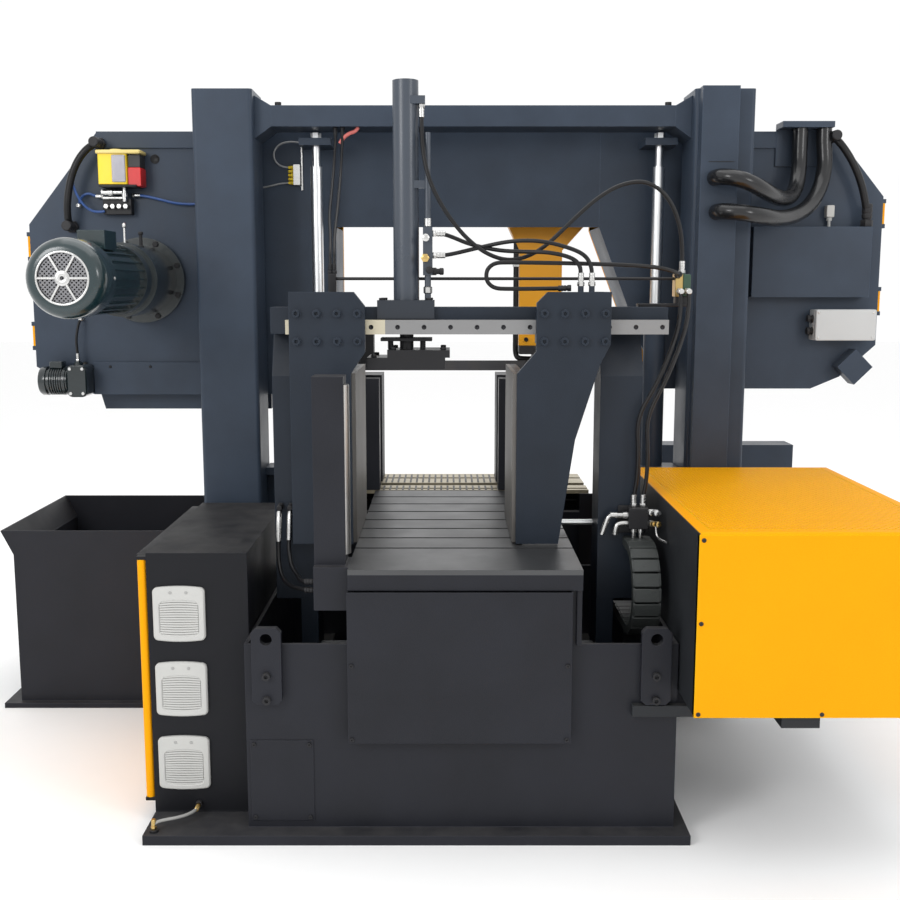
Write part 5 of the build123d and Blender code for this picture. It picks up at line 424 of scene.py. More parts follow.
@dataclass(frozen=True)
class Parted(Finish):
    """Two paints on one piece, parted at a level of one axis."""

    axis: Axis = Axis.Z
    level: float = 0.0
    beyond: Colour = (0.02, 0.02, 0.02)
    metal: float = 0.0
    stretch: Point = (1.0, 1.0, 1.0)
    scale: float = 300.0
    depth: float = 0.0002
    clouds: float = 8.0
    speckle: float = 0.3
    shade: float = 0.6
    shaded: float = 0.35
    gloss_drift: float = 0.2

    def make(self, tree: Tree) -> bpy.types.Material:
        """Build the finish: the second colour holds under the level.

        Args:
            tree: an empty tree.

        Returns:
            The material.
        """
        place = tree.place()
        grain = tree.noise(place, self.scale, detail=3.0, stretch=self.stretch)
        cloud = tree.noise(place, self.clouds, detail=4.0)
        side = tree.part(place, self.axis).above(self.level)
        ground = tree.mix(side, self.beyond, self.colour)
        darker = tree.mix(side, tinted(self.beyond, self.shade), tinted(self.colour, self.shade))
        share = grain * self.speckle + cloud * (1.0 - self.speckle)
        return tree.finish({
            "Base Color": tree.mix(share * self.shaded, ground, darker),
            "Metallic": self.metal,
            "Roughness": self.rough + swing(cloud, self.gloss_drift),
            "Normal": tree.bump(grain, self.depth),
        })


ALL_WAYS: Point = (8.0, 8.0, 8.0)
BLACK_COLOUR: Colour = (0.014, 0.014, 0.016)
SHUTTLE_COLOUR: Colour = (0.0145, 0.0205, 0.031)

DARK = Paint("dark_paint", (0.035, 0.049, 0.073), 0.42, gloss=0.25)
SHUTTLE = Paint("shuttle_paint", SHUTTLE_COLOUR, 0.44, gloss=0.25)
BASE = Paint("base_paint", (0.0145, 0.0155, 0.0205), 0.48, gloss=0.22)
# The cabinet's paint is the base paint darkened further: painted shade on the cabinet's sheets.
SHADED_SHEET = Paint("shaded_cabinet_paint", (0.0075, 0.008, 0.0105), 0.5, gloss=0.2)
YELLOW = Paint("yellow_paint", (0.88, 0.335, 0.003), 0.5, 300.0, 0.0002, dust=0.0, gloss=0.06, mottle_and_sheen=0.3)
MOTOR = Paint("motor_enamel", (0.008, 0.024, 0.028), 0.2, 120.0, 0.0002, coat=0.9, dust=0.05)
TANK = Paint("tank_paint", (0.016, 0.018, 0.021), 0.5)
BLACK = Paint("black_oxide", BLACK_COLOUR, 0.45, 500.0, 0.0002, dust=0.08)
GEAR = Paint("gear_enamel", (0.006, 0.013, 0.015), 0.2, 60.0, 0.0006, coat=0.9, dust=0.05)
STEEL = Metal("ground_steel", (0.56, 0.55, 0.53), 0.34)
BED_STEEL = Parted("bed_steel", (0.4, 0.35, 0.25), 0.42, Axis.Y, 0.172, (0.09, 0.092, 0.095), metal=0.7,
                   stretch=(1.0, 40.0, 40.0), scale=8.0)
LINER = Metal("liner_steel", (0.2, 0.19, 0.18), 0.5, (30.0, 30.0, 1.0), 8.0)
CHROME = Metal("hard_chrome", (0.88, 0.9, 0.93), 0.32, (40.0, 40.0, 1.0), 8.0, 0.00002,
               stain=(0.4, 0.4, 0.4), stained=0.05)
MESH = Metal("grille_mesh", (0.2, 0.2, 0.21), 0.4, ALL_WAYS, 30.0, 0.00003)
PLATED = Metal("plated_steel", (0.66, 0.66, 0.65), 0.28, ALL_WAYS, 30.0, 0.00003)
BRASS = Metal("brass", (0.62, 0.44, 0.17), 0.3, ALL_WAYS, 30.0, 0.00003)
BAND = Metal("band_steel", (0.1, 0.1, 0.105), 0.4, (1.0, 30.0, 60.0), 8.0)
IRON = Metal("wheel_iron", (0.28, 0.28, 0.28), 0.55, (20.0, 20.0, 20.0), 12.0, 0.0002)
TUBE = Parted("cylinder_paint", (0.05, 0.062, 0.082), 0.3, Axis.Z, 1.613, SHUTTLE_COLOUR)
RAIL = Parted("rail_steel", (0.26, 0.26, 0.262), 0.45, Axis.X, -0.29, (0.6, 0.55, 0.42), metal=0.4)
ARM = Parted("guide_arm_paint", (0.84, 0.37, 0.004), 0.42, Axis.Z, 1.416, BLACK_COLOUR)
FAN = Moulded("fan_plastic", (0.03, 0.03, 0.032), 0.5)
VENT = Moulded("vent_plastic", (0.5, 0.5, 0.482), 0.5, drift=0.04)
SLOT_DARK = Moulded("louvre_shade", (0.35, 0.35, 0.34), 0.7)
CREAM = Moulded("cream_plastic", (0.78, 0.62, 0.22), 0.4, drift=0.06)
LUBE_YELLOW = Moulded("lubricator_yellow", (0.92, 0.66, 0.015), 0.4, drift=0.06)
SMOKED = Moulded("smoked_window", (0.34, 0.33, 0.37), 0.12, drift=0.1)
SCREEN = Moulded("screen_glass", (0.012, 0.016, 0.02), 0.08, 900.0, 0.00001)
BOX_GREY = Moulded("box_plastic", (0.5, 0.515, 0.52), 0.5, drift=0.04)
GREEN = Moulded("green_plastic", (0.02, 0.3, 0.06), 0.35)
GREEN_DARK = Moulded("green_block", (0.03, 0.075, 0.045), 0.5)
RED = Moulded("red_plastic", (0.6, 0.02, 0.02), 0.35)
PINK = Moulded("red_sleeve", (0.62, 0.16, 0.14), 0.5)
CHAIN = Moulded("chain_plastic", (0.04, 0.045, 0.044), 0.5)
CONDUIT = Moulded("conduit_sheath", (0.01, 0.0105, 0.012), 0.24, 160.0, 0.0002)
RUBBER = Moulded("hose_rubber", (0.008, 0.008, 0.009), 0.36, 500.0, 0.0002, gloss=0.3)
BLUE = Moulded("blue_hose", (0.02, 0.07, 0.24), 0.35)
GREY_TUBE = Moulded("grey_tube", (0.3, 0.31, 0.32), 0.4)
LEAD = Moulded("lead_sheath", (0.3, 0.3, 0.29), 0.5)
BRUSH = Metal("brush_wire", (0.4, 0.38, 0.34), 0.5, (60.0, 60.0, 60.0), 12.0, 0.0006)
FLOOR = Moulded("pale_floor", (0.96, 0.96, 0.96), 0.9, 40.0, 0.00002, 0.01)

NODE_FINISHES: dict[Finish, str] = {
    DARK: "pillar_left pillar_right tie_beam lift_cylinders control_desk bow_frame bow_covers bow_brackets",
    SHUTTLE: "shuttle_posts crossbeam datum_jaw clamp_jaw",
    TUBE: "clamp_cylinders",
    SHADED_SHEET: "cabinet_shell",
    BASE: "base_tub main_base feed_bed chip_bin front_covers base_cylinders main_jaw_fixed"
          " main_jaw_moving",
    BLACK: "guide_arm_fixed base_fasteners clamp_ram valve_block",
    YELLOW: "cabinet_door hydraulic_cover left_wheel_door right_wheel_door",
    ARM: "guide_arm",
    STEEL: "guide_rails guide_roller",
    BED_STEEL: "bed_slats",
    LINER: "datum_liner clamp_liner",
    RAIL: "clamp_rail",
    CHROME: "lift_rods",
    BAND: "saw_band",
    IRON: "drive_wheel idler_wheel",
    MOTOR: "drive_motor fan_cowl",
    GEAR: "gearbox brush_motor",
    FAN: "motor_fan",
    VENT: "filter_vents",
    BOX_GREY: "junction_box",
    CREAM: "lubricator",
    BRUSH: "chip_brush",
    TANK: "hydraulic_unit",
    GREEN: "start_button",
    RED: "emergency_stop",
    CHAIN: "drag_chain",
}


class Solid:
    """Anything that has a surface: a shape, a turned part, a box or a pipe."""

    def shape(self) -> "Shape":
        """The surface."""
        raise NotImplementedError

    def __add__(self, other: "Solid") -> "Shape":
        """Join two into one shape.

        Args:
            other: what is joined on.

        Returns:
            The joined shape.
        """
        first, second = self.shape(), other.shape()
        shifted = [faces + len(first.points) for faces in second.faces]
        return Shape(np.vstack([first.points, second.points]), first.faces + shifted)

    def at(self, places: Sequence[Point]) -> "Shape":
        """Repeat the surface, by adding each place to every point.

        Args:
            places: where the copies stand.

        Returns:
            All the copies in one shape.
        """
        one = self.shape()
        spots = np.asarray(places, float).reshape(-1, 3)
        points = (one.points[None] + spots[:, None]).reshape(-1, 3)
        step = np.arange(len(spots)) * len(one.points)
        faces = [(group[None] + step[:, None, None]).reshape(-1, group.shape[1]) for group in one.faces]
        return Shape(points, faces)

    def carried(self, places: np.ndarray, rows: np.ndarray) -> "Shape":
        """Carry the surface into other axes, once for each place and set of axes.

        Args:
            places: where the copies stand, one row each.
            rows: the three directions for each place.

        Returns:
            All the copies in one shape.
        """
        points = places[:, None] + np.einsum("pk,nkd->npd", self.shape().points, rows)
        return Shape(points.reshape(-1, 3), self.at(np.zeros((len(places), 3))).faces)


@dataclass
class Shape(Solid):
    """Points in millimetres and faces of a surface, kept as whole arrays."""

    points: np.ndarray
    faces: list[np.ndarray]

    def shape(self) -> "Shape":
        """The shape itself."""
        return self


def directions(axis: Point) -> np.ndarray:
    """Side, up and along directions for an axis, with the side level where it can be.

    Args:
        axis: the along direction.

    Returns:
        The three directions as rows.
    """
    along = np.asarray(axis, float) / np.linalg.norm(axis)
    side = np.cross(UP if abs(along[2]) < STEEP else FAR, along)
    side = side / np.linalg.norm(side)
    return np.stack([side, np.cross(along, side), along])


def skin(rings: np.ndarray, caps: bool = True, loop: bool = False) -> Shape:
    """Surface through rings of points: four cornered faces between each ring and the next.

    Args:
        rings: the points, as rows of closed rings.
        caps: whether the first and last ring are closed by a face.
        loop: whether the last ring joins the first.

    Returns:
        The surface.
    """
    rows, columns = rings.shape[:2]
    row, column = np.meshgrid(np.arange(rows if loop else rows - 1), np.arange(columns), indexing="ij")
    here, after = row * columns, (row + 1) % rows * columns
    beside = (column + 1) % columns
    faces = [np.stack([here + column, here + beside, after + beside, after + column], -1).reshape(-1, 4)]
    if caps:
        ring = np.arange(columns)[None]
        faces += [ring[:, ::-1], (rows - 1) * columns + ring]
    return Shape(rings.reshape(-1, 3), faces)


def rounded(width: float, height: float, radius: float, middle: Sequence[float] = (0.0, 0.0),
            steps: int = 4) -> np.ndarray:
    """Outline of a rectangle whose corners are quarter circles.

    Args:
        width: size along the first axis.
        height: size along the second axis.
        radius: the corners' radius.
        middle: the rectangle's middle.
        steps: parts in each quarter circle.

    Returns:
        A counterclockwise ring of points.
    """
    angle = np.arange(4)[:, None] * math.pi / 2 + np.linspace(0.0, math.pi / 2, steps + 1)
    signs = np.array(((1, 1), (-1, 1), (-1, -1), (1, -1)))
    corner = signs * (width / 2 - radius, height / 2 - radius)
    arcs = corner[:, None] + radius * np.stack([np.cos(angle), np.sin(angle)], -1)
    return arcs.reshape(-1, 2) + np.asarray(middle)


def inset(outline: np.ndarray, depth: float) -> np.ndarray:
    """Draw an outline in, each corner along the mean of its two edges' inward normals.

    Args:
        outline: a counterclockwise ring of points.
        depth: how far each edge moves.

    Returns:
        The smaller ring.
    """
    edge = np.roll(outline, -1, 0) - outline
    normal = np.stack([-edge[:, 1], edge[:, 0]], -1) / np.linalg.norm(edge, axis=1, keepdims=True)
    before = np.roll(normal, 1, 0)
    return outline + depth * (normal + before) / (1.0 + (normal * before).sum(1, keepdims=True))


def raised(flat: np.ndarray, levels: Sequence[float], axis: Axis) -> np.ndarray:
    """Stand flat outlines at levels of an axis.

    Args:
        flat: rings of points in the plane across the axis.
        levels: one level for each ring.
        axis: the axis.

    Returns:
        The rings in space.
    """
    rings = np.empty(flat.shape[:2] + (3,))
    rings[..., [index for index in range(3) if index != axis.value]] = flat
    rings[..., axis.value] = np.asarray(levels)[:, None]
    return rings


def slab(outline: np.ndarray, low: float, high: float, axis: Axis = Axis.Y, chamfer: float = 1.5) -> Shape:
    """Solid between two levels of an axis, with both rims cut back by a chamfer.

    Args:
        outline: a counterclockwise ring in the plane across the axis.
        low: the lower level.
        high: the upper level.
        axis: the axis.
        chamfer: how far the rims are cut.

    Returns:
        The closed surface.
    """
    cut = inset(outline, chamfer)
    flat = np.stack([cut, outline, outline, cut])
    return skin(raised(flat, (low, low + chamfer, high - chamfer, high), axis))


def sweep(path: np.ndarray, section: np.ndarray) -> Shape:
    """Carry a section along a path, its first axis across the plane that the path lies nearest to.

    Args:
        path: points of the path.
        section: ring of (side, up) points.

    Returns:
        The closed surface.
    """
    way = np.gradient(path, axis=0)
    way = way / np.linalg.norm(way, axis=1, keepdims=True)
    across = np.linalg.svd(path - path.mean(0))[2][-1]
    up = np.cross(across, way)
    up = up / np.linalg.norm(up, axis=1, keepdims=True)
    side = np.cross(way, up)
    return skin(path[:, None] + section[:, :1] * side[:, None] + section[:, 1:] * up[:, None])


def circle(radius: float, sides: int) -> np.ndarray:
    """Ring of points round the origin."""
    angle = np.arange(sides) * math.tau / sides
    return radius * np.stack([np.cos(angle), np.sin(angle)], -1)


def spline(points: Sequence[Point]) -> np.ndarray:
    """Points read from a smooth NURBS spline of order three.

    Args:
        points: the spline's control points.

    Returns:
        Points along the spline.
    """
    curve = bpy.data.curves.new("route", "CURVE")
    curve.dimensions = "3D"
    run = curve.splines.new("NURBS")
    run.points.add(len(points) - 1)
    run.points.foreach_set("co", np.c_[np.array(points), np.ones(len(points))].ravel())
    run.order_u = 3
    run.use_endpoint_u = True
    run.resolution_u = 10
    holder = bpy.data.objects.new("route", curve)
    mesh = bpy.data.meshes.new_from_object(holder)
    line = np.empty(len(mesh.vertices) * 3)
    mesh.vertices.foreach_get("co", line)
    bpy.data.objects.remove(holder)
    bpy.data.curves.remove(curve)
    bpy.data.meshes.remove(mesh)
    return line.reshape(-1, 3)


@dataclass(frozen=True)
class Turned(Solid):
    """Surface of revolution: each (along, radius) of the profile becomes a ring round the axis.

    Six sides make a hexagon, and a looped profile closes on itself, as for a hollow wall.
    """

    profile: Profile
    place: Point = ORIGIN
    axis: Point = UP
    sides: int = 24
    loop: bool = False

    def shape(self) -> Shape:
        """Set a ring round the axis for each step of the profile.

        Returns:
            The surface through the rings.
        """
        along, radius = np.asarray(self.profile, float).T
        side, up, way = directions(self.axis)
        turn = circle(1.0, self.sides)
        ring = turn[:, :1] * side + turn[:, 1:] * up
        rings = np.asarray(self.place, float) + along[:, None, None] * way + radius[:, None, None] * ring
        return skin(rings, not self.loop, self.loop)


@dataclass(frozen=True)
class Box(Solid):
    """Box between two corners, with rounded edges along one axis and chamfers across it."""

    low: Point
    high: Point
    corner: float = 3.0
    axis: Axis = Axis.Y
    chamfer: float = 1.5

    def shape(self) -> Shape:
        """Set a rounded outline between two levels of the axis.

        Returns:
            The closed surface.
        """
        along = self.axis.value
        sides = [index for index in range(3) if index != along]
        size = [self.high[index] - self.low[index] for index in sides]
        middle = [(self.high[index] + self.low[index]) / 2 for index in sides]
        outline = rounded(*size, self.corner, middle, steps=3)
        return slab(outline, self.low[along], self.high[along], self.axis, self.chamfer)


@dataclass(frozen=True)
class Pipe(Solid):
    """Round pipe along a smooth spline, whose control points are in millimetres."""

    points: Sequence[Point]
    radius: float
    sides: int = 12

    def shape(self) -> Shape:
        """The closed surface: a circle carried along the spline."""
        return sweep(spline(self.points), circle(self.radius, self.sides))


def perforated(columns: int, rows: int, cell: float, hole: float, reach: float = math.inf) -> Shape:
    """Flat sheet of square cells about the origin, every second one with an eight sided hole.

    A holed cell is four faces, each between two corners and three points of the hole.

    Args:
        columns: cells along x.
        rows: cells along y.
        cell: size of a cell.
        hole: radius of a hole.
        reach: cells whose middles are further from the origin are left out.

    Returns:
        The sheet on the plane z = 0.
    """
    column, row = np.meshgrid(np.arange(columns), np.arange(rows), indexing="ij")
    middle = np.stack([column - (columns - 1) / 2, row - (rows - 1) / 2, 0.0 * row], -1).reshape(-1, 3) * cell
    holed = (column + row).reshape(-1) % 2 == 0
    kept = np.hypot(middle[:, 0], middle[:, 1]) < reach
    corner = circle(cell / math.sqrt(2.0), 8)[1::2]
    flat = np.vstack([corner, circle(hole, 8)])
    points = np.c_[flat, np.zeros(len(flat))]
    turn = np.arange(4)
    rim = [turn, (turn + 1) % 4, 4 + (2 * turn + 3) % 8, 4 + (2 * turn + 2) % 8, 4 + (2 * turn + 1) % 8]
    open_cell = Shape(points, [np.stack(rim, -1)])
    plain_cell = Shape(points[:4], [np.arange(4)[None]])
    return open_cell.at(middle[holed & kept]) + plain_cell.at(middle[~holed & kept])


def heads(kind: Head, places: Sequence[Point], axis: Point, radius: float) -> Shape:
    """Screw heads on an axis.

    Args:
        kind: the head's form.
        places: where they sit.
        axis: the way they face.
        radius: the head's radius.

    Returns:
        All the heads.
    """
    sides = HEXAGON_SIDES if kind is Head.HEXAGON else HEAD_SIDES
    return Turned(np.asarray(kind.value) * radius, ORIGIN, axis, sides).at(places)


def hose_end(place: Point, way: Point, radius: float) -> Shape:
    """Hexagon nut, collar and grooved sleeve on a hose, from its port along the hose.

    Args:
        place: the port.
        way: the direction that the hose leaves in.
        radius: the hose's radius.

    Returns:
        The fitting.
    """
    nut = np.asarray(HOSE_NUT) * radius
    past = np.asarray(place, float) + directions(way)[2] * nut[-1, 0]
    sleeve = Turned(np.asarray(HOSE_SLEEVE) * radius, past, way, SLEEVE_SIDES)
    return Turned(nut, place, way, HEXAGON_SIDES) + sleeve


def grid(across: Sequence[float], deep: Sequence[float], heights: Sequence[float]) -> list[Point]:
    """Places at every crossing of the given X, Y and Z values."""
    return list(product(across, deep, heights))


def round_places(middle: Point, count: int, radius: float, first: float = 0.0) -> np.ndarray:
    """Places on a circle round an axis along Y.

    Args:
        middle: the circle's middle.
        count: how many places.
        radius: the circle's radius.
        first: angle of the first one in degrees.

    Returns:
        The places, one row each.
    """
    turn = math.radians(first) + np.arange(count) * math.tau / count
    return np.asarray(middle) + radius * np.stack([np.cos(turn), 0.0 * turn, np.sin(turn)], -1)


def radial(count: int, facing: float) -> np.ndarray:
    """Axes of spokes round Y: out along the spoke, round the circle, and towards its face.

    Args:
        count: how many spokes.
        facing: one where they face far, minus one where they face near.

    Returns:
        The three directions of each spoke as rows.
    """
    turn = np.arange(count) * math.tau / count
    nought = 0.0 * turn
    out = np.stack([np.cos(turn), nought, np.sin(turn)], -1)
    about = np.stack([np.sin(turn), nought, -np.cos(turn)], -1) * facing
    return np.stack([out, about, np.stack([nought, nought + facing, nought], -1)], 1)


def piece(name: str, solid: Solid, finish: Finish, body: str, slot: str = "", stands_for: Sequence[str] = (),
          sharp: float = 35.0, wall: float = 0.0) -> bpy.types.Object:
    """Make a solid an object that rides on a body.

    Args:
        name: the object's name.
        solid: its surface in millimetres.
        finish: its finish.
        body: the body that carries it, or nothing for one that rides on no body.
        slot: not used.
        stands_for: nodes that it replaces.
        sharp: edges over this angle stay sharp.
        wall: thickness given to an open sheet.

    Returns:
        The object.
    """
    shape = solid.shape()
    mesh = bpy.data.meshes.new(name)
    mesh.from_pydata(shape.points * MM, [], [face for faces in shape.faces for face in faces.tolist()])
    work = bmesh.new()
    work.from_mesh(mesh)
    if wall:
        bmesh.ops.remove_doubles(work, verts=work.verts, dist=MERGE_DISTANCE)
    bmesh.ops.recalc_face_normals(work, faces=work.faces)
    work.to_mesh(mesh)
    work.free()
    mesh.shade_smooth()
    mesh.set_sharp_from_angle(angle=math.radians(sharp))
    mesh.materials.append(finish.material())
    made = bpy.data.objects.new(name, mesh)
    bpy.context.scene.collection.objects.link(made)
    if wall:
        sheet = made.modifiers.new("wall", "SOLIDIFY")
        sheet.thickness = wall * MM
        sheet.offset = 0.0
    if body:
        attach(made, body)
    if stands_for:
        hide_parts(*stands_for)
    LOG.info("%s: %d faces", name, len(mesh.polygons))
    return made


@dataclass(frozen=True)
class Lamp:
    """One square soft light: its place and side in metres, its turn in degrees, its power in watts."""

    name: str
    place: Point
    turn: Point
    size: float
    power: float

    def hang(self) -> None:
        """Put the light into the scene."""
        light = bpy.data.lights.new(self.name, "AREA")
        light.energy = self.power
        light.size = self.size
        holder = bpy.data.objects.new(self.name, light)
        holder.location = self.place
        holder.rotation_euler = tuple(math.radians(angle) for angle in self.turn)
        bpy.context.scene.collection.objects.link(holder)


@dataclass
class Studio:
    """Camera, floor, even sky and soft lights."""

    camera_place: Point = (-0.096, -4.2419, 1.650)
    camera_tilt: float = 90.0 - 8.333
    lens: float = 44.24
    sensor: float = 36.0
    shift: float = 0.0033
    clip: float = 200.0
    sky: float = 1.02
    floor_half: float = 30000.0
    lamps: tuple[Lamp, ...] = (
        Lamp("key", (-3.4, -4.4, 3.2), (66.0, 0.0, -38.0), 1.6, 70.0),
        Lamp("fill", (3.6, -3.8, 2.8), (70.0, 0.0, 44.0), 1.0, 30.0),
        Lamp("top", (0.0, -0.6, 6.5), ORIGIN, 6.0, 130.0),
        Lamp("rear", (0.5, 5.0, 4.5), (-52.0, 0.0, 0.0), 4.0, 40.0),
    )

    def build(self) -> None:
        """Set up the camera, the sky, the lights and the floor."""
        scene = bpy.context.scene
        lens = bpy.data.cameras.new("camera")
        lens.lens = self.lens
        lens.sensor_width = self.sensor
        lens.shift_x = self.shift
        lens.clip_end = self.clip
        camera = bpy.data.objects.new("camera", lens)
        camera.location = self.camera_place
        camera.rotation_euler = (math.radians(self.camera_tilt), 0.0, 0.0)
        scene.collection.objects.link(camera)
        scene.camera = camera
        scene.view_settings.view_transform = "Standard"
        world = bpy.data.worlds.new("studio")
        world.use_nodes = True
        world.node_tree.nodes["Background"].inputs["Color"].default_value = (1.0, 1.0, 1.0, 1.0)
        world.node_tree.nodes["Background"].inputs["Strength"].default_value = self.sky
        scene.world = world
        for lamp in self.lamps:
            lamp.hang()
        corners = np.array(((-1.0, -1.0, 0.0), (1.0, -1.0, 0.0), (1.0, 1.0, 0.0), (-1.0, 1.0, 0.0)))
        piece("floor", Shape(corners * self.floor_half, [np.arange(4)[None]]), FLOOR, "")


@dataclass(frozen=True)
class Route:
    """One hose: its control points in metres, its size, and the bodies that hold its ends."""

    name: str
    node: str
    points: tuple[Point, ...]
    radius: float
    length: float
    start_body: str
    end_body: str
    finish: Finish = RUBBER
    fitting: Finish | None = PLATED
    stiffness: Stiffness = Stiffness.MEDIUM
    sides: int = 14
    sleeve: tuple[float, float] | None = None
    sleeve_swell: float = 1.35

    def tube(self, name: str, line: np.ndarray, swell: float, finish: Finish,
             **settings: Any) -> bpy.types.Object:
        """Make a tube along a part of the hose's line, carried by its ends' body when both ends share one,
        and else fixed in place.

        Args:
            name: its name.
            line: points of the line in metres.
            swell: its radius as a share of the hose's.
            finish: its finish.
            settings: what else the piece takes.

        Returns:
            The tube's object.
        """
        crosses = self.start_body != self.end_body
        shape = sweep(line / MM, circle(swell * self.radius / MM, self.sides))
        made = piece(name, shape, finish, "" if crosses else self.start_body, **settings)
        if crosses:
            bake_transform(made)
        return made

    def build(self) -> None:
        line = spline(self.points)
        slot = "lead_sheath" if self.node == "earth_lead" else "hose_rubber"
        hose = self.tube(self.name, line, 1.0, self.finish, slot=slot, stands_for=(self.node,),
                         sharp=HOSE_SHARP)
        if self.sleeve is not None:
            first, last = (int(share * len(line)) for share in self.sleeve)
            self.tube(f"{self.name}_sleeve", line[first:last], self.sleeve_swell, PLATED)
        if self.fitting is not None:
            ends = (("start", self.start_body, line[0], line[1]), ("end", self.end_body, line[-1], line[-2]))
            for label, body, port, inner in ends:
                shape = hose_end(port / MM, inner - port, self.radius / MM)
                piece(f"{self.name}_{label}_fitting", shape, self.fitting, body)


@dataclass
class HoseSet:
    """All the hoses, tubes and leads of the machine."""

    conduit: float = 0.029
    conduit_sides: int = 24
    thick: float = 0.014
    hose: float = 0.0065
    thin: float = 0.005
    fine: float = 0.0035
    beam_pipe: Turned = Turned(((0, 4.4), (1, 5), (1097.5, 5), (1098.5, 4.4)), (-456, -601, 1680), RIGHT)

    def conduits(self) -> list[Route]:
        """Lay the two thick cable hoses from the duct to the bow.

        Returns:
            Their routes.
        """
        upper = ((0.866, -0.170, 2.041), (0.866, -0.208, 2.041), (0.885, -0.241, 2.039),
                 (0.918, -0.260, 2.033), (0.962, -0.260, 2.020), (1.016, -0.232, 2.000),
                 (1.070, -0.172, 1.982), (1.134, -0.084, 1.973), (1.194, 0.004, 1.986),
                 (1.236, 0.074, 2.030), (1.254, 0.110, 2.100), (1.255, 0.118, 2.178),
                 (1.255, 0.118, 2.253))
        lower = ((0.876, -0.170, 1.921), (0.876, -0.208, 1.921), (0.895, -0.241, 1.919),
                 (0.930, -0.260, 1.915), (0.978, -0.256, 1.909), (1.042, -0.216, 1.902),
                 (1.120, -0.132, 1.899), (1.212, -0.036, 1.920), (1.288, 0.046, 1.966),
                 (1.336, 0.096, 2.036), (1.354, 0.114, 2.116), (1.349, 0.118, 2.181),
                 (1.346, 0.118, 2.217), (1.346, 0.118, 2.253))
        ends = ("base", "saw_bow", CONDUIT, None, Stiffness.STIFF, self.conduit_sides)
        return [Route("conduit_upper", "conduits", upper, self.conduit, 0.842, *ends),
                Route("conduit_lower", "conduits", lower, self.conduit, 0.923, *ends)]

    def shuttle_lines(self) -> list[Route]:
        """Lay the clamp line and the two down lines on the shuttle.

        Returns:
            Their routes.
        """
        clamp = ((-0.176, -0.686, 2.216), (-0.176, -0.686, 2.184), (-0.175, -0.692, 2.136),
                 (-0.172, -0.704, 2.084), (-0.164, -0.716, 2.030), (-0.148, -0.724, 1.974),
                 (-0.120, -0.727, 1.916), (-0.082, -0.728, 1.858), (-0.034, -0.728, 1.802),
                 (0.026, -0.726, 1.756), (0.092, -0.722, 1.734), (0.156, -0.714, 1.746),
                 (0.214, -0.702, 1.780), (0.270, -0.686, 1.832), (0.326, -0.674, 1.886),
                 (0.388, -0.662, 1.938), (0.456, -0.650, 1.976), (0.530, -0.640, 1.988),
                 (0.592, -0.630, 1.958), (0.634, -0.620, 1.902), (0.658, -0.610, 1.836),
                 (0.6665, -0.602, 1.772), (0.6675, -0.601, 1.726), (0.6675, -0.601, 1.696))
        near = ((0.655, -0.626, 1.640), (0.655, -0.652, 1.640), (0.653, -0.674, 1.604),
                (0.645, -0.690, 1.530), (0.611, -0.718, 1.440), (0.571, -0.736, 1.350),
                (0.5085, -0.740, 1.240), (0.5165, -0.740, 1.130), (0.5145, -0.740, 1.040),
                (0.5045, -0.740, 0.984), (0.5045, -0.740, 0.952))
        far = ((0.680, -0.626, 1.640), (0.680, -0.652, 1.640), (0.678, -0.674, 1.608),
               (0.670, -0.690, 1.534), (0.636, -0.718, 1.444), (0.596, -0.736, 1.354),
               (0.53917, -0.740, 1.244), (0.54717, -0.740, 1.130), (0.54517, -0.740, 1.040),
               (0.53517, -0.740, 0.984), (0.53517, -0.740, 0.952))
        ends = ("shuttle", "shuttle")
        return [Route("clamp_line", "shuttle_hoses", clamp, self.hose, 1.472, *ends),
                Route("down_line_near", "shuttle_hoses", near, self.hose, 0.754, *ends),
                Route("down_line_far", "shuttle_hoses", far, self.hose, 0.753, *ends)]

    def jaw_lines(self) -> list[Route]:
        """Lay the looped hose from the manifold and the two from the clamp valve, all to the clamping jaw.

        Returns:
            Their routes.
        """
        high = ((-0.142, -0.686, 1.820), (-0.112, -0.686, 1.820), (-0.080, -0.687, 1.810),
                (-0.024, -0.690, 1.786), (0.066, -0.706, 1.766), (0.150, -0.736, 1.762),
                (0.222, -0.766, 1.760), (0.288, -0.776, 1.744), (0.314, -0.782, 1.722),
                (0.318, -0.782, 1.690), (0.318, -0.782, 1.656))
        low = ((-0.142, -0.686, 1.752), (-0.112, -0.686, 1.752), (-0.080, -0.687, 1.756),
               (0.004, -0.692, 1.776), (0.100, -0.726, 1.796), (0.192, -0.758, 1.796),
               (0.274, -0.774, 1.776), (0.330, -0.782, 1.752), (0.350, -0.782, 1.716),
               (0.352, -0.782, 1.686), (0.352, -0.782, 1.656))
        loop = ((0.648, -0.626, 1.690), (0.648, -0.650, 1.692), (0.640, -0.672, 1.696),
                (0.616, -0.700, 1.704), (0.570, -0.730, 1.713), (0.500, -0.752, 1.719),
                (0.400, -0.761, 1.723), (0.240, -0.762, 1.727), (0.090, -0.762, 1.729),
                (0.052, -0.762, 1.727), (0.030, -0.762, 1.710), (0.025, -0.762, 1.688),
                (0.030, -0.762, 1.666), (0.052, -0.762, 1.649), (0.090, -0.762, 1.647),
                (0.200, -0.762, 1.648), (0.262, -0.764, 1.649), (0.290, -0.768, 1.650))
        ends = ("shuttle", "clamp_jaw")
        return [Route("loop_line", "jaw_hoses", loop, self.hose, 0.996, *ends, RUBBER, BLACK),
                Route("jaw_line_high", "jaw_hoses", high, self.hose, 0.552, *ends),
                Route("jaw_line_low", "jaw_hoses", low, self.hose, 0.595, *ends)]

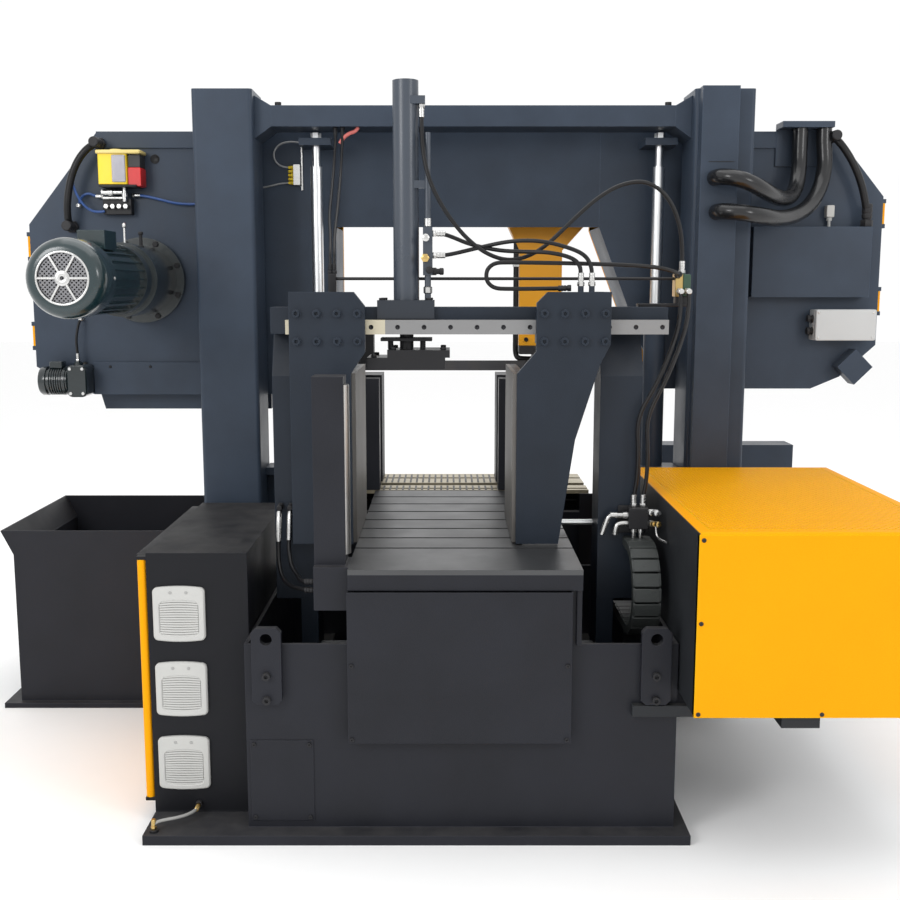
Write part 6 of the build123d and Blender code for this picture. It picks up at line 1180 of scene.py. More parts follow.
    def feed_lines(self) -> list[Route]:
        """Lay the hoses that follow the shuttle: a pair by the left post and a pair from the tie beam.

        Returns:
            Their routes.
        """
        left = ((-0.6355, -0.710, 0.950), (-0.6355, -0.736, 0.950), (-0.6355, -0.758, 0.914),
                (-0.6375, -0.764, 0.850), (-0.6375, -0.776, 0.790), (-0.6235, -0.822, 0.748),
                (-0.5915, -0.890, 0.732), (-0.545, -0.946, 0.736), (-0.513, -0.972, 0.740),
                (-0.489, -0.972, 0.740))
        right = ((-0.6015, -0.710, 0.950), (-0.6015, -0.736, 0.950), (-0.6015, -0.758, 0.914),
                 (-0.6035, -0.764, 0.850), (-0.6035, -0.776, 0.816), (-0.5895, -0.822, 0.774),
                 (-0.5575, -0.890, 0.758), (-0.545, -0.946, 0.762), (-0.513, -0.972, 0.766),
                 (-0.489, -0.972, 0.766))
        inner = ((-0.482, -0.036, 2.236), (-0.482, -0.036, 2.196), (-0.482, -0.068, 2.144),
                 (-0.478, -0.160, 2.066), (-0.474, -0.280, 1.976), (-0.470, -0.410, 1.896),
                 (-0.4685, -0.520, 1.816), (-0.4625, -0.595, 1.766), (-0.4625, -0.601, 1.730),
                 (-0.4625, -0.601, 1.696))
        outer = ((-0.508, -0.036, 2.236), (-0.508, -0.036, 2.196), (-0.508, -0.068, 2.144),
                 (-0.504, -0.160, 2.066), (-0.500, -0.280, 1.976), (-0.496, -0.410, 1.896),
                 (-0.4815, -0.520, 1.816), (-0.4755, -0.595, 1.766), (-0.4755, -0.601, 1.730),
                 (-0.4755, -0.601, 1.696))
        post = ("shuttle", "base", RUBBER, BLACK)
        beam = ("base", "shuttle", RUBBER, BLACK)
        sleeve = (0.12, 0.34)
        return [Route("post_line_left", "feed_hoses", left, self.hose, 0.465, *post, sleeve=sleeve),
                Route("post_line_right", "feed_hoses", right, self.hose, 0.424, *post, sleeve=sleeve),
                Route("beam_line_inner", "feed_hoses", inner, self.thin, 0.818, *beam),
                Route("beam_line_outer", "feed_hoses", outer, self.thin, 0.819, *beam)]

    def bow_lines(self) -> list[Route]:
        """Lay the hoses and small tubes that ride on the bow.

        Returns:
            Their routes.
        """
        side = ((1.385, 0.170, 2.226), (1.385, 0.138, 2.226), (1.396, 0.116, 2.212),
                (1.420, 0.108, 2.1819), (1.449, 0.108, 2.1412), (1.477, 0.110, 2.0919),
                (1.501, 0.114, 2.0358), (1.518, 0.118, 1.976), (1.529, 0.124, 1.924),
                (1.529, 0.124, 1.884))
        corner = ((-1.436, 0.160, 2.200), (-1.436, 0.128, 2.200), (-1.448, 0.106, 2.192),
                  (-1.474, 0.098, 2.172), (-1.506, 0.098, 2.134), (-1.532, 0.098, 2.080),
                  (-1.548, 0.098, 2.018), (-1.556, 0.100, 1.962), (-1.558, 0.106, 1.924),
                  (-1.558, 0.116, 1.900), (-1.558, 0.138, 1.886), (-1.558, 0.170, 1.886))
        left = ((-1.428, 0.150, 2.002), (-1.458, 0.150, 2.002), (-1.490, 0.150, 2.016),
                (-1.520, 0.150, 1.998), (-1.528, 0.150, 1.966), (-1.528, 0.170, 1.966))
        right = ((-1.318, 0.150, 2.006), (-1.278, 0.150, 2.006), (-1.218, 0.146, 1.992),
                 (-1.148, 0.146, 1.974), (-1.092, 0.150, 1.972), (-1.066, 0.150, 1.974),
                 (-1.066, 0.170, 1.974))
        low = ((-1.420, 0.126, 1.944), (-1.444, 0.126, 1.940), (-1.474, 0.122, 1.946),
               (-1.502, 0.116, 1.970), (-1.522, 0.110, 2.008), (-1.534, 0.104, 2.050),
               (-1.536, 0.100, 2.080))
        loop = ((-0.711, 0.160, 2.112), (-0.738, 0.160, 2.114), (-0.764, 0.160, 2.136),
                (-0.768, 0.160, 2.172), (-0.742, 0.160, 2.202), (-0.704, 0.162, 2.210),
                (-0.676, 0.164, 2.208), (-0.664, 0.170, 2.206))
        stray = ((-0.711, 0.160, 2.054), (-0.736, 0.160, 2.053), (-0.766, 0.162, 2.046),
                 (-0.792, 0.164, 2.040), (-0.812, 0.170, 2.038))
        brush = ((-1.540, 0.170, 1.530), (-1.540, 0.144, 1.530), (-1.546, 0.126, 1.500),
                 (-1.554, 0.122, 1.450), (-1.552, 0.122, 1.410), (-1.550, 0.122, 1.386),
                 (-1.550, 0.122, 1.364))
        bow = ("saw_bow", "saw_bow")
        return [Route("side_line", "bow_hoses", side, self.thick, 0.421, *bow, RUBBER, BLACK),
                Route("corner_line", "bow_hoses", corner, self.thick, 0.441, *bow, RUBBER, BLACK),
                Route("grease_tube_left", "bow_hoses", left, self.thin, 0.145, *bow, BLUE),
                Route("grease_tube_right", "bow_hoses", right, self.thin, 0.272, *bow, BLUE),
                Route("grease_tube_low", "bow_hoses", low, self.thin, 0.208, *bow, BLUE, None),
                Route("grease_loop", "bow_hoses", loop, self.fine, 0.211, *bow, GREY_TUBE, None),
                Route("grease_stray", "bow_hoses", stray, self.fine, 0.103, *bow, GREY_TUBE, None),
                Route("brush_lead", "bow_hoses", brush, self.thin, 0.196, *bow)]

    def earth(self) -> list[Route]:
        """The bonding lead from the cabinet to the floor plate."""
        lead = ((-0.869, -0.997, 0.058), (-0.869, -1.027, 0.058), (-0.885, -1.059, 0.059),
                (-0.915, -1.081, 0.059), (-0.947, -1.096, 0.060), (-0.971, -1.110, 0.060),
                (-0.979, -1.112, 0.050), (-0.979, -1.112, 0.038))
        return [Route("bonding_lead", "earth_lead", lead, self.thin, 0.188, "base", "base", LEAD, BRASS)]

    def build(self) -> None:
        """Make every hose and the straight steel pipe over the crossbeam."""
        routes = (self.conduits() + self.shuttle_lines() + self.jaw_lines() + self.feed_lines()
                  + self.bow_lines() + self.earth())
        for route in routes:
            route.build()
        piece("beam_pipe", self.beam_pipe, BLACK, "shuttle", "hose_rubber", ("shuttle_hoses",))


@dataclass
class DriveUnit:
    """Cowl, grille and small parts of the geared motor, whose axis runs along Y."""

    x: float = -1290.0
    z: float = 1680.0
    front: float = -770.0
    fine_sides: int = 56
    cowl: Profile = ((0, 79), (0, 92), (4, 105), (14, 117), (30, 125), (52, 128), (134, 128), (140, 127),
                     (140, 122), (52, 123), (30, 119), (13, 106), (5, 90), (4, 79))
    ring: Profile = ((1, 78.5), (0, 80), (0, 83), (1, 84.5), (5, 84.5), (5, 78.5))
    hub: Profile = ((1, 7), (0, 9), (0, 20), (2, 24), (6, 24), (6, 7))
    ring_out: float = 3.0
    spoke: Box = Box((18, -3.5, 0), (82, 3.5, 4), 1, Axis.Z, 0.8)
    spokes: int = 6
    spoke_in: float = 2.0
    mesh_reach: float = 83.0
    mesh_cell: float = 7.0
    mesh_hole: float = 2.6
    mesh_in: float = 5.0
    mesh_wall: float = 1.2
    flange_face: float = 140.0
    flange_bolts: int = 8
    flange_ring: float = 150.0
    flange_turn: float = 22.5
    bolt: float = 12.0
    cowl_half: float = 127.0
    screw_y: float = -650.0
    screw: float = 6.0
    dipstick: Turned = Turned(((0, 4), (62, 4), (64, 7), (70, 8.5), (77, 7), (80, 3)),
                              (-1300, -40, 1810), sides=16)
    breather: Turned = Turned(((0, 11), (8, 11), (10, 6), (48, 6), (50, 9), (58, 9), (60, 6)),
                              (-1240, -40, 1798), sides=16)

    def spider(self) -> Shape:
        """Set straight spokes between a ring and a hub, in front of the mesh.

        Returns:
            All of them in one shape.
        """
        starts = np.tile((self.x, self.front + self.spoke_in, self.z), (self.spokes, 1))
        spokes = self.spoke.carried(starts, radial(self.spokes, -1.0))
        place = (self.x, self.front - self.ring_out, self.z)
        ring = Turned(self.ring, place, FAR, self.fine_sides, True)
        return spokes + ring + Turned(self.hub, place, FAR, loop=True)

    def mesh(self) -> Shape:
        """Cut a round field from perforated sheet, and stand it behind the spokes.

        Returns:
            The open sheet.
        """
        count = int(2.0 * self.mesh_reach / self.mesh_cell) | 1
        sheet = perforated(count, count, self.mesh_cell, self.mesh_hole, self.mesh_reach)
        place = np.array(((self.x, self.front + self.mesh_in, self.z),))
        return sheet.carried(place, np.array(((RIGHT, UP, FAR),)))

    def build(self) -> None:
        """Make the cowl, its grille and mesh, the bolts and the gear unit's breather and dipstick."""
        node = ("fan_cowl",)
        cup = Turned(self.cowl, (self.x, self.front, self.z), FAR, self.fine_sides, True)
        piece("cowl_cup", cup, MOTOR, "saw_bow", "motor_paint", node)
        piece("cowl_spider", self.spider(), PLATED, "saw_bow", "", node)
        piece("cowl_mesh", self.mesh(), MESH, "saw_bow", "", node, wall=self.mesh_wall)
        flange = (self.x, self.flange_face, self.z)
        spots = round_places(flange, self.flange_bolts, self.flange_ring, self.flange_turn)
        piece("gear_flange_bolts", heads(Head.HEXAGON, spots, NEAR, self.bolt), BLACK, "saw_bow")
        right = heads(Head.DOME, ((self.x + self.cowl_half, self.screw_y, self.z),), RIGHT, self.screw)
        left = heads(Head.DOME, ((self.x - self.cowl_half, self.screw_y, self.z),), LEFT, self.screw)
        piece("cowl_screws", right + left, PLATED, "saw_bow")
        piece("gear_dipstick", self.dipstick, PLATED, "saw_bow")
        piece("gear_breather", self.breather, BLACK, "saw_bow")


@dataclass
class FilterVents:
    """Three louvred vents, arched at the top and bottom, on the cabinet's front."""

    middle: float = -910.0
    face: float = -983.0
    first: float = 670.0
    pitch: float = 238.0
    count: int = 3
    width: float = 158.0
    height: float = 174.0
    arch: float = 6.0
    corner: float = 13.0
    corner_steps: int = 6
    edge_steps: int = 8
    depth: float = 12.0
    rim: float = 4.0
    seat: float = -1.0
    opening_width: float = 118.0
    opening_height: float = 114.0
    opening_drop: float = 14.0
    opening_rim: float = 3.0
    slats: int = 15
    slat_points: int = 15
    slat_width: float = 6.4
    slat_height: float = 4.0
    slat_corner: float = 1.4
    slat_gap: float = 1.0
    slat_margin: float = 6.0
    slat_bow: float = 4.0
    shade_gap: float = 2.0
    shade_front: float = -5.0
    latch: Turned = Turned(((0, 5), (1.4, 4.6), (1.6, 3)), axis=NEAR, sides=14)
    latch_across: float = 24.0
    latch_up: float = 68.0

    def bowed(self, width: float, height: float, drop: float) -> np.ndarray:
        """Rounded rectangle whose top and bottom are arched by a parabola of the place across.

        Args:
            width: full width.
            height: full height, at the middle of the arches.
            drop: how far its middle is under the vent's.

        Returns:
            A counterclockwise ring.
        """
        flat = rounded(width, height - 2.0 * self.arch, self.corner, steps=self.corner_steps)
        start = np.roll(flat, -1, 0)
        share = np.linspace(0.0, 1.0, self.edge_steps, endpoint=False)
        ring = (flat[:, None] + share[:, None] * (start - flat)[:, None]).reshape(-1, 2)
        rise = self.arch * (1.0 - (2.0 * ring[:, 0] / width) ** 2)
        return ring + np.stack([0.0 * rise, np.sign(ring[:, 1]) * rise - drop], -1)

    def frame_ring(self) -> Shape:
        """Frame one vent with rings from the outer edge, over the front and into the opening.

        Returns:
            The frame.
        """
        outer = self.bowed(self.width, self.height, 0.0)
        inner = self.bowed(self.opening_width, self.opening_height, self.opening_drop)
        flat = np.stack([outer, outer, inset(outer, self.rim), inset(inner, -self.opening_rim), inner, inner])
        front = -self.depth
        levels = (0.0, front + self.rim, front, front, front + self.opening_rim, self.seat)
        return skin(raised(flat, levels, Axis.Y))

    def slat(self, up: float) -> Shape:
        """One slat across the opening, carried along an arch that flattens towards the middle.

        Args:
            up: its height in the opening, from minus one to one.

        Returns:
            The slat.
        """
        section = rounded(self.slat_width, self.slat_height, self.slat_corner, steps=2)
        across = np.linspace(-1.0, 1.0, self.slat_points)
        reach = self.opening_width / 2 - self.slat_gap
        level = up * (self.opening_height / 2 - self.slat_margin)
        rise = level + up * self.slat_bow * (1.0 - across ** 2) - self.opening_drop
        deep = np.full(self.slat_points, self.rim - self.depth)
        return sweep(np.stack([across * reach, deep, rise], -1), section[:, ::-1])

    def build(self) -> None:
        """Make the frames, slats, painted shade plates behind them and latch marks of all the vents."""
        node = ("filter_vents",)
        spots = grid((self.middle,), (self.face,), self.first - np.arange(self.count) * self.pitch)
        piece("vent_frames", self.frame_ring().at(spots), VENT, "base", "vent_plastic", node)
        slats = reduce(add, map(self.slat, np.linspace(1.0, -1.0, self.slats)))
        piece("vent_louvres", slats.at(spots), VENT, "base", "vent_plastic", node)
        # Grey plates behind the slats stand in for the shade in the vents' recesses: painted shade.
        size = (self.opening_width - self.shade_gap, self.opening_height - self.shade_gap)
        shade = slab(self.bowed(*size, self.opening_drop), self.shade_front, self.seat, chamfer=0.5)
        piece("vent_shades", shade.at(spots), SLOT_DARK, "base", "", node)
        marks = self.latch.at(grid((-self.latch_across, self.latch_across), (-self.depth,), (self.latch_up,)))
        piece("vent_latches", marks.at(spots), SLOT_DARK, "base")


@dataclass
class HydraulicHood:
    """Yellow sheet cover with a perforated top, open below and towards the tub."""

    left: float = 594.0
    right: float = 1319.0
    near: float = -1290.0
    far: float = -175.0
    low: float = 460.0
    high: float = 990.0
    sheet: float = 3.0
    margin: float = 30.0
    cell: float = 12.0
    hole: float = 3.7
    fold: float = 22.0
    bend: float = 7.0
    bend_steps: int = 6
    top_corner: float = 8.0
    wall_corner: float = 0.5
    wall_chamfer: float = 0.2
    field_wall: float = 2.0
    screw: float = 6.5
    screw_inset: float = 12.0
    screw_heights: tuple[float, ...] = (968.0, 732.0, 470.0)
    screw_middle: float = 952.0

    def middle(self) -> tuple[float, float]:
        """Middle of the top, across and deep."""
        return (self.left + self.right) / 2, (self.near + self.far) / 2

    def walls(self) -> Shape:
        """Stand the front, rear and right sheets, and the folded lip at the open side.

        Returns:
            The walls.
        """
        top = self.high - self.bend
        level = (self.low + top) / 2
        across, deep = self.middle()
        tall, cut = top - self.low, self.wall_chamfer
        wide_sheet = rounded(self.right - self.left, tall, self.wall_corner, (across, level))
        deep_sheet = rounded(self.far - self.near, tall, self.wall_corner, (deep, level))
        front = slab(wide_sheet, self.near, self.near + self.sheet, Axis.Y, cut)
        rear = slab(wide_sheet, self.far - self.sheet, self.far, Axis.Y, cut)
        side = slab(deep_sheet, self.right - self.sheet, self.right, Axis.X, cut)
        lip = Box((self.left, self.near + self.sheet, self.low),
                  (self.left + self.sheet, self.near + self.fold, top), corner=1, axis=Axis.Z, chamfer=0.6)
        return front + rear + side + lip

    def cells(self) -> list[int]:
        """Columns and rows of the perforated field."""
        sides = (self.right - self.left, self.far - self.near)
        return [int((side - 2.0 * self.margin) / self.cell) for side in sides]

    def top_border(self) -> Shape:
        """Fold the rim of the top sheet down along a quarter circle, round the perforated field.

        Returns:
            The border.
        """
        columns, rows = self.cells()
        outer = rounded(self.right - self.left, self.far - self.near, self.top_corner, self.middle())
        inner = rounded(columns * self.cell, rows * self.cell, self.wall_corner, self.middle())
        turn = np.linspace(0.0, math.pi / 2, self.bend_steps)
        folds = [inset(outer, self.bend * (1.0 - math.cos(angle))) for angle in turn]
        start = self.high - self.bend
        levels = (start, *(start + self.bend * np.sin(turn)), self.high, self.high - self.sheet)
        flat = np.stack([inset(outer, self.sheet), *folds, inner, inner])
        return skin(raised(flat, levels, Axis.Z), caps=False, loop=True)

    def build(self) -> None:
        """Make the walls, the border, the perforated field and the screws."""
        node = ("hydraulic_cover",)
        piece("hood_walls", self.walls(), YELLOW, "base", "yellow_paint", node)
        piece("hood_top_border", self.top_border(), YELLOW, "base", "yellow_paint", node)
        place = (*self.middle(), self.high - self.sheet / 2)
        field = perforated(*self.cells(), self.cell, self.hole).at((place,))
        piece("hood_top_field", field, YELLOW, "base", "yellow_paint", node, wall=self.field_wall)
        sides = (self.left + self.screw_inset, self.right - self.screw_inset)
        spots = grid(sides, (self.near,), self.screw_heights)
        spots.append((self.screw_middle, self.near, self.screw_heights[-1]))
        piece("hood_screws", heads(Head.DOME, spots, NEAR, self.screw), BLACK, "base")


@dataclass
class DragChain:
    """Plastic chain with a half turn at the front, where it folds as the shuttle moves; its links are set in
    one pose.
    """

    left: float = 477.0
    width: float = 87.0
    radius: float = 135.0
    bend_y: float = -790.0
    bend_z: float = 700.0
    upper: float = 80.0
    lower: float = 230.0
    links: int = 17
    height: float = 30.0
    cheek: float = 7.0
    cheek_back: float = 0.56
    cheek_front: float = 0.5
    cheek_corner: float = 9.0
    plate_half: float = 0.485
    plate_inset: float = 4.0
    plate_in: float = 6.0
    plate_out: float = 1.0
    blend_start: Point = (0.5205, -0.6, 0.60)
    blend_end: Point = (0.5205, -0.6, 0.80)

    def link(self, pitch: float) -> Shape:
        """One link: two side plates, and a cross plate over and under them.

        Args:
            pitch: length of a link.

        Returns:
            The link, along its first axis, with its second across the chain.
        """
        half, tall = self.width / 2, self.height / 2
        cheek = Box((-pitch * self.cheek_back, -half, -tall),
                    (pitch * self.cheek_front, self.cheek - half, tall), self.cheek_corner, chamfer=1)
        inner = half - self.plate_inset
        reach = pitch * self.plate_half
        over = Box((-reach, -inner, tall - self.plate_in), (reach, inner, tall + self.plate_out),
                   corner=1.5, axis=Axis.Z, chamfer=2)
        cheeks = cheek.at((ORIGIN, (0.0, self.width - self.cheek, 0.0)))
        return cheeks + over.at((ORIGIN, (0.0, 0.0, self.plate_in - self.plate_out - self.height)))

    def build(self) -> None:
        """Set the links along the two runs and the half turn."""
        bend = math.pi * self.radius
        pitch = (self.upper + bend + self.lower) / self.links
        along = (np.arange(self.links) + 0.5) * pitch
        turn = np.clip((along - self.upper) / self.radius, 0.0, math.pi)
        past = np.clip(along - self.upper - bend, 0.0, None)
        before = np.clip(self.upper - along, 0.0, None)
        y = self.bend_y - self.radius * np.sin(turn) + past + before
        z = self.bend_z + self.radius * np.cos(turn)
        spots = np.stack([np.full(self.links, self.left + self.width / 2), y, z], -1)
        nought = 0.0 * turn
        rows = np.stack([np.stack([nought, -np.cos(turn), -np.sin(turn)], -1),
                         np.stack([nought + 1.0, nought, nought], -1),
                         np.stack([nought, -np.sin(turn), np.cos(turn)], -1)], 1)
        links = self.link(pitch).carried(spots, rows)
        chain = piece("chain_links", links, CHAIN, "", "chain_plastic", ("drag_chain",))
        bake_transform(chain)


@dataclass
class Lubrication:
    """Lubricant tank, its switch and its silver distributor on the bow."""

    tank: Box = Box((-1428, 85, 2042), (-1318, 170, 2157), 5, Axis.Z, 2)
    window: Box = Box((-1374, 80, 2050), (-1322, 88, 2152), 5, Axis.Y, 2)
    lid: Box = Box((-1434, 76, 2156), (-1263, 170, 2170), 7, Axis.Z, 3)
    cap: Turned = Turned(((0, 24), (5, 24), (7, 21), (7, 0.5)), (-1368, 124, 2169))
    switch: Box = Box((-1316, 94, 2036), (-1267, 170, 2106), 4)
    plug: Box = Box((-1316, 98, 2107), (-1269, 170, 2155), 4)
    sole: Box = Box((-1426, 82, 2032), (-1283, 170, 2041), 2, Axis.Z)
    manifold: Box = Box((-1428, 132, 1932), (-1318, 170, 1992))
    valve: Turned = Turned(((0, 11), (24, 11), (25, 14), (44, 14), (45, 9), (80, 9), (82, 7)),
                           (-1428, 124, 2016), RIGHT, 16)
    stem: Turned = Turned(((0, 9), (16, 9), (17, 12), (32, 12), (33, 8), (56, 8)),
                          (-1340, 124, 1980), sides=12)
    stub: Turned = Turned(((0, 7), (10, 7), (11, 9), (24, 9)), axis=NEAR, sides=6)
    stub_x: tuple[float, ...] = (-1410.0, -1385.0, -1360.0, -1335.0)
    stub_y: float = 132.0
    stub_z: float = 1962.0
    feed: Turned = Turned(((0, 6), (90, 6), (91, 5)), (-1424, 126, 1994), RIGHT, 14)

    def build(self) -> None:
        """Make the tank, lid, window, switch, sole plate and distributor."""
        stubs = self.stub.at(grid(self.stub_x, (self.stub_y,), (self.stub_z,)))
        valves = self.valve + self.stem + stubs + self.feed
        parts = (("tank", self.tank, LUBE_YELLOW, "lubricator_plastic"), ("window", self.window, SMOKED, ""),
                 ("lid", self.lid + self.cap, CREAM, "lubricator_plastic"), ("switch", self.switch, RED, ""),
                 ("plug", self.plug, FAN, ""), ("sole", self.sole, BLACK, ""),
                 ("manifold", self.manifold, BLACK, ""), ("valves", valves, PLATED, ""))
        for name, solid, finish, slot in parts:
            piece(f"lube_{name}", solid, finish, "saw_bow", slot, ("lubricator",))


@dataclass
class JunctionBox:
    """Pale box with a screwed lid and two glands on the bow's right housing."""

    base: Box = Box((1340, 114, 1447), (1576, 170, 1567), 7)
    lid: Box = Box((1340, 90, 1447), (1576, 112.5, 1567), 7, chamfer=3)
    screw: float = 4.5
    screw_inset: float = 12.0
    gland: Turned = Turned(((0, 15), (4, 15), (5, 12), (10, 12), (11, 15), (22, 15), (24, 12), (24, 6)),
                           axis=LEFT, sides=8)
    glands: tuple[Point, ...] = ((1340, 130, 1483), (1340, 130, 1531))

    def build(self) -> None:
        """Make the box, its lid, screws and glands."""
        node = ("junction_box",)
        piece("junction_case", self.base + self.lid, BOX_GREY, "saw_bow", "vent_plastic", node)
        left, near, low = self.lid.low
        right, _, high = self.lid.high
        inset_by = self.screw_inset
        spots = grid((left + inset_by, right - inset_by), (near,), (low + inset_by, high - inset_by))
        piece("junction_screws", heads(Head.DOME, spots, NEAR, self.screw), PLATED, "saw_bow")
        piece("junction_glands", self.gland.at(self.glands), BLACK, "saw_bow", "", node)


@dataclass
class ValveGroup:
    """Valve, manifold and their fittings on the right of the shuttle, and the brackets of its lines."""

    body: Box = Box((486, -770, 884), (550.5, -720, 952))
    sole: Box = Box((458.5, -721, 862), (550.5, -710, 952), 4)
    support: Box = Box((-482, -614, 1590), (-456, -588, 1696), 3, Axis.Z)
    plate: Box = Box((525, -626, 1590), (692.5, -572, 1600), 4, Axis.Z)
    foot: Box = Box((646, -620, 1599), (689, -580, 1623), 3, Axis.Z)
    out: Point = (0.238, -0.959, 0.153)
    sides: int = 14
    row: Profile = ((0, 11), (16, 11), (17, 8), (28, 8), (29, 10.5), (48, 10.5), (49, 8), (66, 8), (67, 10.5),
                    (88, 10.5), (90, 6), (104, 6))
    short: Profile = ((0, 11), (16, 11), (17, 8), (34, 8), (35, 10), (56, 10))
    stub: Profile = ((0, 10), (14, 10), (15, 7), (36, 7), (38, 5))
    tip: Profile = ((0, 9), (16, 9), (17, 6), (30, 6), (31, 9), (46, 9), (48, 6))
    row_port: Point = (545, -745, 936)
    short_port: Point = (545, -745, 900)
    left_port: Point = (486, -745, 926)
    stub_ports: tuple[Point, ...] = ((506, -745, 884), (529, -745, 884))
    tip_port: Point = (558.1, -798, 908.5)
    lever: Pipe = Pipe(((440, -745, 926), (426, -745, 924), (418, -745, 906), (410, -745, 880),
                        (404, -745, 862)), 8)
    elbow: Pipe = Pipe(((486, -745, 900), (462, -745, 900), (448, -745, 890), (446, -745, 862)), 9)
    tube: Pipe = Pipe(((564, -818, 906), (565, -820, 888), (568, -826, 872), (576, -850, 866),
                       (583, -890, 870)), 4)
    brass: Box = Box((642.5, -626, 1622), (667, -576, 1696))
    green: Box = Box((667.5, -624, 1624), (692.5, -578, 1694), 5)
    rod: Turned = Turned(((0, 7), (2, 9), (116, 9), (118, 9)), (277.5, -578, 868), RIGHT, 20)

    def fittings(self) -> Shape:
        """Turn the unions either side of the valve and under it, and add the bent lever and the elbow.

        Returns:
            All of them in one shape.
        """
        row = Turned(self.row, self.row_port, self.out, self.sides)
        short = Turned(self.short, self.short_port, self.out, self.sides)
        left = Turned(self.short, self.left_port, LEFT, self.sides)
        stubs = Turned(self.stub, ORIGIN, DOWN, self.sides).at(self.stub_ports)
        return row + short + left + stubs + self.lever + self.elbow

    def build(self) -> None:
        """Make the valve, its fittings, the manifold, the stop rod and the brackets."""
        body = self.body + self.sole + self.support + self.plate + self.foot
        tip = Turned(self.tip, self.tip_port, self.out, self.sides)
        parts = (("valve_body", body, BLACK), ("valve_fittings", self.fittings(), PLATED),
                 ("valve_brass", tip, BRASS), ("valve_tube", self.tube, PLATED),
                 ("manifold_brass", self.brass, BRASS), ("manifold_green", self.green, GREEN_DARK),
                 ("stop_rod", self.rod, CHROME))
        for name, solid, finish in parts:
            piece(name, solid, finish, "shuttle", "", ("valve_block",))


@dataclass
class ClampDetails:
    """Bolts, plugs and small fittings of the clamp and the rail."""

    plug: Turned = Turned(((0, 7.5), (0.5, 7.5), (0.6, 6), (0.3, 5.5)), axis=NEAR, sides=14)
    plugs: int = 15
    plug_start: float = -583.0
    plug_pitch: float = 83.0
    rail_face: float = -758.0
    rail_middle: float = 1528.5
    saddle_x: tuple[float, ...] = (-300.0, -152.0)
    saddle_y: tuple[float, ...] = (-720.0, -616.0)
    saddle_top: float = 1612.0
    saddle_bolt: float = 11.0
    upper_x: tuple[float, ...] = (-266.0, -108.0)
    lower_x: tuple[float, ...] = (-328.0,)
    plate_y: tuple[float, ...] = (-730.0, -590.0)
    upper_plate: float = 1456.0
    lower_plate: float = 1432.0
    plate_bolt: float = 9.0
    valve: Turned = Turned(((0, 14), (8, 14), (9, 10), (16, 10), (17, 13), (24, 13), (26, 9)),
                           (-165, -701, 1744), NEAR, 6)
    union: Profile = ((0, 12), (12, 12), (13, 9), (22, 9), (23, 11), (34, 11), (36, 7))
    union_sides: int = 12
    side_port: Point = (-142, -686, 1702)
    near_port: Point = (-151, -701, 1706)
    nut: Turned = Turned(((0, 11), (3, 14), (20, 14), (23, 11)), (-157, -686, 1632), sides=6)
    sleeve: Turned = Turned(((0, 10.5), (1, 11.5), (24, 11.5), (25, 10.5)), (-157, -686, 1842))
    elbow: Turned = Turned(((0, 9), (10, 9), (11, 12), (24, 12), (26, 9)), (-163, -701, 1806), NEAR, 12)

    def build(self) -> None:
        """Make the rail's plugs, the bolts, and the valve, unions and nuts of the clamp's side tube."""
        along = self.plug_start + np.arange(self.plugs) * self.plug_pitch
        plugs = self.plug.at(grid(along, (self.rail_face,), (self.rail_middle,)))
        piece("rail_plugs", plugs, BLACK, "shuttle")
        saddle = grid(self.saddle_x, self.saddle_y, (self.saddle_top,))
        piece("saddle_bolts", heads(Head.HEXAGON, saddle, UP, self.saddle_bolt), BLACK, "shuttle")
        plates = grid(self.upper_x, self.plate_y, (self.upper_plate,))
        plates += grid(self.lower_x, self.plate_y, (self.lower_plate,))
        piece("plate_bolts", heads(Head.SOCKET, plates, UP, self.plate_bolt), BLACK, "clamp_ram")
        piece("clamp_brass_valve", self.valve, BRASS, "shuttle")
        side = Turned(self.union, self.side_port, RIGHT, self.union_sides)
        near = Turned(self.union, self.near_port, NEAR, self.union_sides)
        piece("clamp_dark_unions", side + near, BLACK, "shuttle")
        piece("clamp_plated_nuts", self.nut + self.sleeve + self.elbow, PLATED, "shuttle")


@dataclass
class BowDetails:
    """Screws, plugs and small lubricating parts on the bow's infeed face."""

    block: Box = Box((-692, 146, 2044), (-664, 170, 2122), 2)
    strip: Box = Box((-662, 160, 2026), (-656, 170, 2198), 1, Axis.Z, 0.6)
    outlet: Turned = Turned(((0, 7), (8, 7), (9, 5.5), (18, 5.5), (20, 4)), axis=LEFT, sides=12)
    outlets: int = 5
    outlet_x: float = -692.0
    outlet_y: float = 160.0
    outlet_low: float = 2054.0
    outlet_high: float = 2112.0
    hole_plug: Turned = Turned(((0, 18), (0.8, 18), (1.2, 16), (0.6, 15)), (-1230, 170, 2145), NEAR, 28)
    ledge_screws: tuple[Point, ...] = ((-1436, 162, 1340), (-1277, 162, 1340))
    ledge_screw: float = 6.0
    shell: Box = Box((1378, 138, 1922), (1408, 170, 1968), 4, Axis.Y, 2)
    collar: Turned = Turned(((0, 10), (4, 11), (12, 11), (14, 8)), (1393, 154, 1909), sides=14)
    tail: Turned = Turned(((0, 6), (26, 6)), (1393, 154, 1884), sides=12)

    def build(self) -> None:
        """Make the distributor, the hole's plug, the ledge screws and the connector."""
        piece("grease_block", self.block + self.strip, PLATED, "saw_bow")
        heights = np.linspace(self.outlet_low, self.outlet_high, self.outlets)
        outlets = self.outlet.at(grid((self.outlet_x,), (self.outlet_y,), heights))
        piece("grease_outlets", outlets, LUBE_YELLOW, "saw_bow")
        piece("bow_plug", self.hole_plug, RUBBER, "saw_bow")
        screws = heads(Head.DOME, self.ledge_screws, NEAR, self.ledge_screw)
        piece("ledge_screws", screws, BLACK, "saw_bow")
        piece("sensor_plug", self.shell + self.collar + self.tail, VENT, "saw_bow")


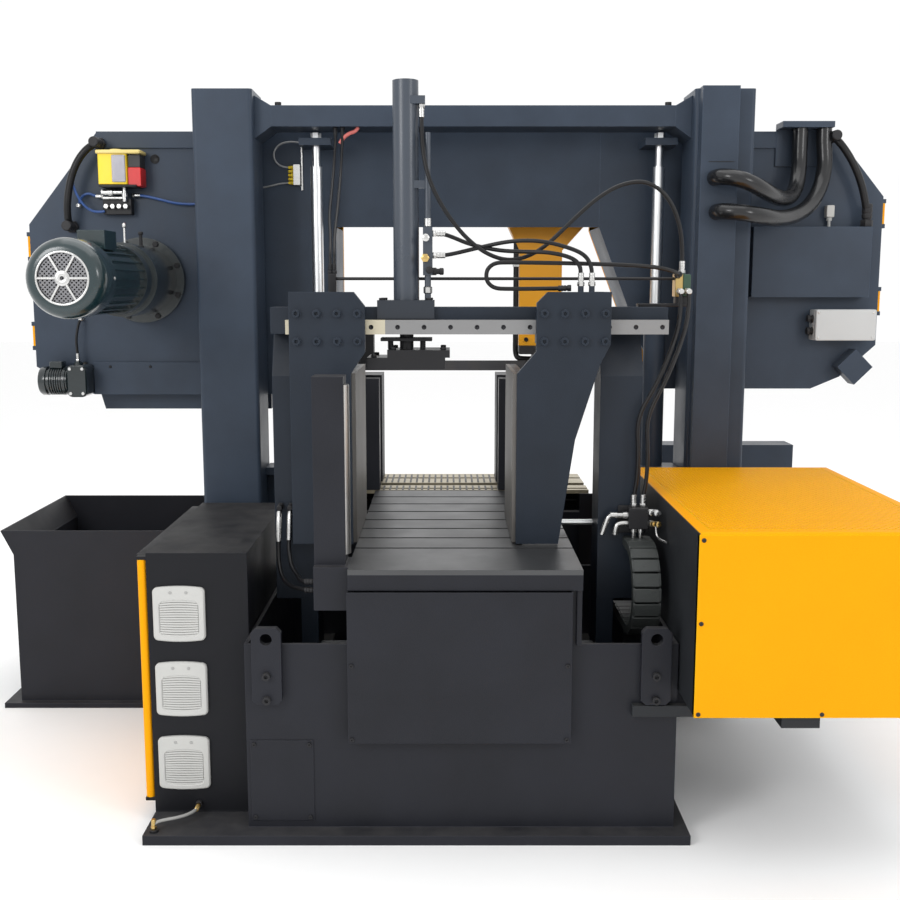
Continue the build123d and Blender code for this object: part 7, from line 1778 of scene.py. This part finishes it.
@dataclass
class BaseDetails:
    """Seam, roof lip and sleeve of the base and the cabinet, and painted shade on the bed: a dark sheet in
    one gap and thin dark lines over the gaps between its bars.
    """

    seam: Box = Box((842, -171, 2097), (933, -170, 2099.6), 0.4, Axis.Y, 0.2)
    # A dark sheet right of the far bed stands in for the shade in that gap: painted shade.
    shade_plate: Box = Box((436, 124, 300), (640, 130, 834), 3, Axis.Y, 1)
    # Dark lines over the far bed bars stand in for the shaded gaps between them: painted shade.
    gap_shade_near: Box = Box((-4, 186, 838), (4, 282, 838.6), 0.2, Axis.Z, 0.1)
    gap_shade_far: Box = Box((-4, 358, 838), (4, 556, 838.6), 0.2, Axis.Z, 0.1)
    strip_first: float = -380.0
    strip_last: float = 300.0
    strip_pitch: float = 26.0
    roof_lip: Box = Box((-1046, -946, 838), (-1004, -191, 845), 2, Axis.Y, 1)
    sleeve: Pipe = Pipe(((-492, -36, 2178), (-482, -36, 2196), (-458, -36, 2214), (-430, -36, 2222),
                         (-424, -36, 2236)), 7)

    def build(self) -> None:
        """Make the duct's seam, the bed's painted shade sheet and painted gap shade lines, the cabinet's roof
        lip and the red sleeve.
        """
        piece("duct_seam", self.seam, BLACK, "base")
        piece("bed_guard", self.shade_plate, SHADED_SHEET, "base")
        across = np.arange(self.strip_first, self.strip_last, self.strip_pitch)
        gap_shades = (self.gap_shade_near + self.gap_shade_far).at(grid(across, (0.0,), (0.0,)))
        piece("bed_strips", gap_shades, BLACK, "base")
        piece("cabinet_roof_lip", self.roof_lip, SHADED_SHEET, "base")
        piece("red_sleeve", self.sleeve, PINK, "base")


@dataclass
class BrushDrive:
    """Small geared motor of the chip brush."""

    case: Box = Box((-1578, 62, 1228), (-1502, 170, 1352), 18, Axis.Y, 4)
    boss: Turned = Turned(((0, 18), (8, 18), (10, 14), (14, 14)), (-1550, 122, 1350), sides=18)
    terminals: Box = Box((-1650, 80, 1340), (-1600, 132, 1366), 4, Axis.Z, 2)
    motor_place: Point = (-1578, 109, 1289)
    motor_sides: int = 36
    motor_start: Profile = ((0, 44), (4, 50), (8, 50), (10, 55), (15, 55))
    motor_rib: Profile = ((16, 56), (20, 56), (20.5, 50), (24.5, 50))
    motor_end: Profile = ((84, 50), (85, 57), (104, 57), (112, 52), (117, 40), (118, 18))
    ribs: int = 7
    rib_pitch: float = 9.0
    bolt: float = 7.0
    bolt_x: tuple[float, ...] = (-1564.0, -1516.0)
    bolt_z: tuple[float, ...] = (1242.0, 1338.0)

    def build(self) -> None:
        """Make the gear housing, the ribbed motor, its terminal box and bolts."""
        node = ("brush_motor",)
        steps = np.arange(self.ribs)[:, None, None] * (self.rib_pitch, 0.0)
        ribs = (np.asarray(self.motor_rib) + steps).reshape(-1, 2)
        profile = np.vstack([self.motor_start, ribs, self.motor_end])
        motor = Turned(profile, self.motor_place, LEFT, self.motor_sides)
        drive = self.case + self.boss + motor + self.terminals
        piece("brush_drive", drive, GEAR, "saw_bow", "motor_paint", node)
        spots = grid(self.bolt_x, (self.case.low[1],), self.bolt_z)
        bolts = heads(Head.HEXAGON, spots, NEAR, self.bolt)
        piece("brush_drive_bolts", bolts, PLATED, "saw_bow", "", node)


@dataclass
class WheelDetails:
    """Ribs on the webs of the two band wheels, and the bolts and caps of their hubs."""

    drive_x: float = -1290.0
    idler_x: float = 1195.0
    height: float = 1680.0
    hub_face: float = 365.0
    web_face: float = 329.0
    rib: Box = Box((73, -7, -1), (298, 7, 15), 2, Axis.Z, 2)
    ribs: int = 6
    bolt: float = 9.0
    bolts: int = 8
    bolt_circle: float = 54.0
    cap: Turned = Turned(((0, 34), (6, 34), (9, 30), (10, 12)), axis=FAR, sides=32)

    def build(self) -> None:
        """Make both wheels' ribs, bolts and caps."""
        for body, x in (("drive_wheel", self.drive_x), ("idler_wheel", self.idler_x)):
            middles = np.tile((x, self.web_face, self.height), (self.ribs, 1))
            piece(f"{body}_ribs", self.rib.carried(middles, radial(self.ribs, 1.0)), IRON, body)
            hub = (x, self.hub_face, self.height)
            bolts = heads(Head.HEXAGON, round_places(hub, self.bolts, self.bolt_circle), FAR, self.bolt)
            piece(f"{body}_bolts", bolts + self.cap.at((hub,)), BLACK, body)


@dataclass
class GuideArmDetails:
    """Coolant pipe, clips and clamping screws of the moving guide arm."""

    pipe: Pipe = Pipe(((187, 352, 1834), (187, 352, 1760), (187, 352, 1600), (187, 352, 1440),
                       (187, 352, 1384), (195, 346, 1364), (217, 342, 1360), (253, 342, 1360)), 11, 16)
    clip: Box = Box((173, 338, 0), (201, 366, 14), 4, Axis.Z)
    clip_heights: tuple[float, ...] = (1735.0, 1480.0)
    screw: float = 9.0
    screw_x: tuple[float, ...] = (230.0, 344.0)
    screw_z: tuple[float, ...] = (1440.0, 1476.0)
    front: float = 341.0

    def build(self) -> None:
        """Make the pipe down the arm's left side, its two clips, and the screws on the arm's front."""
        piece("coolant_pipe", self.pipe, RUBBER, "guide_arm")
        clips = self.clip.at(grid((0.0,), (0.0,), self.clip_heights))
        piece("coolant_clips", clips, PLATED, "guide_arm")
        screws = heads(Head.SOCKET, grid(self.screw_x, (self.front,), self.screw_z), NEAR, self.screw)
        piece("arm_screws", screws, BLACK, "guide_arm")


@dataclass
class DeskPanel:
    """Screen, keys and lamps on the desk's sloped face.

    Their sizes are on the face itself: across it from right to left, up its slope, and out of it.
    """

    middle: Point = (1113.0, 795.0, 866.0)
    slope: Point = (0.0, -0.648, 0.762)
    way: Point = (0.0, 0.762, 0.648)
    bezel: Box = Box((60, -100, 0), (290, 100, 7), 12, Axis.Z, 2.5)
    glass: Box = Box((78, -62, 6), (272, 84, 8.2), 3, Axis.Z, 0.6)
    key: Box = Box((-9, -7, 6), (9, 7, 10), 3, Axis.Z, 1.2)
    keys: int = 8
    key_first: float = 262.0
    key_pitch: float = 26.0
    key_row: float = -80.0
    ring: Turned = Turned(((0, 17), (3, 17), (5, 15), (5, 12.5), (0, 12.5)), loop=True)
    lamp: Turned = Turned(((0, 9), (6, 9), (10, 7), (12, 3)), sides=20)
    lamps: tuple[Point, ...] = ((20, 62, 0), (-34, 62, 0), (-88, 62, 0))

    def build(self) -> None:
        """Make the bezel, the screen, the keys, the ring and the lamps, and carry them onto the face."""
        along = self.key_first - self.key_pitch * np.arange(self.keys)
        keys = self.key.at(grid(along, (self.key_row,), (0.0,)))
        parts = (("bezel", self.bezel, FAN), ("screen", self.glass, SCREEN), ("keys", keys, BOX_GREY),
                 ("rings", self.ring, PLATED), ("lamps", self.lamp.at(self.lamps), CREAM))
        place, rows = np.array((self.middle,)), np.array(((LEFT, self.slope, self.way),))
        for name, solid, finish in parts:
            piece(f"desk_{name}", solid.carried(place, rows), finish, "base")


@dataclass
class DoorFurniture:
    """Handle and two quarter turn latches of each wheel door."""

    face: float = 496.0
    left_handle: float = -620.0
    right_handle: float = 800.0
    latch_step: float = 60.0
    handle: Pipe = Pipe(((0, 0, 1620), (0, 34, 1620), (0, 38, 1650), (0, 38, 1710), (0, 34, 1740),
                         (0, 0, 1740)), 7)
    latch: Turned = Turned(((0, 17), (3, 17), (5, 14), (6, 8), (4, 7)), axis=FAR, sides=20)
    latch_heights: tuple[float, ...] = (1960.0, 1420.0)

    def build(self) -> None:
        """Make both doors' handles and latches."""
        for body, x in (("left_wheel_door", self.left_handle), ("right_wheel_door", self.right_handle)):
            piece(f"{body}_handle", self.handle.at(((x, self.face, 0.0),)), BLACK, body)
            spots = grid((x + self.latch_step,), (self.face,), self.latch_heights)
            piece(f"{body}_latches", self.latch.at(spots), PLATED, body)


def dress_nodes() -> None:
    """Give every carried over node its finish."""
    for finish, names in NODE_FINISHES.items():
        for name in names.split():
            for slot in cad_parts[name].material_slots:
                slot.material = finish.material()


def main() -> None:
    """Build the studio and every piece."""
    logging.basicConfig(level=logging.INFO, format="%(message)s")
    Studio().build()
    dress_nodes()
    HoseSet().build()
    assemblies = (DriveUnit(), FilterVents(), HydraulicHood(), DragChain(), Lubrication(), JunctionBox(),
                  ValveGroup(), ClampDetails(), BowDetails(), BaseDetails(), BrushDrive(), WheelDetails(),
                  GuideArmDetails(), DeskPanel(), DoorFurniture())
    for assembly in assemblies:
        assembly.build()


if __name__ == "__main__":
    main()
